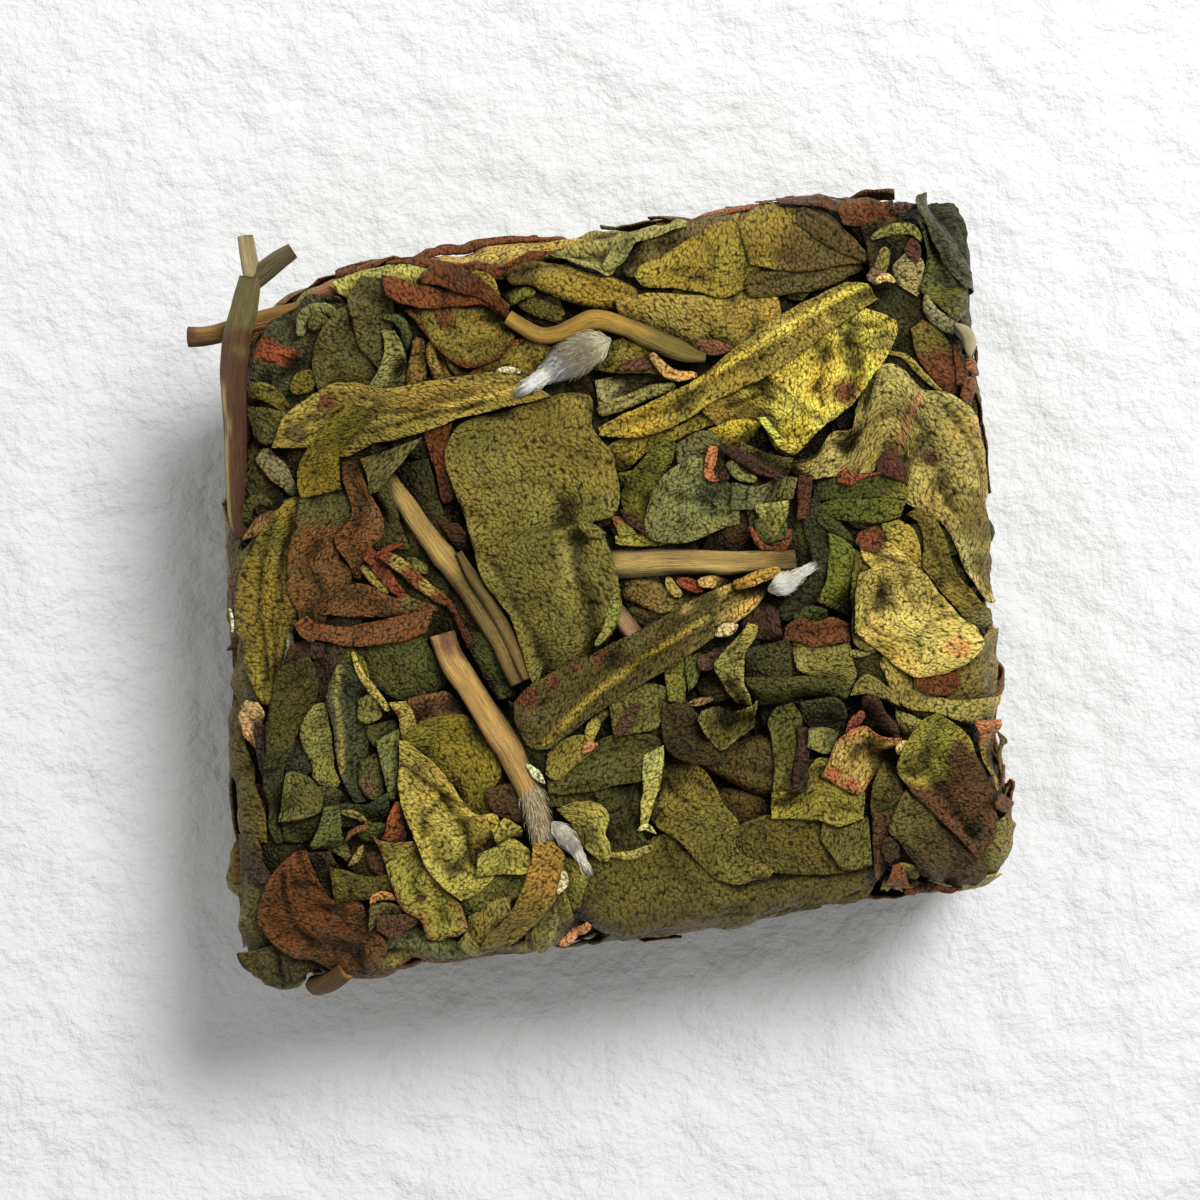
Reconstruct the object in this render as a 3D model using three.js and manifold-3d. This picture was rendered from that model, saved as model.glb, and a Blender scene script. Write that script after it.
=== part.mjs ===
// A square cake of whole oolong tea leaves, pressed in a mould and dried. Millimetres, +Z up.
// The origin is the middle of the flat underside, with the pressed top face upwards.
// The cake is one solid: a plain core, with every leaf, stem and bud that shows fused onto it in the
// order in which they lie on each other.
import * as THREE from "three";
import { mergeVertices } from "three/addons/utils/BufferGeometryUtils.js";
import Module from "manifold-3d";

const wasm = await Module();
wasm.setup();

// The mould: height, the centre of its plan, and each wall's outward direction and distance from it.
const HEIGHT = 17;
const CENTRE = { x: -0.2, y: 0.9 };
const WALLS = [
  { name: "right", toward: 0, away: 24.7 },
  { name: "back", toward: 93.5, away: 22.6 },
  { name: "clipped_corner", toward: 135, away: 28.6 },
  { name: "left", toward: 177, away: 24.3 },
  { name: "front", toward: 273, away: 22.4 },
];
const CORNER_SHARPNESS = 14;
const TOP_ROUND = 4;
const FOOT_ROUND = 2;

// The layer of leaves that shows, from the core out to the mould, one leaf's thickness, how deep every
// piece is rooted in the core, and how fast the first leaves fill the layer.
const LAYER = 2.4;
const LEAF = 0.5;
const ROOT = 0.7;
const PILE_GAIN = 1.5;
const CORE_FOOT_ROUND = 1.2;

// How finely the leaves are cut into triangles, and how closely they follow what lies under them.
const CELL = 3.1;
const WIDE_CELL = 2.2;
const PILE_CELL = 0.75;
const PILE_HALF = 60;
const GIVE = 0.35;

// The leaves of the walls, laid in rows by a seeded rule.
const WALL_ROWS = [3, 9.4];
const WALL_STEP = 16;
const WALL_CELL = 4.6;
const WALL_SEED = 4127;

// Leaves, rolls, stems and buds as they lie on the top, the lowest first: name, form, the points of the
// middle line as seen from above, the half width at each point, and how far it stands off its bed.
const EDGE_PIECES = [
  ["left_edge_fold", "leaf", [[-23.6, 15], [-24.4, 8], [-24.6, 1]], [0.9, 1.4, 1.2], 0],
  ["left_edge_bulge", "leaf", [[-23.2, 4.2], [-24.2, 0], [-23.8, -5]], [0.5, 1.4, 0.9], 0.2],
  ["left_edge_lobe", "leaf", [[-23.8, -5.8], [-24.8, -9.5], [-24, -13]], [0.9, 1.5, 1.2], 0.5],
  ["left_low_leaf", "leaf", [[-24.2, -13], [-24.8, -17], [-24.6, -21.4]], [1, 1.6, 1.3], 0.5],
  ["front_left_lobe", "roll", [[-24.6, -19.6], [-23.7, -22], [-21.8, -23.4]], [0.9, 1.3, 0.8], 0.9],
  ["front_left_sheet", "leaf", [[-19, -21.6], [-13, -21.8], [-6.5, -21.9]], [1, 1.5, 1.3], 0.2],
  ["front_left_strip", "leaf", [[-17, -20.6], [-12, -20.8], [-8, -20.9]], [0.6, 0.8, 0.6], 0.1],
  ["front_sheet", "leaf", [[-4.5, -20.6], [2, -20.3], [9, -19.9], [15.5, -19.3]], [2.2, 3.8, 4, 2.8], 0],
  ["front_upper_fold", "leaf", [[6, -17], [10.5, -16.2], [15.2, -16]], [0.8, 1.7, 1.6], 0],
  ["low_yellow_leaf", "leaf", [[9, -13.8], [12, -13.4], [14.9, -13.6]], [0.8, 1.6, 1.2], -0.5],
  ["right_front_edge", "leaf", [[16.4, -21.1], [20, -21.6], [24, -20.8]], [0.9, 1.4, 1.3], 0.2],
  ["right_low_edge", "leaf", [[23.8, -14.4], [24.6, -17.5], [24.2, -20.6]], [0.9, 1.5, 1.2], 0.3],
  ["right_low_bright", "leaf", [[21, -20.3], [22.6, -20.3], [23.8, -19.4]], [0.5, 0.9, 0.7], 0],
  ["right_edge_fold_low", "leaf", [[23.7, -3], [24.5, -6], [24.2, -9.4]], [0.9, 1.3, 0.9], 0],
  ["right_edge_fold_high", "leaf", [[24, 5.4], [24.8, 2], [24.4, -2.4]], [1.2, 1.5, 1.1], 0],
  ["back_edge_leaf", "leaf", [[-16, 22.5], [-12, 23], [-8, 23.1], [-3, 23.3], [3, 23.7], [10, 23.8]],
    [0.6, 1.3, 1.9, 1.8, 1.5, 0.8], 0],
];

const BACK_PIECES = [
  ["corner_stub", "stem", [[-18.4, 20.9], [-16, 21.3]], [0.75, 0.75], -0.8],
  ["pale_flap", "leaf", [[-16.2, 20.8], [-13.5, 21.4], [-10.5, 21.8]], [0.7, 0.9, 0.6], 0],
  ["sage_wrinkled_leaf", "leaf", [[-2, 22.2], [1, 21.6], [4.5, 21.3]], [0.4, 1.3, 1.4], 0],
  ["back_deep_strip", "leaf", [[-9.6, 18.6], [-5, 18.9], [-1, 18.4]], [0.5, 0.9, 0.5], -0.6],
  ["olive_roll", "roll", [[-4.5, 20.9], [-2, 20.3], [0.5, 19.2], [2.8, 18.4]], [0.8, 1, 1, 0.8], -0.4],
  ["tan_olive_leaf", "leaf", [[1.2, 17.8], [5, 17.2], [8.5, 16.6], [11.8, 16.7]], [0.4, 1.3, 1.7, 0.6], 0],
  ["back_lens_leaf", "roll", [[2.5, 20.2], [5.5, 20], [8.5, 20.3], [11.2, 20.5]], [0.7, 1.2, 1.8, 1.1], -0.7],
  ["grey_brown_fold", "roll", [[10.5, 21.3], [13, 21.8], [15.5, 21.2], [17.4, 20.2]],
    [1.6, 1.7, 1.2, 0.4], -0.7],
  ["grey_brown_roll", "roll", [[10.6, 19.2], [14, 19.4], [17.5, 20]], [0.8, 0.85, 0.5], -0.3],
  ["back_flap_high", "leaf", [[12.4, 23.9], [14.8, 24.4], [17.1, 23.8]], [0.4, 0.8, 0.4], 0.5],
  ["back_flap_low", "leaf", [[12.5, 22.8], [14.8, 23], [16.9, 22.6]], [0.4, 0.6, 0.4], 0.5],
  ["back_bits", "leaf", [[16.3, 22.4], [17.8, 22.6], [19.2, 22]], [0.5, 0.8, 0.5], 0.2],
  ["brown_twist_a", "leaf", [[-11.2, 18], [-10.6, 16], [-10.4, 14.3]], [0.4, 0.7, 0.6], -0.3],
  ["grey_curl", "leaf", [[-20.8, 11.3], [-20.3, 15], [-19.3, 18], [-17, 19.6]], [1, 1.9, 1.8, 1.1], 0],
  ["olive_folds", "leaf", [[-21.6, 14.5], [-20.8, 12.5], [-19.2, 11.3]], [0.6, 1, 0.7], 0],
  ["dark_fold", "roll", [[-13.9, 20.8], [-14.6, 18.5], [-15, 16], [-15.9, 14]], [0.8, 2, 2.3, 1.3], -1],
  ["light_fold", "leaf", [[-12.1, 16.5], [-12.6, 15], [-13.6, 14.1]], [0.6, 1, 0.6], 0],
  ["behind_bud_leaf", "leaf", [[-8, 14.4], [-5.6, 15.2], [-3, 15.6]], [0.4, 0.9, 0.6], 0],
  ["red_edged_leaf", "leaf", [[-11, 18.3], [-9, 17.6], [-6.9, 16.9], [-5, 16.3]], [0.5, 1.7, 1.9, 0.7], 0],
  ["red_fold_long", "leaf", [[-12.8, 20.2], [-9.5, 19.5], [-6.2, 18.7]], [0.5, 0.65, 0.4], 0.3],
  ["red_fold_short", "leaf", [[-9.3, 21.2], [-7.2, 20.3], [-5.4, 18.9], [-4.6, 17.4]],
    [0.4, 0.6, 0.6, 0.4], 0.4],
];

const CORNER_PIECES = [
  ["notch_leaf", "leaf", [[20.4, 15.4], [21.8, 13.4], [23.2, 11.2]], [0.8, 1.3, 0.8], -0.2],
  ["notch_bud", "bud", [[19.9, 19.8], [20.2, 18.6], [20, 17.4]], [0.3, 0.6, 0.4], -0.4],
  ["notch_block", "leaf", [[23.7, 12], [23.9, 10.7], [23.6, 9.6]], [0.5, 0.7, 0.5], 0.3],
  ["corner_lump_low", "roll", [[22.2, 19.5], [23.3, 17], [24.1, 14.4]], [1.4, 1.8, 0.8], 0.4],
  ["corner_lump_high", "roll", [[21.2, 21.6], [22.9, 22.6], [24.7, 21.2], [24.5, 18.6]],
    [1.3, 1.8, 1.7, 1.3], 0.9],
];

const RIGHT_PIECES = [
  ["khaki_leaf", "leaf", [[13, 7.2], [15, 7.9], [17, 9], [18.7, 8.8], [21, 8.1], [23, 7.4], [25.4, 6]],
    [0.8, 1.3, 3, 4.4, 3.4, 2.8, 2.2], 0],
  ["right_fold_inner", "roll", [[19.3, 3.8], [20.6, 2], [21.6, -0.5], [22.6, -2.8]], [0.7, 0.8, 0.8, 0.6], -0.3],
  ["right_fold_middle", "roll", [[21.3, 4.8], [22.2, 2.4], [23.1, -0.2], [23.7, -3]], [0.9, 1, 1, 0.7], -0.3],
  ["right_yellow_leaf", "leaf", [[17.4, 3.2], [18.3, 2], [19.2, 0.4]], [0.7, 0.9, 0.7], -0.2],
  ["green_fold", "roll", [[13.1, 5], [15.5, 5.3], [18.7, 5.6]], [0.9, 1.2, 0.8], -0.6],
  ["purple_triangle", "leaf", [[17, 6.3], [18.5, 7.3]], [0.6, 0.5], 0],
  ["dark_curl", "leaf", [[13.1, 4], [12.8, 2], [13, 0]], [0.5, 0.6, 0.4], 0],
  ["green_upright", "leaf", [[14.6, 2.2], [14.5, 0.5], [14, -1], [13.7, -2.1]], [0.7, 0.8, 0.9, 0.9], 0],
  ["red_upright", "leaf", [[12.6, 6.6], [12.2, 4.2], [12.2, 2.2]], [0.4, 0.4, 0.3], 0],
  ["notched_block", "leaf", [[12.8, -2.4], [12.9, -4.3], [13, -6.3]], [1.5, 1.8, 1.2], 0],
  ["rolled_tan_edge", "roll", [[16.5, -5], [17.8, -7], [20, -8.3], [22.4, -9], [23.9, -8.5]],
    [0.7, 0.9, 0.9, 0.9, 0.7], -0.2],
  ["tan_leaf", "leaf", [[16.4, 3], [16.6, 1.2], [17.6, -0.9], [19, -3.2], [20.6, -5.2], [23.2, -7]],
    [0.5, 0.9, 2.2, 2.7, 2.3, 1.4], 0.1],
];

const MIDDLE_PIECES = [
  ["yellow_underleaf", "leaf", [[0.5, 9], [4, 10.2], [7, 11.3]], [0.6, 0.9, 0.6], 0],
  ["silver_bit_high", "leaf", [[0.2, 12.8], [2.5, 13.1], [4.9, 13.4]], [0.6, 0.8, 0.6], 0],
  ["brown_bit", "leaf", [[0.7, 15.5], [2.2, 14.8], [4, 14.2]], [0.6, 0.8, 0.4], 0],
  ["yellow_leaf", "leaf", [[5.5, 10.6], [9, 11.4], [13, 12.9], [16.5, 14.4], [18.9, 15.8]],
    [0.6, 1.6, 2.5, 2.7, 1.1], 0.1],
  ["yellow_lobe", "leaf", [[10.4, 10], [12.4, 9.6], [14.4, 10.4]], [0.5, 1.3, 0.8], 0.3],
  ["yellow_shoot", "roll", [[0.2, 10.7], [4, 11.9], [8, 13.6], [13, 16.2], [17.2, 18.1]],
    [0.5, 1.3, 1.2, 1.3, 0.5], -0.6],
  ["crumpled_leaf", "leaf", [[2.6, 5.2], [5, 5.6], [8.4, 5.4]], [1.4, 2.3, 1.8], 0],
  ["crumpled_strip", "leaf", [[1.6, 4.7], [2.4, 7], [4, 9.2]], [0.9, 1, 0.5], 0.1],
  ["crumpled_lobe", "leaf", [[5.2, 8.6], [6.2, 8.2], [7.5, 8]], [0.6, 1.1, 0.8], 0.2],
  ["teal_fold", "roll", [[8, 6], [10, 6.2], [11.9, 6.3]], [0.8, 0.9, 0.6], -0.2],
  ["green_cone", "leaf", [[10, 5.2], [10.3, 3.8], [10.4, 2.4]], [1, 0.8, 0.4], 0],
  ["grey_brown_curl", "roll", [[0.8, 0.7], [2, 0.5], [3.3, -0.6], [5.2, -0.8]], [0.5, 0.6, 0.6, 0.5], -0.3],
  ["short_stub", "stem", [[0, -1], [1.6, -2.6]], [0.55, 0.55], 0],
  ["straight_stem", "stem", [[-0.8, 2], [5, 1.9], [11.6, 1.5]], [0.88, 0.8, 0.65], 0.1],
  ["hollow_leaf", "leaf", [[-12.4, 9.6], [-11.6, 7.6], [-10.4, 5.6]], [0.6, 0.9, 0.7], -0.8],
  ["hollow_green", "leaf", [[-9.2, -1.8], [-8.6, -3.4], [-8, -4.9]], [0.8, 0.9, 0.8], -0.4],
  ["tan_stem", "stem", [[-13.4, 9], [-11.5, 6.2], [-9.9, 3.2], [-8.8, 0.2], [-7.1, -2.2], [-5.5, -5.1]],
    [0.62, 0.62, 0.7, 0.62, 0.62, 0.6], 0.1],
  ["tan_stem_sheath", "stem", [[-8.3, 2], [-7, -1.4], [-5.6, -5]], [0.45, 0.5, 0.5], 0],
  ["orange_strip", "leaf", [[-10.6, 11.2], [-10.2, 9.5], [-9.9, 7.8], [-9.8, 6.9]], [0.6, 0.5, 0.4, 0.4], 0],
  ["hero_leaf", "leaf",
    [[-4.2, 12.3], [-4.5, 10], [-4.2, 7.5], [-4.2, 4.5], [-3.7, 1.2], [-3, -1], [-3.5, -3], [-4.9, -4.8]],
    [3.3, 5, 5.1, 4.2, 4, 3.4, 2.3, 0.5], 0.3],
];

const LEFT_PIECES = [
  ["ridged_fold", "roll", [[-19.2, 8], [-21, 5], [-21.6, 2], [-21.8, -1], [-21.9, -4.6]],
    [0.4, 1.1, 1.6, 1.5, 0.5], -0.6],
  ["tan_flake", "leaf", [[-23.2, -4.6], [-23.4, -6.3], [-23.2, -8]], [0.5, 0.7, 0.5], 0.6],
  ["dark_shiny_leaf", "leaf", [[-19.4, -2.4], [-20.5, -4.8], [-21.5, -7], [-22.2, -9.5], [-22.5, -13]],
    [1, 1.5, 1.2, 1, 0.7], 0],
  ["green_backing", "leaf", [[-15.5, -2.6], [-13.8, -3.6], [-12, -4.4]], [0.8, 1.5, 0.9], -0.2],
  ["grey_purple_strip", "leaf", [[-18.6, -2], [-18, -3.4], [-17.4, -4.8]], [0.6, 0.6, 0.5], 0],
  ["short_green", "leaf", [[-16.8, -2.6], [-15.8, -4.6], [-15, -5.6]], [0.6, 0.7, 0.5], 0],
  ["upright_green", "leaf", [[-14.7, -7.2], [-14.6, -9], [-14.6, -11.4]], [0.7, 0.8, 0.7], 0],
  ["light_green_upright", "leaf", [[-18.8, -5.4], [-19, -7.5], [-18.4, -10]], [0.5, 0.8, 0.8], 0],
  ["silver_hair_leaf", "roll", [[-17.2, -2.6], [-17.2, -5.5], [-17.4, -8], [-17.2, -11]],
    [0.4, 1, 1, 0.6], -0.3],
  ["green_polygon", "leaf", [[-21.5, -11.2], [-20.3, -10.7], [-19.3, -11]], [0.5, 1.2, 0.6], 0.3],
  ["green_triangle", "leaf", [[-20, -14], [-18.9, -13], [-17.8, -13.2]], [0.4, 1, 0.9], 0],
  ["brown_twists", "leaf", [[-17.8, -12.6], [-17, -14], [-16.1, -15.6]], [0.5, 0.6, 0.4], 0],
  ["yellow_olive_bit", "leaf", [[-15, -4.3], [-14, -5.8], [-13.4, -7.4]], [0.4, 0.5, 0.6], 0.2],
  ["papery_bit", "leaf", [[-13.3, -5.6], [-11.8, -6], [-10, -6.2]], [0.5, 0.7, 0.5], 0],
  ["brick_triangle", "leaf", [[-14.7, -11.8], [-14.6, -13], [-14.6, -14.2]], [0.35, 0.5, 0.5], 0],
  ["brown_leaf", "leaf", [[-17.3, 8.2], [-17.8, 6], [-18.2, 3.8], [-18.3, 1.5], [-19.3, -0.8]],
    [1.1, 1.7, 1.8, 1.4, 0.5], 0],
  ["brown_side_strip", "leaf", [[-15.5, 9.8], [-15.2, 8], [-14.8, 6.2], [-15.6, 4.8], [-15.9, 3]],
    [0.7, 0.8, 0.9, 1, 0.5], 0.2],
  ["dark_corner_fold", "roll", [[-11.2, 10.6], [-13, 10.4], [-14.2, 9.4], [-14.3, 7.9]],
    [0.8, 0.9, 0.8, 0.5], -0.2],
  ["red_sliver_long", "leaf", [[-14.2, 3.4], [-12.5, 2], [-10.5, 0.9], [-9.7, -0.8], [-9.1, -2.1]],
    [0.3, 0.4, 0.45, 0.4, 0.3], 0.3],
  ["red_sliver_high", "leaf", [[-12.7, 4.4], [-14, 3.6], [-15.2, 3.2]], [0.3, 0.3, 0.3], 0.3],
  ["red_lens_high", "leaf", [[-17.9, 0.6], [-16, 1], [-13.5, 0.6], [-11.1, 0.1]], [0.4, 1, 0.9, 0.3], 0.1],
  ["red_lens_low", "leaf", [[-19.3, -1], [-17, -1], [-14.5, -1], [-12, -0.7], [-11.1, -0.4]],
    [0.3, 0.6, 0.7, 0.5, 0.3], 0.2],
  ["brown_disc_leaf", "leaf", [[-20.6, -14.8], [-21.6, -16.8], [-20.7, -19], [-18.6, -20.3], [-16.3, -21]],
    [1, 1.9, 2.4, 2, 0.8], 0.2],
  ["small_olive_leaf", "leaf", [[-18.6, -16.2], [-17, -16.8], [-15.2, -16.4]], [0.5, 0.8, 0.5], 0.1],
  ["brown_triangle", "leaf", [[-16, -19], [-15, -19.3], [-13.6, -18.8]], [0.4, 0.7, 0.3], 0.2],
  ["front_stub", "stem", [[-21.3, -23.2], [-18.4, -21.8]], [0.65, 0.65], -0.4],
];

const FRONT_PIECES = [
  ["rich_green_leaf", "leaf", [[-13.2, -7.6], [-11.2, -7.9], [-9.6, -9.3], [-8.9, -11.9]],
    [0.6, 1.3, 1.9, 0.9], 0],
  ["olive_tan_bits", "leaf", [[-12.3, -18.8], [-10.4, -19.5], [-8.3, -20.4]], [0.6, 1.1, 0.6], 0],
  ["lime_leaf_low", "leaf", [[-15.1, -14], [-14.3, -15.8], [-13.2, -17.8], [-11.8, -19.4]],
    [0.7, 1.1, 1.3, 1.1], 0],
  ["lime_leaf", "leaf", [[-13.6, -8], [-12.7, -10.5], [-11.4, -13], [-10.3, -15.3], [-10.2, -17.8]],
    [0.5, 1.3, 2.3, 2.6, 1.2], 0.1],
  ["lime_crumple", "leaf", [[-9.2, -13], [-8, -14.3], [-6.3, -15.9]], [0.6, 1.4, 0.7], 0.1],
  ["pebbled_leaf", "leaf", [[2.4, -10.7], [3.4, -12.5], [4.4, -14.8], [6, -17.2], [7.8, -18.2]],
    [0.7, 2, 2.5, 1.6, 0.5], 0.1],
  ["sheath_wing", "leaf", [[-4.2, -16.2], [-3.3, -17.5], [-3.2, -18.8]], [0.5, 0.7, 0.5], 0],
  ["sheath_leaf", "leaf", [[-4.8, -18.3], [-5.4, -20], [-6, -21.9]], [0.6, 1, 0.9], 0],
  ["forest_wing", "leaf", [[-4.6, -11.3], [-2.6, -11], [-0.8, -10.5]], [0.4, 1.1, 1.1], 0],
  ["forest_leaf", "leaf", [[2, -9], [0, -9.8], [-0.6, -11.6], [-0.4, -13.4], [-0.6, -15]],
    [0.6, 1.4, 1.7, 1.2, 0.7], 0.1],
  ["pale_small_leaf", "leaf", [[-4.3, -12.9], [-2.8, -13.6], [-1.8, -14.8], [-2, -16]],
    [0.4, 1, 1.1, 0.5], 0.2],
  ["pale_flap_front", "leaf", [[2.2, -9.8], [1.5, -11.5], [1.2, -13], [0.8, -14.3]],
    [0.4, 0.55, 0.5, 0.35], 0.3],
  ["deep_brown_leaf", "leaf", [[3, -7.6], [4.2, -8.6], [5.5, -9.8]], [0.8, 1.5, 0.9], -0.2],
  ["deep_green_leaf", "leaf", [[10.3, -7.3], [12.2, -7.8], [14, -8.2]], [0.8, 1.5, 1], -0.2],
  ["round_olive_leaf", "leaf", [[5.1, -8.4], [6.8, -8.7], [8.4, -8.4]], [0.7, 1.3, 0.8], 0],
  ["green_slip", "leaf", [[4.5, -4.2], [3.8, -5.8], [3.5, -7]], [0.6, 0.7, 0.5], 0],
  ["fuzzy_leaf", "leaf", [[-0.4, -7.6], [1.2, -7], [2.8, -6.4]], [0.6, 1, 0.7], 0],
  ["yellow_olive_fold", "leaf", [[-2.6, -8.9], [-3.6, -9.8], [-4.6, -10.9]], [0.6, 0.7, 0.5], 0.1],
  ["light_olive_twist", "leaf", [[8.6, -2.4], [7.4, -4.4], [6.8, -5.6], [7.7, -7.2]],
    [0.5, 0.8, 0.9, 0.4], 0.2],
  ["plum_bits", "leaf", [[8.2, -3], [10, -1.8]], [0.6, 0.6], 0],
  ["upright_dark_leaf", "leaf", [[10.2, -7.6], [10.3, -10], [10, -12.9]], [0.8, 1, 0.8], 0.3],
  ["pale_green_bit", "leaf", [[11.5, -9.6], [13.4, -10]], [0.6, 0.6], 0.1],
  ["plum_leaf", "leaf", [[14.2, -8.4], [15.6, -8.8], [17, -9.2]], [0.6, 1.2, 0.6], 0],
  ["light_fold_right", "leaf", [[13.5, -6.8], [15.4, -7], [17.2, -7.6]], [0.4, 0.6, 0.4], 0.1],
  ["orange_edged_leaf", "leaf", [[12.9, -11.2], [15, -11], [17.7, -10.6]], [0.9, 1.3, 0.6], 0],
  ["olive_patch", "leaf", [[16.3, -11.8], [16.1, -13.4], [16, -15]], [0.7, 0.8, 0.7], 0],
  ["purple_upright", "leaf", [[15.8, -14.9], [15.6, -16.7], [15.9, -18.4]], [0.5, 0.55, 0.5], 0.1],
  ["brick_fold", "leaf", [[16, -18], [16.6, -19.3], [17.3, -20.7]], [0.5, 0.6, 0.5], 0],
  ["brown_right_leaf", "leaf", [[17.2, -13.8], [18.6, -16.3], [20.8, -19]], [0.8, 1.7, 1.3], 0],
  ["brown_yellow_leaf", "leaf", [[17.8, -9.6], [19.6, -11.6], [20.8, -14], [22, -17]],
    [0.7, 2.3, 2.2, 0.9], 0.1],
  ["tan_edge_strip", "leaf", [[22.2, -9.8], [23.2, -11.5], [23.7, -13.8]], [0.5, 0.6, 0.5], 0],
  ["dark_spikes", "leaf", [[23.4, -13.9], [24.9, -15.4]], [0.5, 0.4], 0.3],
];

const UPPERMOST_PIECES = [
  ["long_roll_flap", "leaf", [[-14.4, 12.7], [-16.2, 11.2], [-17.6, 9.2], [-18, 8.1]], [0.7, 1.1, 1.3, 1.1], 0.2],
  ["long_roll_arm", "roll", [[-15.5, 14.2], [-18, 12.7], [-20, 11.1]], [0.9, 1, 0.6], 0],
  ["long_roll", "roll", [[-18.5, 12.3], [-16, 12.6], [-13, 12.6], [-9.5, 13], [-6, 13.7], [-3.3, 13.6]],
    [1.1, 1.5, 1.3, 1.1, 0.9, 0.5], 0],
  ["s_stem", "stem",
    [[-5, 18.5], [-3.6, 17.1], [-2.7, 16.5], [-1, 17.2], [0.6, 17.4], [2.2, 16.7], [3.7, 15.8], [6.6, 14.3]],
    [0.55, 0.5, 0.6, 0.75, 0.8, 0.7, 0.65, 0.4], 0.2],
  ["large_bud", "bud", [[-4.4, 13.4], [-2.6, 14.6], [-0.9, 15.4], [0.6, 15.9]], [0.3, 0.75, 0.85, 0.6], 0.6],
  ["long_shoot", "roll", [[-5.4, -7.7], [-2, -5.6], [1.5, -3.9], [5, -2], [8, -0.6], [10, 0.6]],
    [1.8, 1.6, 1.5, 1.4, 1, 0.6], 0],
  ["small_bud", "bud", [[9.4, -0.3], [12, 0.35]], [0.6, 0.6], 0.6],
  ["pale_stem", "stem",
    [[-10.6, -1.3], [-9.5, -3.9], [-8.3, -6.2], [-7, -8.4], [-6.3, -10.3], [-5.7, -13], [-5.5, -15]],
    [0.8, 0.8, 0.85, 0.95, 0.75, 0.7, 0.6], 0.3],
  ["pale_stem_sheath", "leaf", [[-5.4, -15.2], [-5.7, -17], [-7, -19], [-9.4, -20.9]],
    [0.8, 1.2, 1.2, 0.5], 0.2],
  ["stem_bud", "bud", [[-5.1, -13.6], [-3, -16.4]], [0.5, 0.45], 0.4],
];

// Twigs that stand clear of the cake at its clipped corner, with a height for each point.
const FREE_TWIGS = [
  ["corner_twig", [[-20.9, 22, 14.6], [-22, 19.6, 14.8], [-22.5, 16.7, 14.9], [-22.6, 11, 14.8], [-22.4, 5, 14]],
    [0.55, 0.75, 0.85, 0.8, 0.75]],
  ["corner_twig_arm_pale", [[-20.8, 21.7, 14.6], [-21.1, 23.1, 14.8], [-21.3, 24.4, 15]], [0.5, 0.5, 0.42]],
  ["corner_twig_arm_grey", [[-21, 21.7, 14.6], [-19.8, 22.6, 14.6], [-18.4, 23.4, 14.6]], [0.5, 0.5, 0.4]],
  ["cross_twig", [[-25.6, 18.6, 13.4], [-23.4, 18.9, 13.4], [-20.6, 19.3, 13.3], [-16, 19.8, 12.8]],
    [0.58, 0.65, 0.75, 0.8]],
];
const TWIG_SIDES = 6;

const wallGradients = WALLS.map(({ toward, away }) => {
  const angle = THREE.MathUtils.degToRad(toward);
  return { x: Math.cos(angle) / away, y: Math.sin(angle) / away };
});

// How far out a plan vector from the centre lies, as a share of the way to the outline.
function shareOfOutline(x, y) {
  let sum = 0;
  for (const wall of wallGradients) {
    sum += Math.max(0, x * wall.x + y * wall.y) ** CORNER_SHARPNESS;
  }
  return sum ** (1 / CORNER_SHARPNESS);
}

// The outline's outward direction where a plan vector from the centre meets it.
function outlineNormal(x, y) {
  const normal = new THREE.Vector2();
  for (const wall of wallGradients) {
    const weight = Math.max(0, x * wall.x + y * wall.y) ** (CORNER_SHARPNESS - 1);
    normal.x += weight * wall.x;
    normal.y += weight * wall.y;
  }
  return normal.normalize();
}

// The mould's section, by the way gone beyond the outline as seen from above: the top is flat, its edge
// turns down on an arc, and then comes the wall, which draws in at the foot.
const TRUE_TURN = THREE.MathUtils.degToRad(50);
const TRUE_INSET = TOP_ROUND * (1 - Math.sin(TRUE_TURN));
const WALL_START = -TRUE_INSET + TOP_ROUND * (Math.PI / 2 - TRUE_TURN);

function section(beyond) {
  if (beyond <= -TOP_ROUND) return { inset: -beyond, z: HEIGHT, turn: 0 };
  if (beyond <= WALL_START) {
    const turn = beyond <= -TRUE_INSET
      ? Math.asin((beyond + TOP_ROUND) / TOP_ROUND)
      : TRUE_TURN + (beyond + TRUE_INSET) / TOP_ROUND;
    return { inset: TOP_ROUND * (1 - Math.sin(turn)), z: HEIGHT - TOP_ROUND * (1 - Math.cos(turn)), turn };
  }
  const z = HEIGHT - TOP_ROUND - (beyond - WALL_START);
  const drop = THREE.MathUtils.clamp(FOOT_ROUND - z, 0, FOOT_ROUND);
  return { inset: FOOT_ROUND - Math.sqrt(FOOT_ROUND ** 2 - drop ** 2), z, turn: Math.PI / 2 };
}

// The place of a plan point that is wrapped round the mould, at a height above the core's surface.
function wrapped(plan, height) {
  const x = plan.x - CENTRE.x;
  const y = plan.y - CENTRE.y;
  const length = Math.hypot(x, y) || 1e-6;
  const reach = length / shareOfOutline(x, y);
  const { inset, z, turn } = section(length - reach);
  const normal = outlineNormal(x, y);
  const off = height - LAYER;
  const radius = (reach - inset) / length;
  return new THREE.Vector3(
    CENTRE.x + x * radius + normal.x * Math.sin(turn) * off,
    CENTRE.y + y * radius + normal.y * Math.sin(turn) * off,
    z + Math.cos(turn) * off,
  );
}

// The plan point of a place on a wall: along the wall from its middle, and up from the underside.
function onWall(wall, along, up) {
  const angle = THREE.MathUtils.degToRad(wall.toward) + Math.atan2(along, wall.away);
  const x = Math.cos(angle);
  const y = Math.sin(angle);
  const distance = 1 / shareOfOutline(x, y) + WALL_START + HEIGHT - TOP_ROUND - up;
  return { x: CENTRE.x + x * distance, y: CENTRE.y + y * distance };
}

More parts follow.
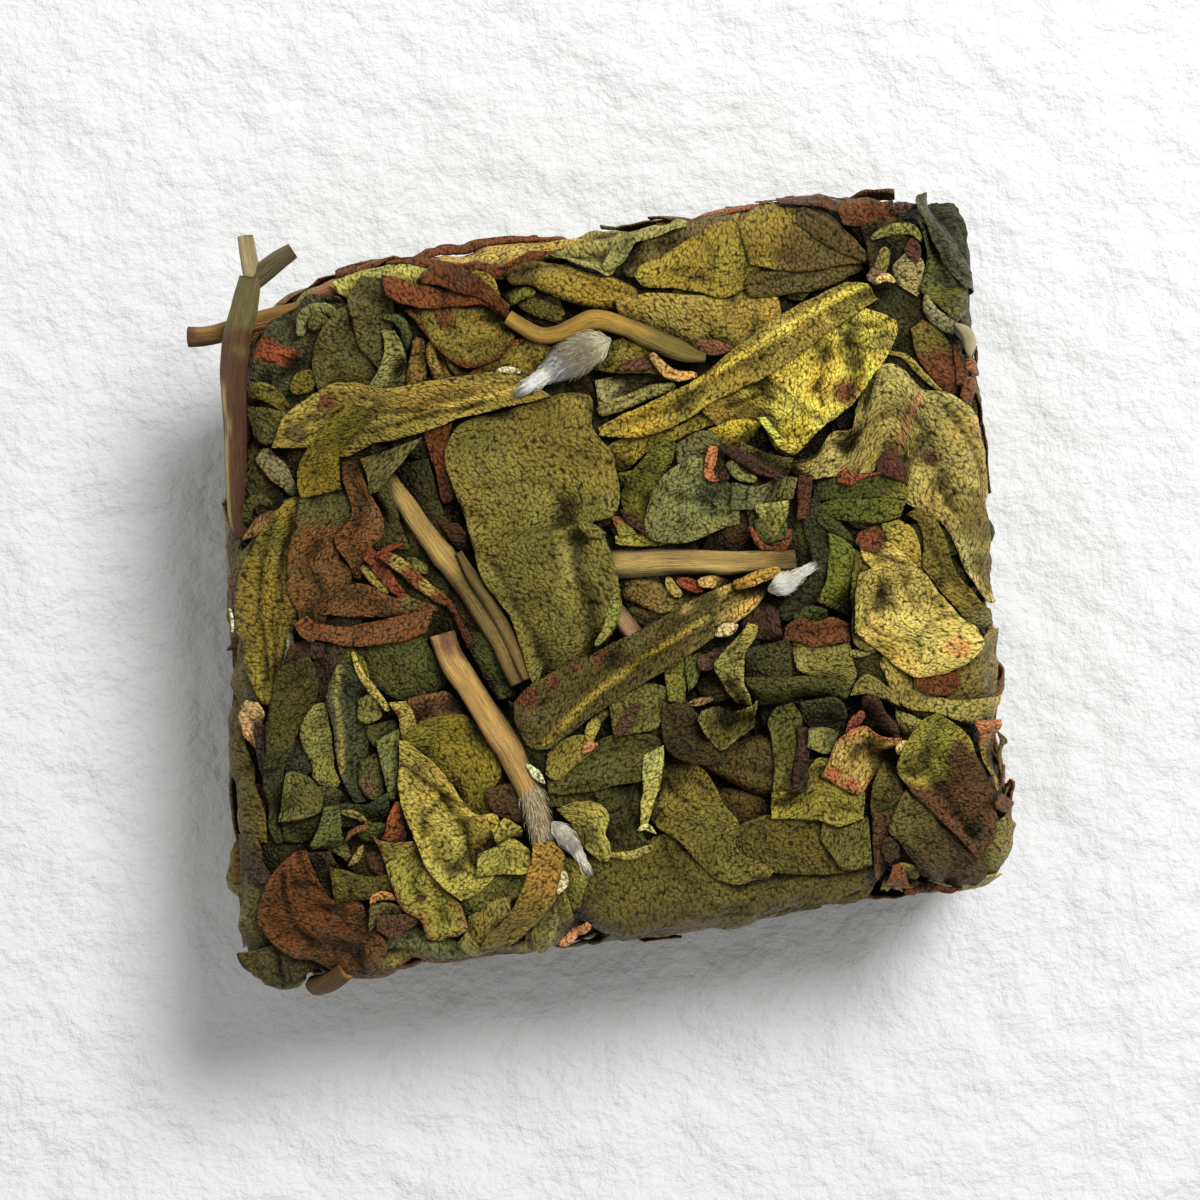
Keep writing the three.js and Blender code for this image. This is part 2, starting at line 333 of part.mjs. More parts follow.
// How high the leaves are piled on the core, kept on a square grid over the wrapped plan.
const pileSide = Math.ceil((2 * PILE_HALF) / PILE_CELL);
const pile = new Float32Array(pileSide * pileSide);

function pileIndex(plan) {
  const column = Math.floor((plan.x + PILE_HALF) / PILE_CELL);
  const row = Math.floor((plan.y + PILE_HALF) / PILE_CELL);
  return row * pileSide + column;
}

function pileHeight(plan) {
  const middle = pileIndex(plan);
  let highest = 0;
  for (const step of [-pileSide, -1, 0, 1, pileSide]) highest = Math.max(highest, pile[middle + step]);
  return highest;
}

function raisePile(plans, heights) {
  const parts = 3;
  for (let i = 0; i + 1 < plans.length; i += 1) {
    for (let j = 0; j + 1 < plans[i].length; j += 1) {
      for (let step = 0; step < parts * parts; step += 1) {
        const a = Math.floor(step / parts) / parts;
        const b = (step % parts) / parts;
        const mix = (get) => (get(i, j) * (1 - b) + get(i, j + 1) * b) * (1 - a)
          + (get(i + 1, j) * (1 - b) + get(i + 1, j + 1) * b) * a;
        const plan = { x: mix((m, n) => plans[m][n].x), y: mix((m, n) => plans[m][n].y) };
        const at = pileIndex(plan);
        pile[at] = Math.max(pile[at], mix((m, n) => heights[m][n]));
      }
    }
  }
}

// Leaves that pile up are squeezed towards the mould's surface.
function pressed(height) {
  return LAYER * Math.tanh((PILE_GAIN * Math.max(0, height)) / LAYER);
}

// The bed under a piece: what is piled there, eased so that a leaf bridges gaps and bends little.
function bedUnder(plans, passes) {
  const level = plans.map((row) => row.map(pileHeight));
  for (let pass = 0; pass < passes; pass += 1) {
    const before = level.map((row) => row.slice());
    level.forEach((row, i) => row.forEach((own, j) => {
      const near = [before[i - 1]?.[j], before[i + 1]?.[j], before[i][j - 1], before[i][j + 1]];
      const known = near.filter((value) => value !== undefined);
      const mean = known.reduce((sum, value) => sum + value, 0) / known.length;
      row[j] = Math.max(before[i][j] - GIVE, (before[i][j] + mean) / 2);
    }));
  }
  return level;
}

// A closed mesh from two faces on the same grid, joined round their rim.
function closedSheet(upper, lower) {
  const rows = upper.length;
  const columns = upper[0].length;
  const positions = [...upper.flat(), ...lower.flat()].flatMap((p) => [p.x, p.y, p.z]);
  const index = [];
  const top = (i, j) => i * columns + j;
  const base = (i, j) => rows * columns + i * columns + j;
  for (let i = 0; i + 1 < rows; i += 1) {
    for (let j = 0; j + 1 < columns; j += 1) {
      index.push(top(i, j), top(i + 1, j), top(i + 1, j + 1), top(i, j), top(i + 1, j + 1), top(i, j + 1));
      index.push(base(i, j), base(i + 1, j + 1), base(i + 1, j), base(i, j), base(i, j + 1), base(i + 1, j + 1));
    }
  }
  const rim = [];
  for (let j = 0; j < columns; j += 1) rim.push([0, j]);
  for (let i = 1; i < rows; i += 1) rim.push([i, columns - 1]);
  for (let j = columns - 2; j >= 0; j -= 1) rim.push([rows - 1, j]);
  for (let i = rows - 2; i > 0; i -= 1) rim.push([i, 0]);
  rim.forEach(([i, j], k) => {
    const [m, n] = rim[(k + 1) % rim.length];
    index.push(top(i, j), top(m, n), base(m, n), top(i, j), base(m, n), base(i, j));
  });
  const geometry = new THREE.BufferGeometry();
  geometry.setAttribute("position", new THREE.Float32BufferAttribute(positions, 3));
  geometry.setIndex(index);
  return geometry;
}

function toSolid(geometry) {
  geometry.deleteAttribute("normal");
  geometry.deleteAttribute("uv");
  const merged = mergeVertices(geometry, 1e-4);
  const mesh = new wasm.Mesh({
    numProp: 3,
    vertProperties: new Float32Array(merged.attributes.position.array),
    triVerts: new Uint32Array(merged.index.array),
  });
  mesh.merge();
  const solid = new wasm.Manifold(mesh);
  if (solid.volume() >= 0) return solid;
  const flipped = new Uint32Array(merged.index.array);
  for (let i = 0; i < flipped.length; i += 3) [flipped[i], flipped[i + 1]] = [flipped[i + 1], flipped[i]];
  return new wasm.Manifold(new wasm.Mesh({ numProp: 3, vertProperties: mesh.vertProperties, triVerts: flipped }));
}

// A number that changes smoothly along a piece from the values at its points.
function valueAlong(values, share) {
  const curve = new THREE.SplineCurve(values.map((value, i) => new THREE.Vector2(i, value)));
  return Math.max(0.15, curve.getPoint(share).y);
}

// How each form's section rises over its bed, for a place across it from -1 to 1.
const archOver = (across) => Math.sqrt(Math.max(0, 1 - across ** 2));
const FORMS = {
  leaf: { passes: 4, rise: (across, half) => LEAF + 0.12 * half * across ** 2 },
  roll: { passes: 6, columns: 4, rise: (across, half) => 0.25 + Math.min(1.5, 1.1 * half) * archOver(across) },
  stem: { passes: 30, columns: 3, rise: (across, half) => half * (0.75 + archOver(across)) },
};
FORMS.bud = FORMS.stem;

// A piece as a closed sheet that follows its middle line and is draped on what lies below it.
function drapedPiece([, form, points, halfWidths, stand], cell = CELL, place = (x, y) => ({ x, y })) {
  const line = new THREE.SplineCurve(points.map(([x, y]) => new THREE.Vector2(x, y)));
  const widest = Math.max(...halfWidths);
  const rowCount = Math.max(2, Math.round(line.getLength() / cell));
  const { passes, columns, rise } = FORMS[form];
  const columnCount = columns ?? Math.max(1, Math.round((2 * widest) / WIDE_CELL));
  const plans = [];
  const shape = [];
  for (let i = 0; i <= rowCount; i += 1) {
    const share = i / rowCount;
    const point = line.getPoint(share);
    const ahead = line.getTangent(share);
    const half = valueAlong(halfWidths, share);
    const planRow = [];
    const shapeRow = [];
    for (let j = 0; j <= columnCount; j += 1) {
      const even = (2 * j) / columnCount - 1;
      const across = form === "leaf" ? even : Math.sin((even * Math.PI) / 2);
      const wave = form === "leaf" ? 1 + 0.12 * Math.sin(2.4 * i + 1.7 * j + points[0][0]) : 1;
      planRow.push(place(point.x - ahead.y * half * across * wave, point.y + ahead.x * half * across * wave));
      const ripple = form === "leaf" ? 0.1 * Math.sin(1.9 * i + 2.6 * j + points[0][1]) : 0;
      shapeRow.push(rise(across, half) + ripple);
    }
    plans.push(planRow);
    shape.push(shapeRow);
  }
  const bed = bedUnder(plans, passes);
  const heights = bed.map((row, i) => row.map((level, j) => level + shape[i][j] + stand));
  const upper = plans.map((row, i) => row.map((plan, j) => wrapped(plan, pressed(heights[i][j]) + Math.max(0, stand))));
  const lower = plans.map((row) => row.map((plan) => wrapped(plan, -ROOT)));
  raisePile(plans, heights);
  return toSolid(closedSheet(upper, lower));
}

// The plain core: the mould's form one layer further in, standing on the same flat underside.
function coreSolid() {
  const rings = [{ inset: HEIGHT, z: HEIGHT - LAYER }];
  for (const degrees of [0, 45, 90]) {
    const turn = THREE.MathUtils.degToRad(degrees);
    rings.push({
      inset: LAYER + (TOP_ROUND - LAYER) * (1 - Math.sin(turn)),
      z: HEIGHT - LAYER - (TOP_ROUND - LAYER) * (1 - Math.cos(turn)),
    });
  }
  rings.push({ inset: LAYER, z: CORE_FOOT_ROUND });
  rings.push({ inset: LAYER + CORE_FOOT_ROUND, z: 0 });
  const steps = 36;
  const positions = [CENTRE.x, CENTRE.y, HEIGHT - LAYER, CENTRE.x, CENTRE.y, 0];
  for (const { inset, z } of rings) {
    for (let k = 0; k < steps; k += 1) {
      const angle = (2 * Math.PI * k) / steps;
      const x = Math.cos(angle);
      const y = Math.sin(angle);
      const radius = 1 / shareOfOutline(x, y) - inset;
      positions.push(CENTRE.x + x * radius, CENTRE.y + y * radius, z);
    }
  }
  const index = [];
  const at = (ring, k) => 2 + ring * steps + (k % steps);
  for (let k = 0; k < steps; k += 1) {
    index.push(0, at(0, k), at(0, k + 1));
    index.push(1, at(rings.length - 1, k + 1), at(rings.length - 1, k));
    for (let ring = 0; ring + 1 < rings.length; ring += 1) {
      index.push(at(ring, k), at(ring + 1, k), at(ring + 1, k + 1));
      index.push(at(ring, k), at(ring + 1, k + 1), at(ring, k + 1));
    }
  }
  const geometry = new THREE.BufferGeometry();
  geometry.setAttribute("position", new THREE.Float32BufferAttribute(positions, 3));
  geometry.setIndex(index);
  return toSolid(geometry);
}

// The same draws in the same order every time.
function seededDraws(seed) {
  let state = seed;
  return () => {
    state = (state * 16807) % 2147483647;
    return state / 2147483647;
  };
}

// The folded leaves of the four walls, in rows from the foot up to the top's edge.
function wallLeaves() {
  const draw = seededDraws(WALL_SEED);
  const solids = [];
  for (const wall of WALLS) {
    const halfLength = wall.name === "clipped_corner" ? 3 : 20;
    for (const up of WALL_ROWS) {
      for (let along = -halfLength; along <= halfLength; along += WALL_STEP) {
        const middle = along + (draw() - 0.5) * 5;
        const level = up + (draw() - 0.5) * 1.6;
        const half = 6.5 + 3.5 * draw();
        const slope = (draw() - 0.5) * 0.4;
        const bow = (draw() - 0.5) * 2;
        const width = 2.2 + 1.4 * draw();
        const stand = 0.4 * draw();
        const form = draw() < 0.25 ? "roll" : "leaf";
        const points = [
          [middle - half, level - slope * half],
          [middle, level + bow],
          [middle + half, level + slope * half],
        ];
        const piece = [`${wall.name}_leaf`, form, points, [0.5 * width, width, 0.45 * width], stand - 0.5];
        solids.push(drapedPiece(piece, WALL_CELL, (x, y) => onWall(wall, x, Math.max(-0.3, y))));
      }
    }
  }
  return solids;
}

// A twig as a closed tube of few sides through points in space.
function freeTwig([, points, radii]) {
  const curve = new THREE.CatmullRomCurve3(points.map((point) => new THREE.Vector3(...point)));
  const steps = 2 * (points.length - 1);
  const frames = curve.computeFrenetFrames(steps, false);
  const positions = [];
  for (let i = 0; i <= steps; i += 1) {
    const centre = curve.getPoint(i / steps);
    const radius = valueAlong(radii, i / steps);
    const tangent = curve.getTangent(i / steps);
    const aside = new THREE.Vector3().crossVectors(tangent, new THREE.Vector3(0, 0, 1)).normalize();
    const up = new THREE.Vector3().crossVectors(aside, tangent).normalize();
    for (let k = 0; k < TWIG_SIDES; k += 1) {
      const angle = (2 * Math.PI * k) / TWIG_SIDES;
      const point = centre.clone().addScaledVector(aside, radius * Math.cos(angle));
      point.addScaledVector(up, radius * Math.sin(angle));
      positions.push(point.x, point.y, point.z);
    }
  }
  positions.push(...curve.getPoint(0).toArray(), ...curve.getPoint(1).toArray());
  const index = [];
  const first = (steps + 1) * TWIG_SIDES;
  for (let k = 0; k < TWIG_SIDES; k += 1) {
    const next = (k + 1) % TWIG_SIDES;
    index.push(first, next, k, first + 1, steps * TWIG_SIDES + k, steps * TWIG_SIDES + next);
    for (let i = 0; i < steps; i += 1) {
      const a = i * TWIG_SIDES;
      const b = a + TWIG_SIDES;
      index.push(a + k, a + next, b + next, a + k, b + next, b + k);
    }
  }
  const geometry = new THREE.BufferGeometry();
  geometry.setAttribute("position", new THREE.Float32BufferAttribute(positions, 3));
  geometry.setIndex(index);
  return toSolid(geometry);
}

// Everything below the flat underside, cut away at the end.
function floorCutter() {
  const slab = new THREE.BoxGeometry(4 * PILE_HALF, 4 * PILE_HALF, HEIGHT);
  slab.translate(0, 0, -HEIGHT / 2);
  return toSolid(slab);
}

// The whole cake: everything joined, cut flat, with sealed hollows filled and loose scraps dropped.
function wholeCake() {
  const topPieces = [
    ...EDGE_PIECES, ...BACK_PIECES, ...CORNER_PIECES, ...RIGHT_PIECES, ...MIDDLE_PIECES,
    ...LEFT_PIECES, ...FRONT_PIECES, ...UPPERMOST_PIECES,
  ];
  const solids = [coreSolid(), ...wallLeaves()];
  for (const piece of topPieces) solids.push(drapedPiece(piece));
  for (const twig of FREE_TWIGS) solids.push(freeTwig(twig));
  const joined = solids.reduce((all, solid) => all.add(solid)).subtract(floorCutter());
  return joined.decompose().reduce((best, part) => (part.volume() > best.volume() ? part : best));
}

function toGeometry(solid) {
  const mesh = solid.getMesh();
  const geometry = new THREE.BufferGeometry();
  geometry.setAttribute("position", new THREE.Float32BufferAttribute(mesh.vertProperties, 3));
  geometry.setIndex([...mesh.triVerts]);
  geometry.computeVertexNormals();
  return geometry;
}

const cake = new THREE.Group();
const cakeMaterial = new THREE.MeshStandardMaterial({ color: 0x6b6230, roughness: 0.75, metalness: 0 });
const cakeMesh = new THREE.Mesh(toGeometry(wholeCake()), cakeMaterial);
cakeMesh.name = "tea_cake";
cake.add(cakeMesh);

export default cake;
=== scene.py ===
import math
from zlib import crc32

import bpy
import numpy as np
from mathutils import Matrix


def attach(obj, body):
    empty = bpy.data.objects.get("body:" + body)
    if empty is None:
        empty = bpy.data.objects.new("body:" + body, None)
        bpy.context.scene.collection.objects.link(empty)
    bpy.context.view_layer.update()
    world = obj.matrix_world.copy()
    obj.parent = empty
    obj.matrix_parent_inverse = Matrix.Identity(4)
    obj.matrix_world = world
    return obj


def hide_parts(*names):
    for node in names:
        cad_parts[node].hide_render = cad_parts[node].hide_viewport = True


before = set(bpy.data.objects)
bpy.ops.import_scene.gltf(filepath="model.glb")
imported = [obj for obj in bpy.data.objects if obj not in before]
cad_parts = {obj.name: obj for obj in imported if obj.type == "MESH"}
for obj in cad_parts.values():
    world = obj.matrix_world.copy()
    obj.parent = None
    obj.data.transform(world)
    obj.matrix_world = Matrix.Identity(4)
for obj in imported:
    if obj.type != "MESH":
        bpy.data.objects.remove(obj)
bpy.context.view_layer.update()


# ---- Packed core ------------------------------------------------------------------------------
# The inside of the cake is leaf pressed so tightly that only a dark mass shows in the gaps; its dark
# colour is painted shade. It has the mould's own form, one layer of leaves further in, and every leaf
# lies on it. Sizes are in mm.
MM = 0.001
HEIGHT = 17.0
CENTRE = np.array([-0.2, 0.9])
WALLS = {"right": (0, 24.7), "back": (93.5, 22.6), "clipped_corner": (135, 28.6),
         "left": (177, 24.3), "front": (273, 22.4)}
CORNER_SHARPNESS = 14
TOP_ROUND = 4.0
FOOT_ROUND = 2.0
LAYER = 2.4
FLOOR_LAYER = 1.5
CORE_SHADE_COLOUR = (46, 40, 24)
CORE_SIDES = 200
CORE_FLAT_RINGS, CORE_WALL_RINGS, CORE_FOOT_RINGS = 30, 26, 10
CORE_LUMPS = 0.3
PACKED_MOTTLE = {"size": 1.4, "strength": 1.2}
PACKED_BUMP = 0.4
BARK_SHARE = np.array([1.5, 1.46, 1.26])
DRY_SHARE = np.array([1.33, 1.22, 0.9])
MID_LIGHT = 0.12

WALL_SHARES = np.array([[math.cos(math.radians(toward)) / away, math.sin(math.radians(toward)) / away]
                        for toward, away in WALLS.values()])
TRUE_TURN = math.radians(50)
TRUE_INSET = TOP_ROUND * (1 - math.sin(TRUE_TURN))
WALL_START = -TRUE_INSET + TOP_ROUND * (math.pi / 2 - TRUE_TURN)
WALL_END = WALL_START + HEIGHT - TOP_ROUND


def share_of_outline(offset):
    """How far out a plan offset from the centre lies, as a share of the way to the outline: the
    shares that the walls alone would give, joined by a high-power sum that rounds the corners."""
    toward = np.maximum(offset @ WALL_SHARES.T, 0)
    return np.maximum((toward ** CORNER_SHARPNESS).sum(-1) ** (1 / CORNER_SHARPNESS), 1e-6)


def mould_section(beyond):
    """The mould's inset, height and turn from level, by the way gone beyond the outline: flat, then
    an arc, then the wall, which draws in on a second arc at the foot."""
    on_arc = np.arcsin(np.clip((beyond + TOP_ROUND) / TOP_ROUND, 0, 1))
    turn = np.where(beyond <= -TRUE_INSET, on_arc, TRUE_TURN + (beyond + TRUE_INSET) / TOP_ROUND)
    turn = np.clip(turn, 0, math.pi / 2)
    inset = np.where(beyond <= -TOP_ROUND, -beyond, TOP_ROUND * (1 - np.sin(turn)))
    z = HEIGHT - TOP_ROUND * (1 - np.cos(turn)) - np.maximum(0, beyond - WALL_START)
    drop = np.clip(FOOT_ROUND - z, 0, FOOT_ROUND)
    return inset + FOOT_ROUND - np.sqrt(FOOT_ROUND ** 2 - drop ** 2), z, turn


def wrapped(plan, height):
    """Points in space from plan points wrapped round the mould: the point of the mould's surface,
    moved along its own normal by the height above the core."""
    offset = plan - CENTRE
    length = np.maximum(np.hypot(offset[..., 0], offset[..., 1]), 1e-6)
    reach = length / share_of_outline(offset)
    inset, z, turn = mould_section(length - reach)
    pull = np.maximum(offset @ WALL_SHARES.T, 0) / (length / reach)[..., None]
    normal = (pull ** (CORNER_SHARPNESS - 1)) @ WALL_SHARES
    normal /= np.maximum(np.linalg.norm(normal, axis=-1, keepdims=True), 1e-12)
    off = height - LAYER
    level = CENTRE + offset * ((reach - inset) / length)[..., None]
    level = level + normal * (np.sin(turn) * off)[..., None]
    return np.concatenate([level, (z + np.cos(turn) * off)[..., None]], axis=-1)


def tube_triangles(rings, sides):
    """Triangles of a closed tube: one pole, rings of points, the other pole, wound to face out
    where the sides run anticlockwise as seen against the way that the rings go."""
    ring, side = np.meshgrid(np.arange(rings - 1), np.arange(sides), indexing="ij")
    a = 1 + ring * sides + side
    b = 1 + ring * sides + (side + 1) % sides
    c, d = a + sides, b + sides
    around = np.arange(sides)
    last = 1 + (rings - 1) * sides
    start = np.stack([np.zeros(sides, int), 1 + around, 1 + (around + 1) % sides], -1)
    end = np.stack([np.full(sides, last + sides), last + (around + 1) % sides, last + around], -1)
    walls = [np.stack([a, c, d], -1).reshape(-1, 3), np.stack([a, d, b], -1).reshape(-1, 3)]
    return np.concatenate([start, *walls, end])


def linear(colour):
    """A colour of 0 to 255 as seen on a screen, as the share of light that it sends back."""
    value = np.asarray(colour, float) / 255
    return np.where(value <= 0.04045, value / 12.92, ((value + 0.055) / 1.055) ** 2.4)


def dried_bark(colour):
    """A stem's colour as the photo shows it, turned into the share of light that it sends back."""
    return linear(colour) * BARK_SHARE


def dried(colour):
    """A leaf's colour as the photo shows it, turned into the share of light that it sends back. Soft
    light evens out light and dark leaves and makes red ones look lighter, so both are countered."""
    value = linear(colour)
    redness = max(0.0, 0.7 - value[1] / value[0])
    return value * DRY_SHARE * (value[:2].mean() / MID_LIGHT) ** 0.2 * (1 - 0.6 * redness)


laid = []


def add_piece(name, parts, material):
    """One object from closed parts, each with its points, triangles, colours and its places on the
    leaf. The parts are kept, because the press at the end squeezes and shades them."""
    starts = np.cumsum([0] + [len(part["points"]) for part in parts])
    points = np.concatenate([part["points"] for part in parts]) * MM
    triangles = np.concatenate([part["triangles"] + start for part, start in zip(parts, starts)])
    mesh = bpy.data.meshes.new(name)
    mesh.vertices.add(len(points))
    mesh.vertices.foreach_set("co", points.astype(np.float32).ravel())
    mesh.loops.add(3 * len(triangles))
    mesh.loops.foreach_set("vertex_index", triangles.astype(np.int32).ravel())
    mesh.polygons.add(len(triangles))
    mesh.polygons.foreach_set("loop_start", np.arange(0, 3 * len(triangles), 3, dtype=np.int32))
    mesh.polygons.foreach_set("use_smooth", np.ones(len(triangles), bool))
    mesh.update(calc_edges=True)
    colours = np.concatenate([part["colours"] for part in parts])
    places = np.concatenate([part["places"] for part in parts])
    mesh.attributes.new("leaf_colour", "FLOAT_COLOR", "POINT")
    mesh.attributes["leaf_colour"].data.foreach_set(
        "color", np.c_[colours, np.ones(len(colours))].astype(np.float32).ravel())
    mesh.attributes.new("on_leaf", "FLOAT_VECTOR", "POINT")
    mesh.attributes["on_leaf"].data.foreach_set("vector", places.astype(np.float32).ravel())
    mesh.materials.append(material)
    piece = bpy.data.objects.new(name, mesh)
    bpy.context.scene.collection.objects.link(piece)
    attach(piece, "root")
    laid.append((piece, parts))
    return piece


def add_node(tree, kind, inputs=None, **settings):
    """A node of one kind with its settings, and with its inputs set to values or linked."""
    node = tree.nodes.new(kind)
    for key, value in settings.items():
        setattr(node, key, value)
    for key, value in (inputs or {}).items():
        if isinstance(value, bpy.types.NodeSocket):
            tree.links.new(value, node.inputs[key])
        else:
            node.inputs[key].default_value = value
    return node


def math_node(tree, operation, first, second=0.0, clamp=False):
    """The value of one sum on two values."""
    return add_node(tree, "ShaderNodeMath", {0: first, 1: second}, operation=operation,
                    use_clamp=clamp).outputs[0]


def weighted_sum(tree, base, *terms):
    """A base value plus each value times its own weight."""
    total = base
    for value, weight in terms:
        total = add_node(tree, "ShaderNodeMath", {0: value, 1: weight, 2: total},
                         operation="MULTIPLY_ADD").outputs[0]
    return total


def greyed(tree, tint, light):
    """A colour made lighter or darker by one value."""
    grey = add_node(tree, "ShaderNodeCombineColor", {0: light, 1: light, 2: light}).outputs[0]
    return add_node(tree, "ShaderNodeMix", {0: 1.0, 6: tint, 7: grey},
                    data_type="RGBA", blend_type="MULTIPLY").outputs[2]


def new_material(name):
    """An empty material with its shader and output, and the surface's own attributes."""
    material = bpy.data.materials.new(name)
    material.use_nodes = True
    tree = material.node_tree
    tree.nodes.clear()
    shader = tree.nodes.new("ShaderNodeBsdfPrincipled")
    output = tree.nodes.new("ShaderNodeOutputMaterial")
    tree.links.new(shader.outputs[0], output.inputs[0])
    colour = add_node(tree, "ShaderNodeAttribute", attribute_name="leaf_colour").outputs["Color"]
    place = add_node(tree, "ShaderNodeAttribute", attribute_name="on_leaf").outputs["Vector"]
    return material, tree, shader, colour, place


def mottle_group():
    """Uneven drying: two sizes of noise lighten and darken a colour, and raise or lower the skin."""
    group = bpy.data.node_groups.new("uneven_drying", "ShaderNodeTree")
    for label, kind in (("Colour", "NodeSocketColor"), ("Place", "NodeSocketVector"),
                        ("Size", "NodeSocketFloat"), ("Strength", "NodeSocketFloat")):
        group.interface.new_socket(label, in_out="INPUT", socket_type=kind)
    group.interface.new_socket("Colour", in_out="OUTPUT", socket_type="NodeSocketColor")
    group.interface.new_socket("Relief", in_out="OUTPUT", socket_type="NodeSocketFloat")
    inside = group.nodes.new("NodeGroupInput").outputs
    noise = add_node(group, "ShaderNodeTexNoise",
                     {"Vector": inside["Place"], "Scale": inside["Size"], "Detail": 5.0,
                      "Roughness": 0.62}, noise_dimensions="3D").outputs[0]
    light = weighted_sum(group, 1.0, (math_node(group, "SUBTRACT", noise, 0.5), inside["Strength"]))
    result = greyed(group, inside["Colour"], light)
    ending = group.nodes.new("NodeGroupOutput")
    group.links.new(result, ending.inputs["Colour"])
    group.links.new(noise, ending.inputs["Relief"])
    return group


UNEVEN_DRYING = mottle_group()


def mottled(tree, colour, place, size, strength):
    """The colour and the relief that uneven drying gives a material."""
    node = tree.nodes.new("ShaderNodeGroup")
    node.node_tree = UNEVEN_DRYING
    tree.links.new(colour, node.inputs["Colour"])
    tree.links.new(place, node.inputs["Place"])
    node.inputs["Size"].default_value = size
    node.inputs["Strength"].default_value = strength
    return node.outputs["Colour"], node.outputs["Relief"]


def packed_finish():
    """Crushed leaf, matt, in a dark colour that is painted shade."""
    material, tree, shader, colour, place = new_material("packed_leaf_shade")
    tint, relief = mottled(tree, colour, place, **PACKED_MOTTLE)
    bump = add_node(tree, "ShaderNodeBump", {"Height": relief, "Distance": PACKED_BUMP * MM}).outputs[0]
    tree.links.new(tint, shader.inputs["Base Color"])
    tree.links.new(bump, shader.inputs["Normal"])
    shader.inputs["Roughness"].default_value = 0.8
    return material


PACKED = packed_finish()


def packed_core():
    """The core as a tube of rings about the upright axis: from the middle of the top out to the
    edge, down the walls, and back to the middle of the underside, with low lumps on it."""
    angle = np.linspace(0, 2 * math.pi, CORE_SIDES, endpoint=False)
    heading = np.stack([np.cos(angle), np.sin(angle)], -1)
    reach = 1 / share_of_outline(heading)
    flat = np.linspace(0, 1, CORE_FLAT_RINGS + 1)[1:, None] * (reach - TOP_ROUND)
    wall = reach + np.linspace(-TOP_ROUND, WALL_END - FLOOR_LAYER, CORE_WALL_RINGS)[1:, None]
    radius = np.concatenate([flat, wall])
    plan = CENTRE + radius[..., None] * heading
    lumps = CORE_LUMPS * np.sin(1.3 * plan[..., 0]) * np.cos(1.1 * plan[..., 1])
    upper = wrapped(plan, lumps)
    inward = np.linspace(0.96, 0.1, CORE_FOOT_RINGS)[:, None, None]
    lower = CENTRE + inward * (upper[-1, :, :2] - CENTRE)
    lower = np.concatenate([lower, np.full((*lower.shape[:2], 1), FLOOR_LAYER)], -1)
    rings = np.concatenate([upper, lower])
    top_pole = np.array([[*CENTRE, HEIGHT - LAYER]])
    low_pole = np.array([[*CENTRE, FLOOR_LAYER]])
    points = np.concatenate([top_pole, rings.reshape(-1, 3), low_pole])
    # The core's dark colour is painted shade for the deep gaps.
    return {"points": points, "triangles": tube_triangles(len(rings), CORE_SIDES), "places": points,
            "colours": np.tile(linear(CORE_SHADE_COLOUR), (len(points), 1))}


core = add_piece("packed_core", [packed_core()], PACKED)
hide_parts("tea_cake")


# ---- Leaves packed below ----------------------------------------------------------------------
# Under the leaves that show lie others, small, dark and mixed, which fill the gaps with their
# edges. They are laid first, deep in the layer, at places and angles drawn from a seeded rule.
BED_HALF = 56.0
BED_CELL = 0.2
TOP_STEP = 0.22
LEAF_THICKNESS = 0.2
GAP = 0.07
PEBBLES = 4.5
LEAF_MOTTLE = {"size": 1.1, "strength": 0.4}
LEAF_LIGHT = {"base": -0.56, "dome": 1.35, "grain": 0.85, "crease": -0.2, "least": 0.08}
LEAF_RELIEF = {"dome": 0.25, "uneven": 0.30, "grain": 0.26, "crease": -0.05}
LEAF_CREASE_WIDTH = 0.011
LEAF_ROUGHNESS, DOME_SHINE = 0.56, -0.14
EDGE_ROUGHNESS = [(2.2, 1.0), (0.9, 0.8), (0.4, 0.4)]
UNDER_COUNT = 280
UNDER_STEP = 0.58
UNDER_COLOURS = [(78, 70, 34), (66, 60, 30), (90, 74, 40), (76, 50, 34), (82, 78, 40), (60, 58, 32)]
CREASE_WIDTH, CREASE_DEPTH = 0.15, 0.32
RIB_RISE = 0.8
WIDEN = 1.15
BLUNT_END = 0.5
DEEP_HOLES = np.array([[-2, 18.8, 1.8], [8.2, -13.4, 2.2], [19.8, 16, 2.0], [-11.4, 6.8, 2.2]])


def bowed_line(middle, turn, half_length, bow):
    """A line through a place at an angle, as three points, the middle one pushed aside."""
    way = np.array([math.cos(turn), math.sin(turn)])
    aside = np.array([-way[1], way[0]])
    return [middle - way * half_length, middle + aside * bow, middle + way * half_length]


def spline(points, shares):
    """Places along a smooth line through points: on each span, the cubic whose slope at a point is
    half the way from the point before to the one after."""
    points = np.asarray(points, float)
    last = len(points) - 1
    place = np.clip(shares, 0, 1) * last
    k = np.minimum(place.astype(int), last - 1)
    t = (place - k).reshape(-1, *[1] * (points.ndim - 1))
    before, start = points[np.maximum(k - 1, 0)], points[k]
    end, after = points[k + 1], points[np.minimum(k + 2, last)]
    leave, arrive = (end - before) / 2, (after - start) / 2
    return ((2 * start - 2 * end + leave + arrive) * t ** 3
            + (3 * end - 3 * start - 2 * leave - arrive) * t ** 2 + leave * t + start)


def even_line(points, count):
    """Points at equal lengths along the smooth line, and the length gone at each."""
    fine = spline(points, np.linspace(0, 1, 200))
    gone = np.concatenate([[0], np.cumsum(np.linalg.norm(np.diff(fine, axis=0), axis=1))])
    at = np.linspace(0, gone[-1], count)
    return np.stack([np.interp(at, gone, fine[:, k]) for k in range(fine.shape[1])], -1), at


def headings(line):
    """At each point of a line, the unit way ahead and the unit way to its left."""
    ahead = np.gradient(line, axis=0)
    ahead /= np.maximum(np.linalg.norm(ahead, axis=1, keepdims=True), 1e-9)
    return ahead, np.stack([-ahead[:, 1], ahead[:, 0]], -1)


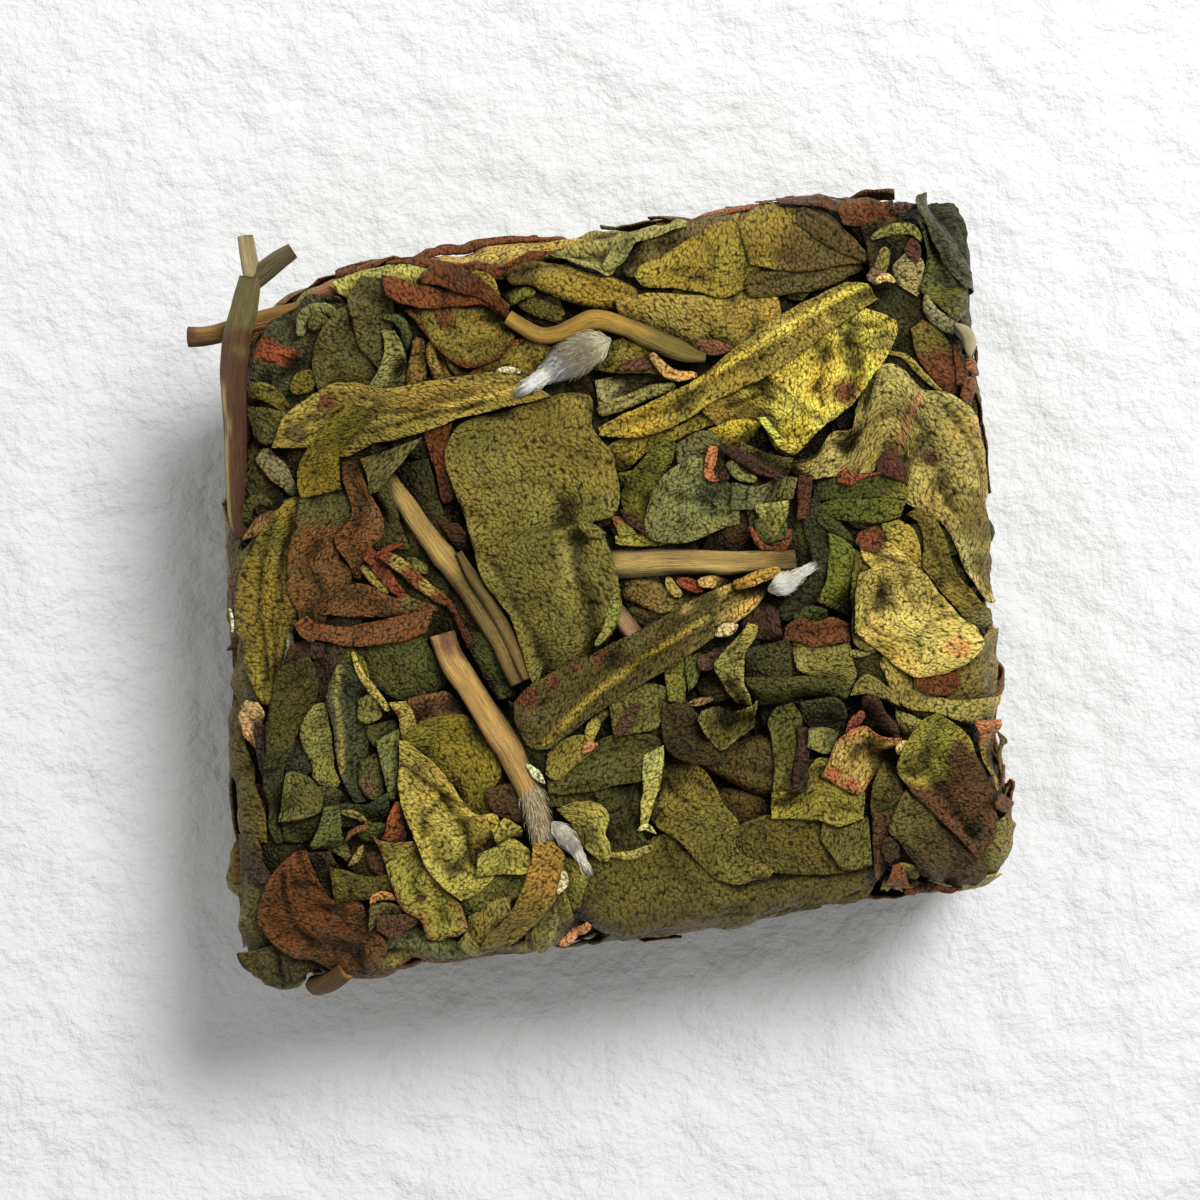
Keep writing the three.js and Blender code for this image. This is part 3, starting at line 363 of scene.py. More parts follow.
def noise(x, y, seed):
    """Smooth noise from -1 to 1: scrambled values at whole numbers, blended by a quintic curve."""
    x, y = np.broadcast_arrays(np.asarray(x, float), np.asarray(y, float))
    column, row = np.floor(x).astype(np.int64), np.floor(y).astype(np.int64)
    fx, fy = x - column, y - row

    def value(i, j):
        n = (i * 374761393 + j * 668265263 + seed * 144269504) & 0xFFFFFFFF
        n = ((n ^ (n >> 13)) * 1274126177) & 0xFFFFFFFF
        return ((n ^ (n >> 16)) & 0xFFFFFF) / 0x7FFFFF - 1.0

    u = fx ** 3 * (fx * (fx * 6 - 15) + 10)
    v = fy ** 3 * (fy * (fy * 6 - 15) + 10)
    low = value(column, row) * (1 - u) + value(column + 1, row) * u
    high = value(column, row + 1) * (1 - u) + value(column + 1, row + 1) * u
    return low * (1 - v) + high * v


def smooth_step(value):
    """From 0 to 1 with level ends."""
    value = np.clip(value, 0, 1)
    return value * value * (3 - 2 * value)


class Bed:
    """How high the leaves are piled on the core, on a square grid over the wrapped plan."""

    def __init__(self):
        self.side = int(2 * BED_HALF / BED_CELL)
        self.pile = np.zeros(self.side * self.side)

    def cells(self, plan, shift=0.0):
        at = np.clip(((plan + BED_HALF) / BED_CELL + shift).astype(int), 0, self.side - 1)
        return at[..., 1] * self.side + at[..., 0]

    def height(self, plan):
        """The highest of the four cells round each plan point."""
        corners = [self.pile[self.cells(plan, np.array([i, j]))] for i in (-0.5, 0.5) for j in (-0.5, 0.5)]
        return np.maximum.reduce(corners)

    def rise_to(self, plan, height):
        """The pile raised to a sheet, whose grid is first made fine enough to miss no cell."""
        spacing = max(np.abs(np.diff(plan, axis=0)).max(), np.abs(np.diff(plan, axis=1)).max())
        parts = int(np.clip(math.ceil(spacing / (0.8 * BED_CELL)), 1, 8))
        field = np.concatenate([plan, height[..., None]], -1)
        for axis in (0, 1):
            first = np.take(field, range(field.shape[axis] - 1), axis)
            second = np.take(field, range(1, field.shape[axis]), axis)
            steps = [first + (second - first) * k / parts for k in range(parts)]
            field = np.concatenate([*steps, np.take(field, [-1], axis)], axis)
        np.maximum.at(self.pile, self.cells(field[..., :2]).ravel(), field[..., 2].ravel())


def widened(field, axis, before, after):
    """A square field with its edge values repeated beyond it along one axis."""
    return np.pad(field, [(before, after) if k == axis else (0, 0) for k in (0, 1)], mode="edge")


def spread(field, reach, join):
    """Each value joined with those up to a reach away along both axes, by maximum or by mean."""
    for axis in (0, 1):
        wide = widened(field, axis, reach, reach)
        size = field.shape[axis]
        parts = [np.take(wide, range(k, k + size), axis) for k in range(2 * reach + 1)]
        field = join(parts)
    return field


def eased(field, reach):
    """A smooth cover over a rough bed, nowhere below it: the highest nearby, then the mean."""
    highest = spread(field, reach, np.maximum.reduce)
    return spread(highest, reach, lambda parts: sum(parts) / len(parts))


def sheet_triangles(rows, columns):
    """Triangles of a closed sheet: an upper face, a lower face below it, and the rim between."""
    i, j = np.meshgrid(np.arange(rows - 1), np.arange(columns - 1), indexing="ij")
    a = (i * columns + j).ravel()
    b, c, d = a + columns, a + columns + 1, a + 1
    size = rows * columns
    upper = np.concatenate([np.stack([a, b, c], -1), np.stack([a, c, d], -1)])
    lower = size + upper[:, ::-1]
    rim = np.concatenate([np.arange(columns - 1), np.arange(rows - 1) * columns + columns - 1,
                          size - 1 - np.arange(columns - 1), (rows - 1 - np.arange(rows - 1)) * columns])
    after = np.roll(rim, -1)
    wall = np.concatenate([np.stack([rim, after, after + size], -1),
                           np.stack([rim, after + size, rim + size], -1)])
    return np.concatenate([upper, lower, wall])


def blade_outline(line, half, step, seed, ragged):
    """A blade's two edges as rows of points. Either a middle line with half widths to each side,
    rounded at both ends, or the two edges themselves. Noise makes the edges ragged."""
    outlined = np.ndim(half[0]) == 1
    length = even_line(line, 2)[1][-1]
    rows = max(5, math.ceil(length / step) + 1)
    middle, gone = even_line(line, rows)
    if outlined:
        right, left = middle, even_line(half, rows)[0]
        middle = (right + left) / 2
    aside = headings(middle)[1]
    if not outlined:
        width = WIDEN * spline(half, np.linspace(0, 1, rows))
        for near, first in ((gone, half[0]), (length - gone, half[-1])):
            blunt = np.sqrt(1 - (1 - np.minimum(near / max(0.3, 0.7 * first), 1)) ** 2)
            width = width * (BLUNT_END + (1 - BLUNT_END) * blunt)
        right, left = middle - aside * width[:, None], middle + aside * width[:, None]
    for edge, side, key in ((right, -1, 3), (left, 1, 5)):
        rough = sum(strength * noise(gone / size, 0.5, seed + key + k)
                    for k, (size, strength) in enumerate(EDGE_ROUGHNESS))
        edge += aside * (side * ragged * rough)[:, None]
    return right, left, gone


def blade_relief(along, across, seed, folds, size):
    """The folds of a dried blade: panels that swell between sharp creases, where warped noise
    crosses zero, with sharper ridges across them. Gives the height and how deep in a crease."""
    x, y = along / size[0], across / size[1]
    x, y = x + 0.5 * noise(0.8 * x + 7, 0.8 * y, seed), y + 0.5 * noise(0.8 * x, 0.8 * y + 9, seed + 1)
    panel = np.abs(noise(x, y, seed + 2))
    small = np.abs(noise(2.6 * x + 5, 2.6 * y, seed + 3))
    ridge = np.abs(noise(1.3 * x, 1.3 * y + 3, seed + 4))
    swell = 1.6 * np.minimum(panel, 0.45) + 0.5 * np.minimum(small, 0.4) - 0.9 * ridge
    crease = np.exp(-panel / 0.04) + 0.6 * np.exp(-small / 0.05)
    return folds * swell, np.clip(crease, 0, 1)


def away_from(plan, line):
    """The way from each plan point to a bent line: the least of the ways to its straight spans."""
    start, span = np.array(line[:-1], float), np.diff(np.array(line, float), axis=0)
    offset = plan[..., None, :] - start
    share = np.clip((offset * span).sum(-1) / (span ** 2).sum(-1), 0, 1)
    return np.linalg.norm(offset - share[..., None] * span, axis=-1).min(-1)


def painted(colour, plan, along, across, share, near_edge, crease, seed, looks):
    """A blade's colour: its own, turning into others at its root, tip, edges and patches, and then
    lighter and darker by noise in three sizes, with painted shade in the creases."""
    result = np.ones((*along.shape, 3)) * dried(colour)
    drift = 0.16 * noise(along / 1.7, across / 1.3, seed + 20)

    def turn_into(other, amount):
        nonlocal result
        amount = np.clip(amount, 0, 1)[..., None]
        result = result * (1 - amount) + dried(other) * amount

    if "root" in looks:
        other, reach = looks["root"]
        turn_into(other, smooth_step((reach - share + drift) / 0.16 + 0.5))
    if "tip" in looks:
        other, reach = looks["tip"]
        turn_into(other, smooth_step((share - 1 + reach + drift) / 0.16 + 0.5))
    if "side" in looks:
        other, reach = looks["side"]
        turn_into(other, smooth_step((across / np.abs(across).max() * np.sign(reach) - 1 + abs(reach)) / 0.3))
    for at, wide, other in looks.get("patches", ()):
        way = np.hypot(plan[..., 0] - at[0], plan[..., 1] - at[1])
        turn_into(other, smooth_step((wide - way + 2.5 * drift) / (0.5 * wide)))
    for line, wide, other in looks.get("ribs", ()):
        turn_into(other, 1.1 * np.exp(-(away_from(plan, line) / (1.2 * wide)) ** 2))
    if "edge" in looks:
        rim = 0.35 + 0.3 * noise(along / 1.1, across / 1.1, seed + 21)
        turn_into(looks["edge"], 1.1 * np.exp(-(near_edge / np.maximum(rim, 0.08)) ** 2))
    uneven = 1 + 0.20 * noise(along / 2.6, across / 1.9, seed + 22) + 0.15 * noise(
        along / 0.8, across / 0.6, seed + 23)
    warmth = 0.10 * noise(along / 3.1, across / 2.3, seed + 24)
    # Creases and grooves get painted shade.
    light = uneven * (1 - 0.6 * crease)
    return result * np.stack([light * (1 + warmth), light, light * (1 - warmth)], -1)


def keep_place(x, y):
    """The top's own plan points."""
    return np.stack([x, y], -1)


def rolled(v, span, along, across, gone, under, own, relief, crease, seed):
    """The upper side of a leaf rolled up: an arch over the eased bed with lengthwise grain, and the
    step of the outer lap along a wavering seam. Gives the height and how deep in a groove."""
    arch = np.sqrt(np.clip(1 - v ** 2, 0, 1))
    tall = np.minimum(1.35, 0.85 * span[:, None] / 2)
    grain = np.abs(noise(along / 6, across / 0.42, seed + 12)) - 0.3
    seam = 0.25 * v.max() + 0.35 * noise(gone / 5, 0.5, seed + 13)[:, None]
    lap = 0.22 * smooth_step((v - seam) / 0.12 + 0.5)
    groove = np.exp(-((v - seam + 0.05) / 0.07) ** 2)
    top = (under + 0.25 * np.maximum(0, own - under - tall) + tall * arch + 0.3 * relief
           + 0.2 * grain * arch + lap * arch - 0.2 * groove)
    return top, np.clip(0.5 * crease + groove + 0.5 * np.exp(-(grain + 0.3) / 0.06), 0, 1)


def lay_blade(row, bed, step=TOP_STEP, place=keep_place, wrap=wrapped):
    """A thin closed sheet draped on the bed. It lies part of the way up from the eased bed to its
    own level under the mould, tilted and curled a little, and sinks towards the bed at its edges."""
    name, form, line, half, level, colour = row[:6]
    looks = dict(row[6]) if len(row) > 6 else {}
    seed = crc32(name.encode()) % 99991
    draw = np.random.default_rng(seed)
    right, left, gone = blade_outline(line, half, step, seed, looks.get("ragged", 0.08))
    span = np.linalg.norm(left - right, axis=1)
    columns = max(5, math.ceil(span.max() / step) + 1)
    v = np.linspace(-1, 1, columns)
    u = ((v + 1) / 2)[None, :, None]
    flat = right[:, None] * (1 - u) + left[:, None] * u
    along = gone[:, None] + 0 * v
    across = span[:, None] / 2 * v
    share = along / gone[-1]
    near_edge = np.minimum(span[:, None] / 2 - np.abs(across), np.minimum(along, gone[-1] - along) + 0.05)
    folds = looks.get("folds", 0.26)
    relief, crease = blade_relief(along, across, seed, folds, looks.get("size", (3.0, 1.7)))
    plan = place(flat[..., 0], flat[..., 1])
    wavy = plan + 0.12 * noise(along / 1.3, across / 1.3, seed + 30)[..., None]
    for fold_line in looks.get("creases", ()):
        drawn = np.exp(-(away_from(wavy, fold_line) / CREASE_WIDTH) ** 2)
        relief = relief - CREASE_DEPTH * drawn
        crease = np.maximum(crease, drawn)
    for rib_line, wide, _ in looks.get("ribs", ()):
        relief = relief + RIB_RISE * wide * np.exp(-(away_from(wavy, rib_line) / wide) ** 2)
    rough = bed.height(plan)
    under = eased(rough, max(1, round(0.55 / step)))
    tilt = looks.get("tilt", 0.65 * draw.uniform(-1, 1))
    curl = looks.get("curl", draw.uniform(-0.35, 0.2))
    wave = 0.28 * noise(along / 4.2, across / 3.0, seed + 11)
    own = LAYER + level + tilt * v + curl * v ** 2 + wave
    bare = under + LEAF_THICKNESS + GAP
    hold = looks.get("hold", 0.6) * (0.75 + 0.25 * smooth_step(near_edge / 0.6))
    top = bare + hold * np.maximum(0, own - bare) + relief
    if form == "roll":
        top, crease = rolled(v, span, along, across, gone, under, own, relief, crease, seed)
    top = np.maximum(top, rough + GAP + 0.5 * LEAF_THICKNESS)
    bottom = top - LEAF_THICKNESS
    colours = painted(colour, plan, along, across, share, near_edge, crease, seed, looks)
    bed.rise_to(plan, top)
    places = np.stack([along + seed % 311, across + seed % 97, 0 * along], -1)
    height = np.concatenate([top.ravel(), bottom.ravel()])

    def both(field):
        return np.concatenate([field.reshape(-1, field.shape[-1])] * 2)

    return {"points": wrap(both(plan), height), "triangles": sheet_triangles(*along.shape),
            "colours": both(colours), "places": both(places), "bed": bed, "wrap": wrap,
            "plan": both(plan), "height": height, "anchor_plan": both(plan), "anchor": height}


def leaf_finish():
    """A dried leaf's skin: fine pebbles, lighter on their domes and darker in the furrows between them
    as painted highlight and shade, faint branching creases drawn darker, and uneven drying, all placed
    by the leaf's own length and width in mm."""
    material, tree, shader, colour, place = new_material("dried_leaf_skin")
    tint, relief = mottled(tree, colour, place, **LEAF_MOTTLE)
    pull = add_node(tree, "ShaderNodeTexNoise", {"Vector": place, "Scale": 2.2, "Detail": 2.0},
                    noise_dimensions="2D").outputs["Color"]
    pulled = add_node(tree, "ShaderNodeVectorMath", {0: pull, 1: (0.34, 0.34, 0.0), 2: place},
                      operation="MULTIPLY_ADD").outputs[0]
    cell = add_node(tree, "ShaderNodeTexVoronoi", {"Vector": pulled, "Scale": PEBBLES, "Randomness": 1.0},
                    voronoi_dimensions="2D", feature="F1").outputs["Distance"]
    dome = math_node(tree, "SUBTRACT", 1.0, math_node(tree, "MULTIPLY", cell, cell), clamp=True)
    grain = add_node(tree, "ShaderNodeTexNoise", {"Vector": place, "Scale": 2.6, "Detail": 5.0,
                                                  "Roughness": 0.65, "Distortion": 0.4},
                     noise_dimensions="2D").outputs[0]
    warped = add_node(tree, "ShaderNodeTexNoise", {"Vector": place, "Scale": 0.42, "Detail": 4.0,
                                                   "Roughness": 0.6, "Distortion": 0.8},
                      noise_dimensions="2D").outputs[0]
    off_line = math_node(tree, "ABSOLUTE", math_node(tree, "SUBTRACT", warped, 0.5))
    crease = math_node(tree, "SUBTRACT", 1.0, math_node(tree, "DIVIDE", off_line, LEAF_CREASE_WIDTH),
                       clamp=True)
    # Pebble domes are painted lighter and the furrows between them darker: painted highlight and shade.
    light = weighted_sum(tree, LEAF_LIGHT["base"], (dome, LEAF_LIGHT["dome"]), (grain, LEAF_LIGHT["grain"]),
                         (crease, LEAF_LIGHT["crease"]))
    light = math_node(tree, "MAXIMUM", light, LEAF_LIGHT["least"])
    tree.links.new(greyed(tree, tint, light), shader.inputs["Base Color"])
    height = weighted_sum(tree, 0.0, (dome, LEAF_RELIEF["dome"]), (relief, LEAF_RELIEF["uneven"]),
                          (grain, LEAF_RELIEF["grain"]), (crease, LEAF_RELIEF["crease"]))
    bump = add_node(tree, "ShaderNodeBump", {"Height": height, "Distance": MM}).outputs[0]
    tree.links.new(bump, shader.inputs["Normal"])
    rough = weighted_sum(tree, LEAF_ROUGHNESS, (dome, DOME_SHINE))
    tree.links.new(rough, shader.inputs["Roughness"])
    shader.inputs["Specular IOR Level"].default_value = 0.42
    shader.inputs["Specular Tint"].default_value = (0.95, 0.86, 0.5, 1)
    return material


LEAF_SKIN = leaf_finish()
top_bed = Bed()


def packed_below():
    """Rows for the small dark leaves: places drawn over the top's outline, headings drawn freely."""
    draw = np.random.default_rng(905)
    rows = []
    while len(rows) < UNDER_COUNT:
        middle = CENTRE + draw.uniform(-26, 26, 2)
        if share_of_outline(middle - CENTRE) > 1.02:
            continue
        line = bowed_line(middle, draw.uniform(0, math.pi), draw.uniform(3.5, 7), draw.uniform(-1.2, 1.2))
        deep = (np.hypot(*(DEEP_HOLES[:, :2] - middle).T) < DEEP_HOLES[:, 2] + 1).any()
        wide = draw.uniform(1.1, 2.3)
        level = draw.uniform(-2.1, -0.9) - (0.8 if deep else 0.0)
        colour = UNDER_COLOURS[draw.integers(len(UNDER_COLOURS))]
        rows.append((f"below_{len(rows)}", "roll" if draw.random() < 0.2 else "leaf", line,
                     [0.5 * wide, wide, 0.4 * wide], level, colour, {"folds": 0.22, "hold": 0.5}))
    return rows


add_piece("leaves_packed_below", [lay_blade(row, top_bed, UNDER_STEP) for row in packed_below()],
          LEAF_SKIN)


# ---- Leaves on the walls ----------------------------------------------------------------------
# The four walls and the clipped corner are leaves that the mould folded down: large ones in two
# rows, then smaller ones and rolls over them, most of them close to level.
WALL_ROWS = [3, 9.4]
WALL_SPACING = 16
WALL_SEED = 4127
WALL_STEP = 0.46
SMALL_WALL_LEAVES = {"right": 34, "back": 34, "clipped_corner": 6, "left": 34, "front": 44}
WALL_COLOURS = [(112, 103, 50), (96, 88, 42), (128, 116, 60), (84, 80, 40), (104, 78, 42), (92, 60, 38),
                (140, 128, 70), (74, 72, 38)]
RED_BROWN = (112, 66, 38)


def on_wall(wall):
    """A function from a place on a wall, along from its middle and up from the foot, to the wrapped
    plan. Heights near the floor are squeezed so that nothing goes below it."""
    toward, away = WALLS[wall]

    def place(along, up):
        angle = math.radians(toward) + np.arctan2(along, away)
        heading = np.stack([np.cos(angle), np.sin(angle)], -1)
        raised = 0.35 * np.logaddexp(0, np.asarray(up) / 0.35) + 0.02
        distance = 1 / share_of_outline(heading) + WALL_END - raised
        return CENTRE + heading * distance[..., None]

    return place


def seeded_draws(seed):
    """Draws from 0 to 1 in the same order every time: each state is 16807 times the last one, as
    the remainder to a large prime."""
    state = seed
    while True:
        state = (state * 16807) % 2147483647
        yield state / 2147483647


def large_wall_rows():
    """Rows for the large folded leaves, two courses to a wall."""
    draws = seeded_draws(WALL_SEED)
    palette = np.random.default_rng(31)
    rows = []
    for wall in WALLS:
        half_length = 3 if wall == "clipped_corner" else 20
        for up in WALL_ROWS:
            for along in np.arange(-half_length, half_length + 0.01, WALL_SPACING):
                middle = along + (next(draws) - 0.5) * 5
                level = up + (next(draws) - 0.5) * 1.6
                half = 6.5 + 3.5 * next(draws)
                slope = (next(draws) - 0.5) * 0.4
                bow = (next(draws) - 0.5) * 2
                width = 2.2 + 1.4 * next(draws)
                stand = 0.4 * next(draws)
                form = "roll" if next(draws) < 0.25 else "leaf"
                line = [(middle - half, level - slope * half), (middle, level + bow),
                        (middle + half, level + slope * half)]
                looks = {"edge": RED_BROWN} if palette.random() < 0.4 else {}
                colour = WALL_COLOURS[palette.integers(len(WALL_COLOURS))]
                rows.append((wall, (f"wall_{len(rows)}", form, line, [0.5 * width, width, 0.45 * width],
                                    stand - 0.5, colour, {"folds": 0.3, **looks})))
    return rows


def small_wall_rows():
    """Rows for the smaller leaves and rolls that lie over the large ones."""
    draw = np.random.default_rng(77)
    rows = []
    for wall, count in SMALL_WALL_LEAVES.items():
        reach = 3 if wall == "clipped_corner" else 22
        for k in range(count):
            middle = np.array([draw.uniform(-reach, reach), draw.uniform(0.5, 14.5)])
            line = bowed_line(middle, draw.normal(0, 0.5), draw.uniform(3, 6.5), draw.uniform(-1.3, 1.3))
            wide = draw.uniform(0.7, 1.9)
            looks = {"edge": RED_BROWN} if draw.random() < 0.35 else {}
            if draw.random() < 0.2:
                looks["tip"] = (RED_BROWN, 0.35)
            colour = WALL_COLOURS[draw.integers(len(WALL_COLOURS))]
            rows.append((wall, (f"{wall}_small_{k}", "roll" if draw.random() < 0.3 else "leaf", line,
                                [0.45 * wide, wide, 0.4 * wide], draw.uniform(-0.5, 0.3), colour, looks)))
    return rows


wall_parts = [lay_blade(row, top_bed, WALL_STEP, on_wall(wall))
              for wall, row in large_wall_rows() + small_wall_rows()]
add_piece("wall_leaves", wall_parts, LEAF_SKIN)


# ---- Leaves of the underside ------------------------------------------------------------------
# The underside is pressed flat against the mould's floor, so its leaves lie in one level with only
# thin dark gaps between them.
FLOOR_LEAVES = 70
FLOOR_STEP = 0.5


def pressed_under(plan, height):
    """Points of the underside, whose chart is the plan seen from below: heights go down from the
    core, and are squeezed so that the lowest leaves end level with the floor."""
    down = FLOOR_LAYER * np.tanh(1.3 * height / FLOOR_LAYER)
    drawn = CENTRE + (plan - CENTRE) * 0.97
    return np.stack([-drawn[..., 0] + 2 * CENTRE[0], drawn[..., 1], FLOOR_LAYER - down + 0.03], -1)


def floor_rows():
    """Rows for the leaves pressed on the mould's floor, all inside the foot's rounded edge."""
    draw = np.random.default_rng(512)
    rows = []
    while len(rows) < FLOOR_LEAVES:
        middle = draw.uniform(-22, 22, 2)
        turn, long = draw.uniform(0, math.pi), draw.uniform(3.5, 7.5)
        way = np.array([math.cos(turn), math.sin(turn)]) * long
        ends = np.array([middle - way, middle + way, middle])
        mirrored = (ends - CENTRE) * [-1, 1]
        wide = draw.uniform(1.2, 2.8)
        if (share_of_outline(mirrored) > 0.93 - 0.04 * wide).any():
            continue
        rows.append((f"floor_{len(rows)}", "leaf", ends[[0, 2, 1]] + [[0, 0], draw.uniform(-1, 1, 2), [0, 0]],
                     [0.5 * wide, wide, 0.4 * wide], draw.uniform(-1.6, -1.1),
                     WALL_COLOURS[draw.integers(len(WALL_COLOURS))], {"folds": 0.14, "hold": 0.4}))
    return rows


floor_bed = Bed()
floor_parts = [lay_blade(row, floor_bed, FLOOR_STEP, wrap=pressed_under) for row in floor_rows()]
add_piece("underside_leaves", floor_parts, LEAF_SKIN)


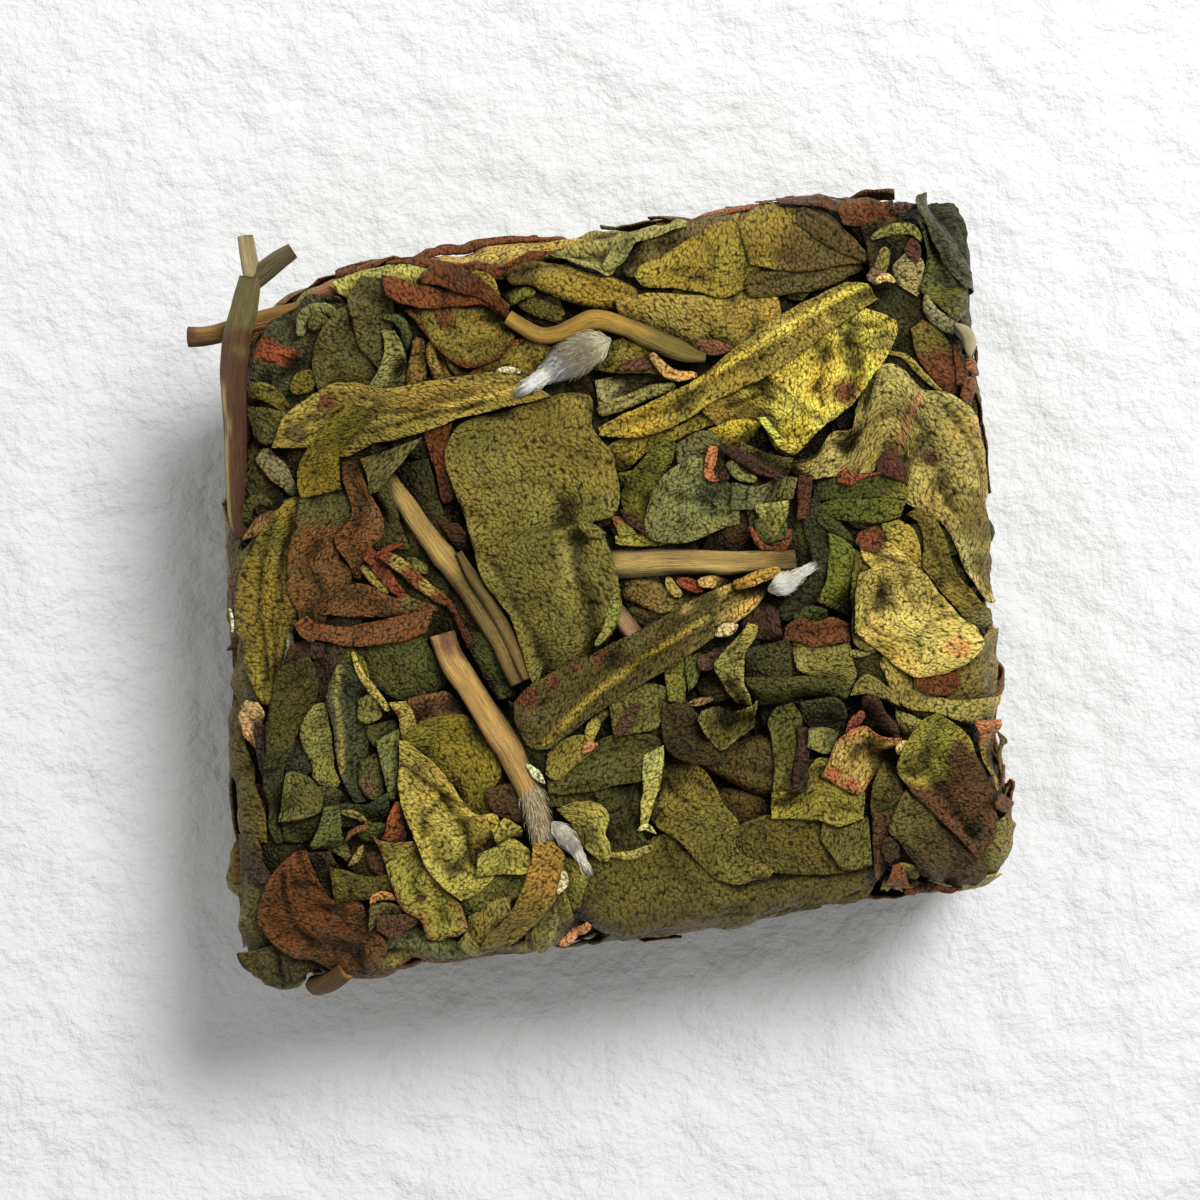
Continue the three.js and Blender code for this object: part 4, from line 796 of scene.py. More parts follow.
# ---- Leaves of the edge -----------------------------------------------------------------------
# The first leaves that show are those that the mould folded over the top's edge. A row gives a
# piece's form, its middle line with half widths or else its two edges, its level, its colour, and
# what is special about it.
EDGE_PIECES = [
    ("left_edge_fold", "leaf", [(-24.2, 14.6), (-24.5, 11), (-24.9, 8), (-25, 5), (-24.7, 3), (-24.6, 1),
     (-24.7, -1)], [(-23.4, 14.8), (-23.2, 11), (-23.2, 8), (-23.2, 5), (-23.2, 3), (-23.5, 1),
     (-23.5, -1)],
     0, (88, 83, 42)),
    ("left_small_leaf", "leaf", [(-23.8, 3.1), (-22.8, 3.4), (-22, 4.3), (-21.2, 5.2)], [(-23.6, 3.8),
     (-22.9, 4.7), (-22, 5.5), (-21.4, 5.9)], 0, (92, 92, 58)),
    ("left_tan_twist", "leaf", [(-22.6, 5.4), (-21.6, 5.7), (-20.6, 6.2)], [(-22.4, 6.2), (-21.4, 7),
     (-20.4, 7.2)], -0.2, (126, 100, 66)),
    ("left_ring", "roll", [(-22.6, 6.4), (-22.3, 7.5), (-21.5, 7.9), (-20.8, 7.4)], [0.2, 0.34, 0.34, 0.2],
     -0.2, (74, 76, 42)),
    ("left_edge_bulge", "leaf", [(-24.3, 3.2), (-24.6, 0.6), (-25, -1.4), (-25.1, -2.8), (-24.6, -4.2),
     (-23.9, -5.2)], [(-22.9, 3.4), (-23.3, 1.6), (-23.2, -0.6), (-23, -2.4), (-22.5, -4), (-22.1, -4.8)],
     0.2, (102, 88, 50), {"root": ((110, 78, 54), 0.28), "curl": -0.5}),
    ("left_edge_lobe", "leaf", [(-24.4, -6.2), (-25.2, -7.4), (-25.4, -9), (-25.4, -10.6), (-25.1, -12.2),
     (-24.4, -13.4)], [(-23.7, -6.3), (-24, -7.6), (-23.6, -9.4), (-23.1, -11), (-22.8, -12.4),
     (-22.8, -13.6)], 0.4, (92, 84, 43), {"curl": -0.5}),
    ("left_low_leaf", "leaf", [(-24.4, -13), (-24.8, -14.6), (-25, -16.6), (-25.2, -18), (-25.4, -19.4),
     (-25.2, -20.8), (-24.5, -22)], [(-23.2, -13), (-23.2, -14.6), (-23.2, -16.4), (-23.4, -18),
     (-23.4, -19.4), (-23.1, -20.6), (-22.8, -21.6)], 0.4, (84, 80, 46), {"patches": [((-24.7, -18.2), 0.5,
     (134, 124, 92))]}),
    ("left_plum_bits", "leaf", [(-24.2, -14.2), (-23.5, -15.1), (-22.8, -16)], [0.35, 0.5, 0.35], 0.2,
     (66, 52, 46)),
    ("front_left_lobe", "leaf", [(-24.8, -20.4), (-24.4, -21.8), (-24, -22.8), (-23.5, -23.6),
     (-22.8, -23.7)], [(-22.4, -20), (-22.2, -21), (-21.8, -22), (-21.7, -22.9), (-22.1, -23.4)], 0.8,
     (76, 74, 44), {"curl": -0.8, "folds": 0.4}),
    ("front_left_shade", "leaf", [(-22.4, -22), (-21, -22.1), (-19.6, -22), (-18.4, -22.3)], [(-22.4, -20.2),
     (-21, -20.6), (-19.6, -21), (-18.4, -21.5)], 0, (66, 60, 34)),
    ("front_left_sheet", "leaf", [(-17, -22.2), (-15, -22.2), (-12.5, -22.3), (-10, -22.3), (-7.6, -22.1),
     (-5.6, -22.2)], [(-16.8, -21), (-15, -20.9), (-13, -21), (-11, -21.4), (-8.6, -21.1), (-5.6, -20.9)],
     0.2, (126, 120, 68), {"edge": (108, 70, 46), "creases": [[(-15.4, -21.1), (-13, -21.2), (-11.5, -21.8),
     (-9, -21.6)]]}),
    ("front_left_strip", "leaf", [(-16.6, -21.1), (-14.6, -21), (-12.6, -21.3), (-10.6, -21.8), (-8, -21.4)],
     [(-16, -19.8), (-14.6, -19.6), (-12.8, -19.8), (-11, -20.6), (-8, -20.6)], 0.1, (98, 102, 64)),
    ("front_sheet", "leaf", [(-4.4, -21.6), (-2, -21.9), (1, -21.8), (4, -22), (7, -22), (10, -21.6),
     (13, -21.1), (15.8, -20.4)], [(-4, -17), (-2.8, -16), (-0.6, -15.8), (2, -15), (5, -15.2),
     (8.4, -14.6),
     (11, -14.2), (13.4, -15), (15.2, -15)], 0.2, (94, 86, 39), {"hold": 0.8, "folds": 0.14,
     "size": (5, 2.4),
     "creases": [[(1.9, -15.3), (2.3, -16.7), (3.3, -18), (4.4, -19.2), (5.3, -19.7), (7, -20)],
     [(3, -19.6),
     (5, -20.2), (7, -20.5)], [(8, -18.2), (11, -18.3), (15, -18)], [(8, -21.2), (11, -20.7), (14, -20)]]}),
    ("front_upper_fold", "leaf", [(6.4, -17), (8.4, -17.8), (11, -18.2), (13, -18.2), (15, -18)],
     [(6.4, -14.8), (8.6, -14.3), (10.4, -14.4), (12, -14.6), (15, -14.8)], 0, (88, 80, 38)),
    ("folded_square", "leaf", [(11.7, -16), (12.6, -17.4), (13.2, -18), (14.9, -17.9)], [(12.1, -14.7),
     (12.9, -15.3), (13.6, -15.4), (14.9, -14.9)], 0.2, (104, 96, 52)),
    ("low_yellow_leaf", "leaf", [(8.8, -14.5), (10.5, -14.7), (12, -14.9), (13, -15.3), (14.6, -14.9)],
     [(9, -12.8), (10.6, -12.6), (12, -11), (13.6, -11.6), (14.8, -13.4)], -1.1, (126, 120, 56),
     {"folds": 0.5, "size": (1.8, 1)}),
    ("right_front_edge", "leaf", [(15.8, -20.7), (17.4, -21.4), (19, -21.9), (21, -22), (22.6, -21.5),
     (23.8, -20.7)], [(15.8, -19.8), (17.4, -20.2), (19, -20.4), (21, -20.6), (22.6, -20.6), (23.6, -20)],
     0.2, (148, 138, 80)),
    ("right_low_edge", "leaf", [(22.4, -16), (22, -17.4), (22.4, -18.6), (22.9, -19.6), (23.3, -20.5)],
     [(23.6, -15.6), (24.9, -16.9), (24.9, -18.4), (24.5, -19.6), (24.2, -20.5)], 0.3, (124, 114, 60),
     {"creases": [[(22.3, -17.2), (23.2, -18.4), (23.2, -19.6)]]}),
    ("right_low_olive", "leaf", [(21.3, -17.6), (21.6, -18.6), (22.2, -19.4)], [(22.5, -17.2), (23.1, -18.4),
     (23.2, -19.3)], 0.1, (114, 108, 56)),
    ("right_low_bright", "leaf", [(20.6, -21), (22, -21.1), (23.5, -20.8)], [(20.8, -19.4), (22, -19.1),
     (23.8, -19.8)], 0.3, (154, 152, 86)),
    ("right_edge_fold_low", "leaf", [(23.2, -2.6), (23.3, -5), (23.3, -7.4), (22.8, -9.8)], [(24.4, -2.6),
     (24.5, -5), (24.6, -7.4), (24.2, -9.8)], 0, (110, 98, 46)),
    ("right_edge_fold_high", "leaf", [(23.2, 6), (23.4, 2.6), (23.3, -1), (23.2, -2.8)], [(24.9, 6),
     (24.8, 2.6), (24.6, -1), (24.4, -2.8)], 0, (108, 96, 44)),
    ("back_edge_leaf", "leaf", [(-16.2, 21), (-14, 21.7), (-12.5, 22), (-10.5, 21.7), (-8.5, 21.4), (-6, 21),
     (-4, 21.3), (-2, 21.8), (0.8, 22.5), (4, 22.6), (8, 22.2), (11, 22.6)], [(-16, 22.5), (-14.4, 22.9),
     (-12, 23.4), (-9, 23.9), (-6, 24.2), (-2, 24.1), (3, 24), (8, 24), (12, 23.7)], 0, (162, 145, 84),
     {"edge": (128, 74, 46), "folds": 0.16}),
]


def lay_pieces(rows):
    """The rows' pieces laid one after another, gathered by what they are made of."""
    heap = {"leaf": [], "stem": [], "bud": []}
    for row in rows:
        if row[1] in ("stem", "bud"):
            heap[row[1]].append(lay_stem(row, top_bed))
        else:
            heap["leaf"].append(lay_blade(row, top_bed))
    return heap


edge_heap = lay_pieces(EDGE_PIECES)
add_piece("edge_leaves", edge_heap["leaf"], LEAF_SKIN)


# ---- Leaves and stub of the back --------------------------------------------------------------
# Behind the middle lie broad folded leaves with red-brown edges, where the leaf was bruised and
# browned in the making, and a cut stub of stem at the clipped corner.
STEM_STEP = 0.22
STEM_SIDES = 16
CUT_END = [(0.35, 0.10), (0.8, 0.03), (0.97, 0.0)]
PITH = (222, 200, 146)
BARK_MOTTLE = {"size": 1.3, "strength": 0.6}
BARK_LIGHT = {"base": -0.23, "fibre": 1.6, "strand": 0.7, "least": 0.15}
BARK_RELIEF = {"fibre": 0.2, "strand": 0.3, "uneven": 0.12}
BACK_PIECES = [
    ("corner_stub", "stem", [(-18.5, 20.9), (-15.6, 21.3)], [0.72, 0.72], -0.9, (170, 114, 80)),
    ("pale_flap", "leaf", [(-16.1, 20.9), (-14.4, 21.9), (-12.5, 22.3), (-10.8, 21.9), (-9.6, 21.3)],
     [(-15.6, 20.4), (-14.2, 19.9), (-12.5, 20.2), (-11, 20.3), (-9.6, 20.3)], -0.2, (164, 160, 88)),
    ("back_edge_rim_low", "roll", [(-12.8, 22.6), (-10.5, 22), (-8.8, 21.6), (-7, 21.3), (-5.3, 21.1),
     (-4.2, 21.6), (-3, 22.1), (-1.2, 22.3), (0.3, 22.7)], [0.2, 0.28, 0.3, 0.32, 0.36, 0.34, 0.32, 0.28,
     0.15], -0.2, (112, 62, 38)),
    ("back_edge_rim", "roll", [(-16.2, 22.3), (-14.6, 22.9), (-12.4, 23.4), (-9.5, 23.9), (-6.3, 24.2),
     (-3, 24.1)], [0.5, 0.5, 0.4, 0.32, 0.3, 0.15], -0.1, (118, 68, 44)),
    ("back_orange_rim", "leaf", [(6.3, 23.5), (8.6, 23.6), (11, 23.4)], [0.15, 0.4, 0.3], 0, (168, 96, 56)),
    ("deep_strip", "leaf", [(-4.4, 19), (-3, 18.4), (-1.6, 17.7)], [0.4, 0.5, 0.4], -1.4, (80, 76, 34)),
    ("back_green_bit", "leaf", [(-5.9, 20), (-4.8, 20.1), (-3.7, 19.9), (-3.2, 19.5)], [(-5.6, 19),
     (-4.8, 18.7), (-4.2, 19), (-3.4, 19.2)], -0.8, (100, 104, 44)),
    ("yellow_back_bit", "leaf", [(-7.2, 20.9), (-6.2, 20.1), (-5.6, 19.2)], [0.3, 0.5, 0.2], -0.5,
     (150, 136, 62)),
    ("olive_roll", "roll", [(-5, 20.5), (-3.2, 20.7), (-1.2, 19.9), (0.8, 19.1), (3, 18.4)], [0.5, 0.85, 1,
     0.95, 0.6], -0.6, (142, 122, 52), {"root": ((96, 76, 30), 0.14), "folds": 0.4}),
    ("grey_brown_wing", "leaf", [(2.2, 20.9), (3, 21.7), (4.5, 22.4), (6.5, 22.7), (9.4, 22.8)],
     [(2.5, 19.9), (3.6, 19.9), (4.6, 20.5), (6.4, 21), (9.2, 21.8)], -0.4, (104, 94, 58)),
    ("sage_wrinkled_leaf", "leaf", [(-2.6, 22), (-0.8, 22.5), (1.5, 23), (4, 23.1), (6.6, 22.6)],
     [(-2.2, 21.6), (-0.9, 21), (0.6, 20.4), (1.5, 20.1), (2.6, 21.5), (3.9, 22), (6.4, 22.4)], -0.1,
     (144, 142, 88), {"folds": 0.42, "size": (1.5, 1.1)}),
    ("sage_fold", "roll", [(1.1, 20.4), (2, 21.2), (3.2, 22)], [0.25, 0.45, 0.2], 0, (120, 122, 76)),
    ("tan_olive_leaf", "leaf", [(1.6, 18.5), (4, 18.7), (6.5, 18.5), (8.3, 18.2), (10, 18.4), (11.8, 17.9)],
     [(1.8, 17.5), (3.2, 16.8), (4.6, 15.9), (6.4, 15.1), (9, 15), (12, 16.4)], -0.3, (152, 134, 68),
     {"folds": 0.3, "size": (1.2, 3.2)}),
    ("purple_patch", "leaf", [(6.2, 15.4), (7.4, 15.1), (8.8, 15)], [0.25, 0.42, 0.15], 0, (128, 86, 68)),
    ("back_lens_leaf", "leaf", [(3.4, 20.4), (5.5, 21.2), (7, 21.8), (8.8, 22.4), (10.6, 22.1), (11.6, 21)],
     [(2.9, 19.9), (3.6, 19.2), (5.5, 18.9), (7.5, 18.4), (8.7, 18.2), (11.4, 19.2)], -0.1, (140, 124, 54),
     {"curl": -0.8, "folds": 0.2}),
    ("grey_brown_roll", "roll", [(9.8, 18.6), (12, 18.9), (14.6, 19.2), (17.4, 19.9)], [0.6, 0.85, 0.85,
     0.5], -0.3, (100, 86, 52)),
    ("grey_brown_fold", "leaf", [(9.6, 22.4), (11.6, 23.3), (13.6, 23.4), (15.6, 22.4), (16.8, 21.2),
     (17.8, 19.8)], [(10.2, 20), (12, 19.5), (13.8, 19.3), (15.4, 19.5), (16.6, 19.6), (17.6, 19.6)], -0.1,
     (96, 82, 50), {"root": ((132, 118, 56), 0.3), "curl": -0.9, "size": (4.5, 1.1)}),
    ("grey_brown_top_fold", "roll", [(13.4, 22.6), (14.9, 21.7), (16.3, 20.6), (17.6, 19.8)], [0.5, 0.6, 0.5,
     0.3], 0, (84, 72, 46)),
    ("back_flap_high", "leaf", [(11, 23.7), (12.8, 24.5), (14.8, 24.9), (16.9, 24.3)], [(11.2, 23.2),
     (13, 23.7), (14.8, 23.9), (17, 23.7)], 0.2, (124, 80, 50)),
    ("back_flap_low", "leaf", [(12.3, 23.4), (14.4, 23.3), (16.2, 22.9)], [0.3, 0.42, 0.3], 0.1,
     (104, 62, 42)),
    ("back_bits", "leaf", [(15.9, 22.7), (17.2, 23.4), (19.4, 23)], [(16.2, 21.9), (17.6, 21.9),
     (19.5, 21.6)], 0.1, (118, 70, 46)),
    ("back_bits_shade", "leaf", [(17.3, 21.6), (18.8, 21.5), (20.2, 20.8)], [0.35, 0.5, 0.3], -0.2,
     (74, 64, 44)),
    ("grey_curl", "leaf", [(-21, 11.2), (-22, 12.5), (-22.1, 14.5), (-21.7, 16.8), (-20.6, 18.4),
     (-19, 19.7), (-17.5, 20.5), (-15.6, 20.3)], [(-17.8, 11.4), (-17.9, 12.8), (-17.8, 14), (-17, 15.2),
     (-16.6, 16.6), (-16, 18), (-15.3, 19), (-14.8, 19.5)], -0.5, (74, 74, 52), {"patches": [((-20.3, 17.2),
     1, (158, 78, 50)), ((-19.2, 16.7), 0.7, (158, 78, 50))], "folds": 0.4, "size": (2.2, 1.2)}),
    ("grey_ring", "roll", [(-18.1, 17.8), (-17.9, 18.9), (-17.1, 19.4), (-16.1, 19.2), (-15.8, 18.4)], [0.25,
     0.3, 0.3, 0.3, 0.2], 0, (118, 118, 76)),
    ("grey_ring_inner", "roll", [(-17.4, 18.1), (-16.8, 18.7), (-16.4, 18)], [0.25, 0.35, 0.2], -0.1,
     (88, 88, 54)),
    ("olive_folds", "leaf", [(-22, 14.6), (-20.4, 14.5), (-19.2, 13.1)], [0.35, 0.5, 0.3], -0.2,
     (106, 96, 40)),
    ("olive_low_fold", "leaf", [(-22, 13.8), (-20.5, 13.5), (-19.2, 13)], [(-21.8, 12), (-20.9, 11.3),
     (-19.4, 11.7)], -0.2, (94, 92, 48)),
    ("yellow_left_bit", "leaf", [(-18.9, 14.4), (-18, 15), (-17.3, 15.4)], [0.3, 0.6, 0.3], -0.3,
     (96, 88, 34)),
    ("dark_fold_lobe", "leaf", [(-14.9, 19.6), (-16.4, 18.4), (-17.3, 17), (-17.5, 15.4), (-17.1, 13.8)],
     [(-13.9, 19), (-13.6, 17.4), (-13.4, 16), (-13.4, 15), (-14.2, 14)], -0.1, (86, 84, 50),
     {"curl": -0.5}),
    ("dark_fold", "leaf", [(-14.1, 21.2), (-14.9, 20), (-14.8, 18.4), (-14.4, 16.8), (-13.5, 15.4)],
     [(-12.4, 21), (-12.2, 19.4), (-12.4, 17.8), (-12.8, 16.4), (-13.2, 15.6)], 0.1, (84, 80, 48),
     {"side": ((86, 60, 50), 0.35), "curl": -0.7}),
    ("small_green_curl", "roll", [(-12.9, 18.6), (-12, 18.4), (-11.6, 17.4), (-11.9, 16.4)], [0.2, 0.32,
     0.35, 0.3], -0.4, (90, 98, 62)),
    ("light_fold", "leaf", [(-13, 17.8), (-12.9, 16.4), (-13.4, 15.3), (-14.3, 14.2)], [(-12.2, 17.7),
     (-11.7, 16.4), (-11.6, 15.2), (-11.8, 14)], -0.2, (122, 122, 74)),
    ("brown_twist_a", "roll", [(-10.7, 17.2), (-10.9, 15.7), (-11.3, 14)], [0.35, 0.5, 0.5], -0.6,
     (112, 88, 46)),
    ("brown_twist_b", "roll", [(-9.8, 17), (-9.7, 15.6), (-9.3, 14)], [0.4, 0.6, 0.6], -0.5, (134, 112, 58)),
    ("brown_twist_c", "leaf", [(-8.9, 16.2), (-8.3, 15.2), (-7.6, 14.2)], [0.4, 0.6, 0.6], -0.6,
     (96, 80, 42)),
    ("behind_bud_leaf", "leaf", [(-8.4, 14.4), (-7, 15.2), (-5.4, 16.3), (-4.2, 16.6), (-3, 16.3),
     (-2.2, 15.3)], [(-8, 13.6), (-6.2, 13.4), (-4.8, 13), (-4, 13), (-3, 14), (-2.4, 14.8)], -0.4,
     (128, 114, 54), {"edge": (136, 66, 40)}),
    ("red_edged_leaf", "leaf", [(-11.6, 19), (-9.5, 19), (-7.5, 19.1), (-6, 19), (-5.1, 17.9), (-4.7, 16.9)],
     [(-11.2, 18.6), (-10.1, 17), (-8.9, 15.6), (-7.5, 15), (-6, 15.4), (-4.9, 16.4)], -0.1, (118, 106, 48),
     {"edge": (110, 62, 34), "patches": [((-9, 18.4), 0.9, (112, 68, 38))]}),
    ("red_fold_long", "leaf", [(-12.8, 21), (-11.5, 20.8), (-10, 20.4), (-8, 20.1), (-6.6, 19.7),
     (-5.1, 18.4)], [(-12.6, 20), (-11.4, 19.2), (-10, 18.9), (-8, 18.9), (-6.5, 18.9), (-5.3, 18)], 0.1,
     (122, 70, 42), {"curl": -0.6}),
    ("red_fold_short", "leaf", [(-10.4, 21), (-9.3, 21.5), (-8.5, 21.6), (-7.5, 21.1), (-6.6, 20.4),
     (-4.9, 18.8)], [(-10.3, 20.5), (-9, 20.1), (-7.8, 19.6), (-6.8, 19.3), (-6, 18.7), (-5.1, 17.8)], 0.2,
     (110, 62, 38), {"patches": [((-7.8, 20.7), 0.6, (98, 72, 56))]}),
    ("seed_fleck", "leaf", [(-6.1, 14.6), (-5.4, 14.7), (-4.6, 14.5)], [0.15, 0.2, 0.12], 0.1,
     (196, 186, 156)),
]


def tube(line, middle, radius, gone, colour, seed, looks):
    """A closed round tube along a line of plan points and heights: rings of ribbed radius about
    each, drawn in over the last rings to a hollowed cut end. Gives points as plan and height."""
    ends = [(0, share, dip) for share, dip in CUT_END]
    others = [(len(line) - 1, share, -dip) for share, dip in reversed(CUT_END)]
    rings = np.array(ends + [(k, 1.0, 0.0) for k in range(len(line))] + others)
    at, share, dip = rings[:, 0].astype(int), rings[:, 1:2], rings[:, 2:3]
    ahead, aside = (unit[at] for unit in headings(line))
    centre = line[at] + ahead * dip * radius[at][:, None] / 0.7
    phi = np.linspace(0, 2 * math.pi, STEM_SIDES, endpoint=False)
    way = gone[at][:, None]
    ribs = noise(2.4 * np.cos(phi) + way / 7, 2.4 * np.sin(phi) + seed % 50 - way / 9, seed)
    lumps = noise(way / 1.3, 0.8 * np.cos(phi), seed + 1)
    rough = 1 + looks.get("ribbed", 0.09) * ribs + 0.05 * lumps
    ring_radius = radius[at][:, None] * share * np.where(share == 1, rough, 1)
    plan = centre[:, None] + aside[:, None] * (ring_radius * np.cos(phi))[..., None]
    height = middle[at][:, None] - ring_radius * np.sin(phi)
    colours = np.ones((*plan.shape[:2], 3)) * dried_bark(colour)
    length_share = (way / gone[-1] + 0 * phi)[..., None]
    for key, sign, base in (("root", -1, 0), ("tip", 1, 1)):
        if key in looks:
            other, reach = looks[key]
            edge = sign * (length_share - base) + reach + 0.1 * noise(way, phi, seed)[..., None]
            amount = smooth_step(edge / 0.12)
            colours = colours * (1 - amount) + dried_bark(other) * amount
    streak = 1 + 0.22 * ribs + 0.12 * noise(way / 0.9, 2 * np.cos(phi), seed + 2)
    colours = colours * streak[..., None]
    if "streak" in looks:
        other, side, first, last = looks["streak"]
        inside = smooth_step((length_share - first) / 0.06) * smooth_step((last - length_share) / 0.06)
        beside = np.cos(phi) - side + 0.22 * noise(way / 1.6, 0.5, seed + 7)
        drawn = np.exp(-(beside / 0.16) ** 2) * (np.sin(phi) < 0.2)
        amount = inside * drawn[..., None]
        colours = colours * (1 - amount) + dried_bark(other) * amount
    if not looks.get("closed"):
        colours[share[:, 0] < 0.9] = dried_bark(looks.get("pith", PITH))
    round_way = 2.2 * np.abs(phi - math.pi) + 0 * way
    places = np.stack([way + 0 * phi + seed % 311, round_way, 0 * round_way], -1)
    top = (middle + radius)[at][:, None] + 0 * phi
    anchor_plan = centre[:, None] + np.zeros((1, STEM_SIDES, 1))

    def full(field):
        rows = field.reshape(*field.shape[:2], -1)
        poles = rows.mean(1)[[0, -1]]
        return np.concatenate([poles[:1], rows.reshape(-1, rows.shape[-1]), poles[1:]])

    return {"triangles": tube_triangles(len(rings), STEM_SIDES), "colours": full(colours),
            "places": full(places), "plan": full(plan), "height": full(height)[:, 0],
            "anchor_plan": full(anchor_plan), "anchor": full(top)[:, 0]}


def lay_stem(row, bed):
    """A stem or bud as a round tube laid on the bed. It is stiff, so it lies on a much eased bed,
    and the leaves below give way to about half of its thickness."""
    name, form, line, radii, stand, colour = row[:6]
    looks = dict(row[6]) if len(row) > 6 else {}
    seed = crc32(name.encode()) % 99991
    length = even_line(line, 2)[1][-1]
    count = max(6, math.ceil(length / STEM_STEP) + 1)
    plan, gone = even_line(line, count)
    radius = spline(radii, np.linspace(0, 1, count))
    for share, bulge, wide in looks.get("nodes", ()):
        radius = radius + bulge * np.exp(-((gone / length - share) * length / wide) ** 2)
    if form == "bud":
        end = np.minimum(gone, length - gone) / (0.5 * length)
        radius = radius * np.sqrt(np.clip(1 - (1 - np.minimum(end * 1.6, 1)) ** 2, 0.04, 1))
        looks.setdefault("closed", True)
    aside = headings(plan)[1]
    beside = plan[:, None] + aside[:, None] * radius[:, None, None] * np.array([-0.7, 0, 0.7])[:, None]
    rough = bed.height(beside).max(1)
    under = eased(rough[:, None], round(1.6 / STEM_STEP))[:, 0]
    middle = under + radius * (1 - looks.get("sink", 0.55)) + stand
    part = tube(plan, middle, radius, gone, colour, seed, looks)
    across = np.linspace(-0.98, 0.98, 9)
    cover = plan[:, None] + aside[:, None] * (radius[:, None] * across)[..., None]
    bed.rise_to(cover, middle[:, None] + radius[:, None] * np.sqrt(1 - across ** 2))
    part["points"] = wrapped(part["plan"], part["height"])
    return part | {"bed": bed, "wrap": wrapped, "spine": (plan, middle, radius, gone)}


def stem_finish():
    """Dry bark: fine lengthwise fibres with dark grooves between them, coarser strands and flecks."""
    material, tree, shader, colour, place = new_material("dried_stem_bark")
    tint, relief = mottled(tree, colour, place, **BARK_MOTTLE)
    drawn = add_node(tree, "ShaderNodeMapping", {0: place, 3: (0.3, 3.6, 1.0)}).outputs[0]
    fibre = add_node(tree, "ShaderNodeTexNoise", {"Vector": drawn, "Scale": 3.2, "Detail": 5.0,
                                                  "Roughness": 0.7}, noise_dimensions="2D").outputs[0]
    strand = add_node(tree, "ShaderNodeTexNoise", {"Vector": drawn, "Scale": 0.9, "Detail": 2.0,
                                                   "Roughness": 0.5}, noise_dimensions="2D").outputs[0]
    light = weighted_sum(tree, BARK_LIGHT["base"], (fibre, BARK_LIGHT["fibre"]),
                         (strand, BARK_LIGHT["strand"]))
    light = math_node(tree, "MAXIMUM", light, BARK_LIGHT["least"])
    tree.links.new(greyed(tree, tint, light), shader.inputs["Base Color"])
    height = weighted_sum(tree, 0.0, (fibre, BARK_RELIEF["fibre"]), (strand, BARK_RELIEF["strand"]),
                          (relief, BARK_RELIEF["uneven"]))
    bump = add_node(tree, "ShaderNodeBump", {"Height": height, "Distance": MM}).outputs[0]
    tree.links.new(bump, shader.inputs["Normal"])
    shader.inputs["Roughness"].default_value = 0.6
    shader.inputs["Specular IOR Level"].default_value = 0.35
    return material


BARK = stem_finish()
back_heap = lay_pieces(BACK_PIECES)
add_piece("back_leaves", back_heap["leaf"], LEAF_SKIN)
add_piece("back_stub", back_heap["stem"], BARK)


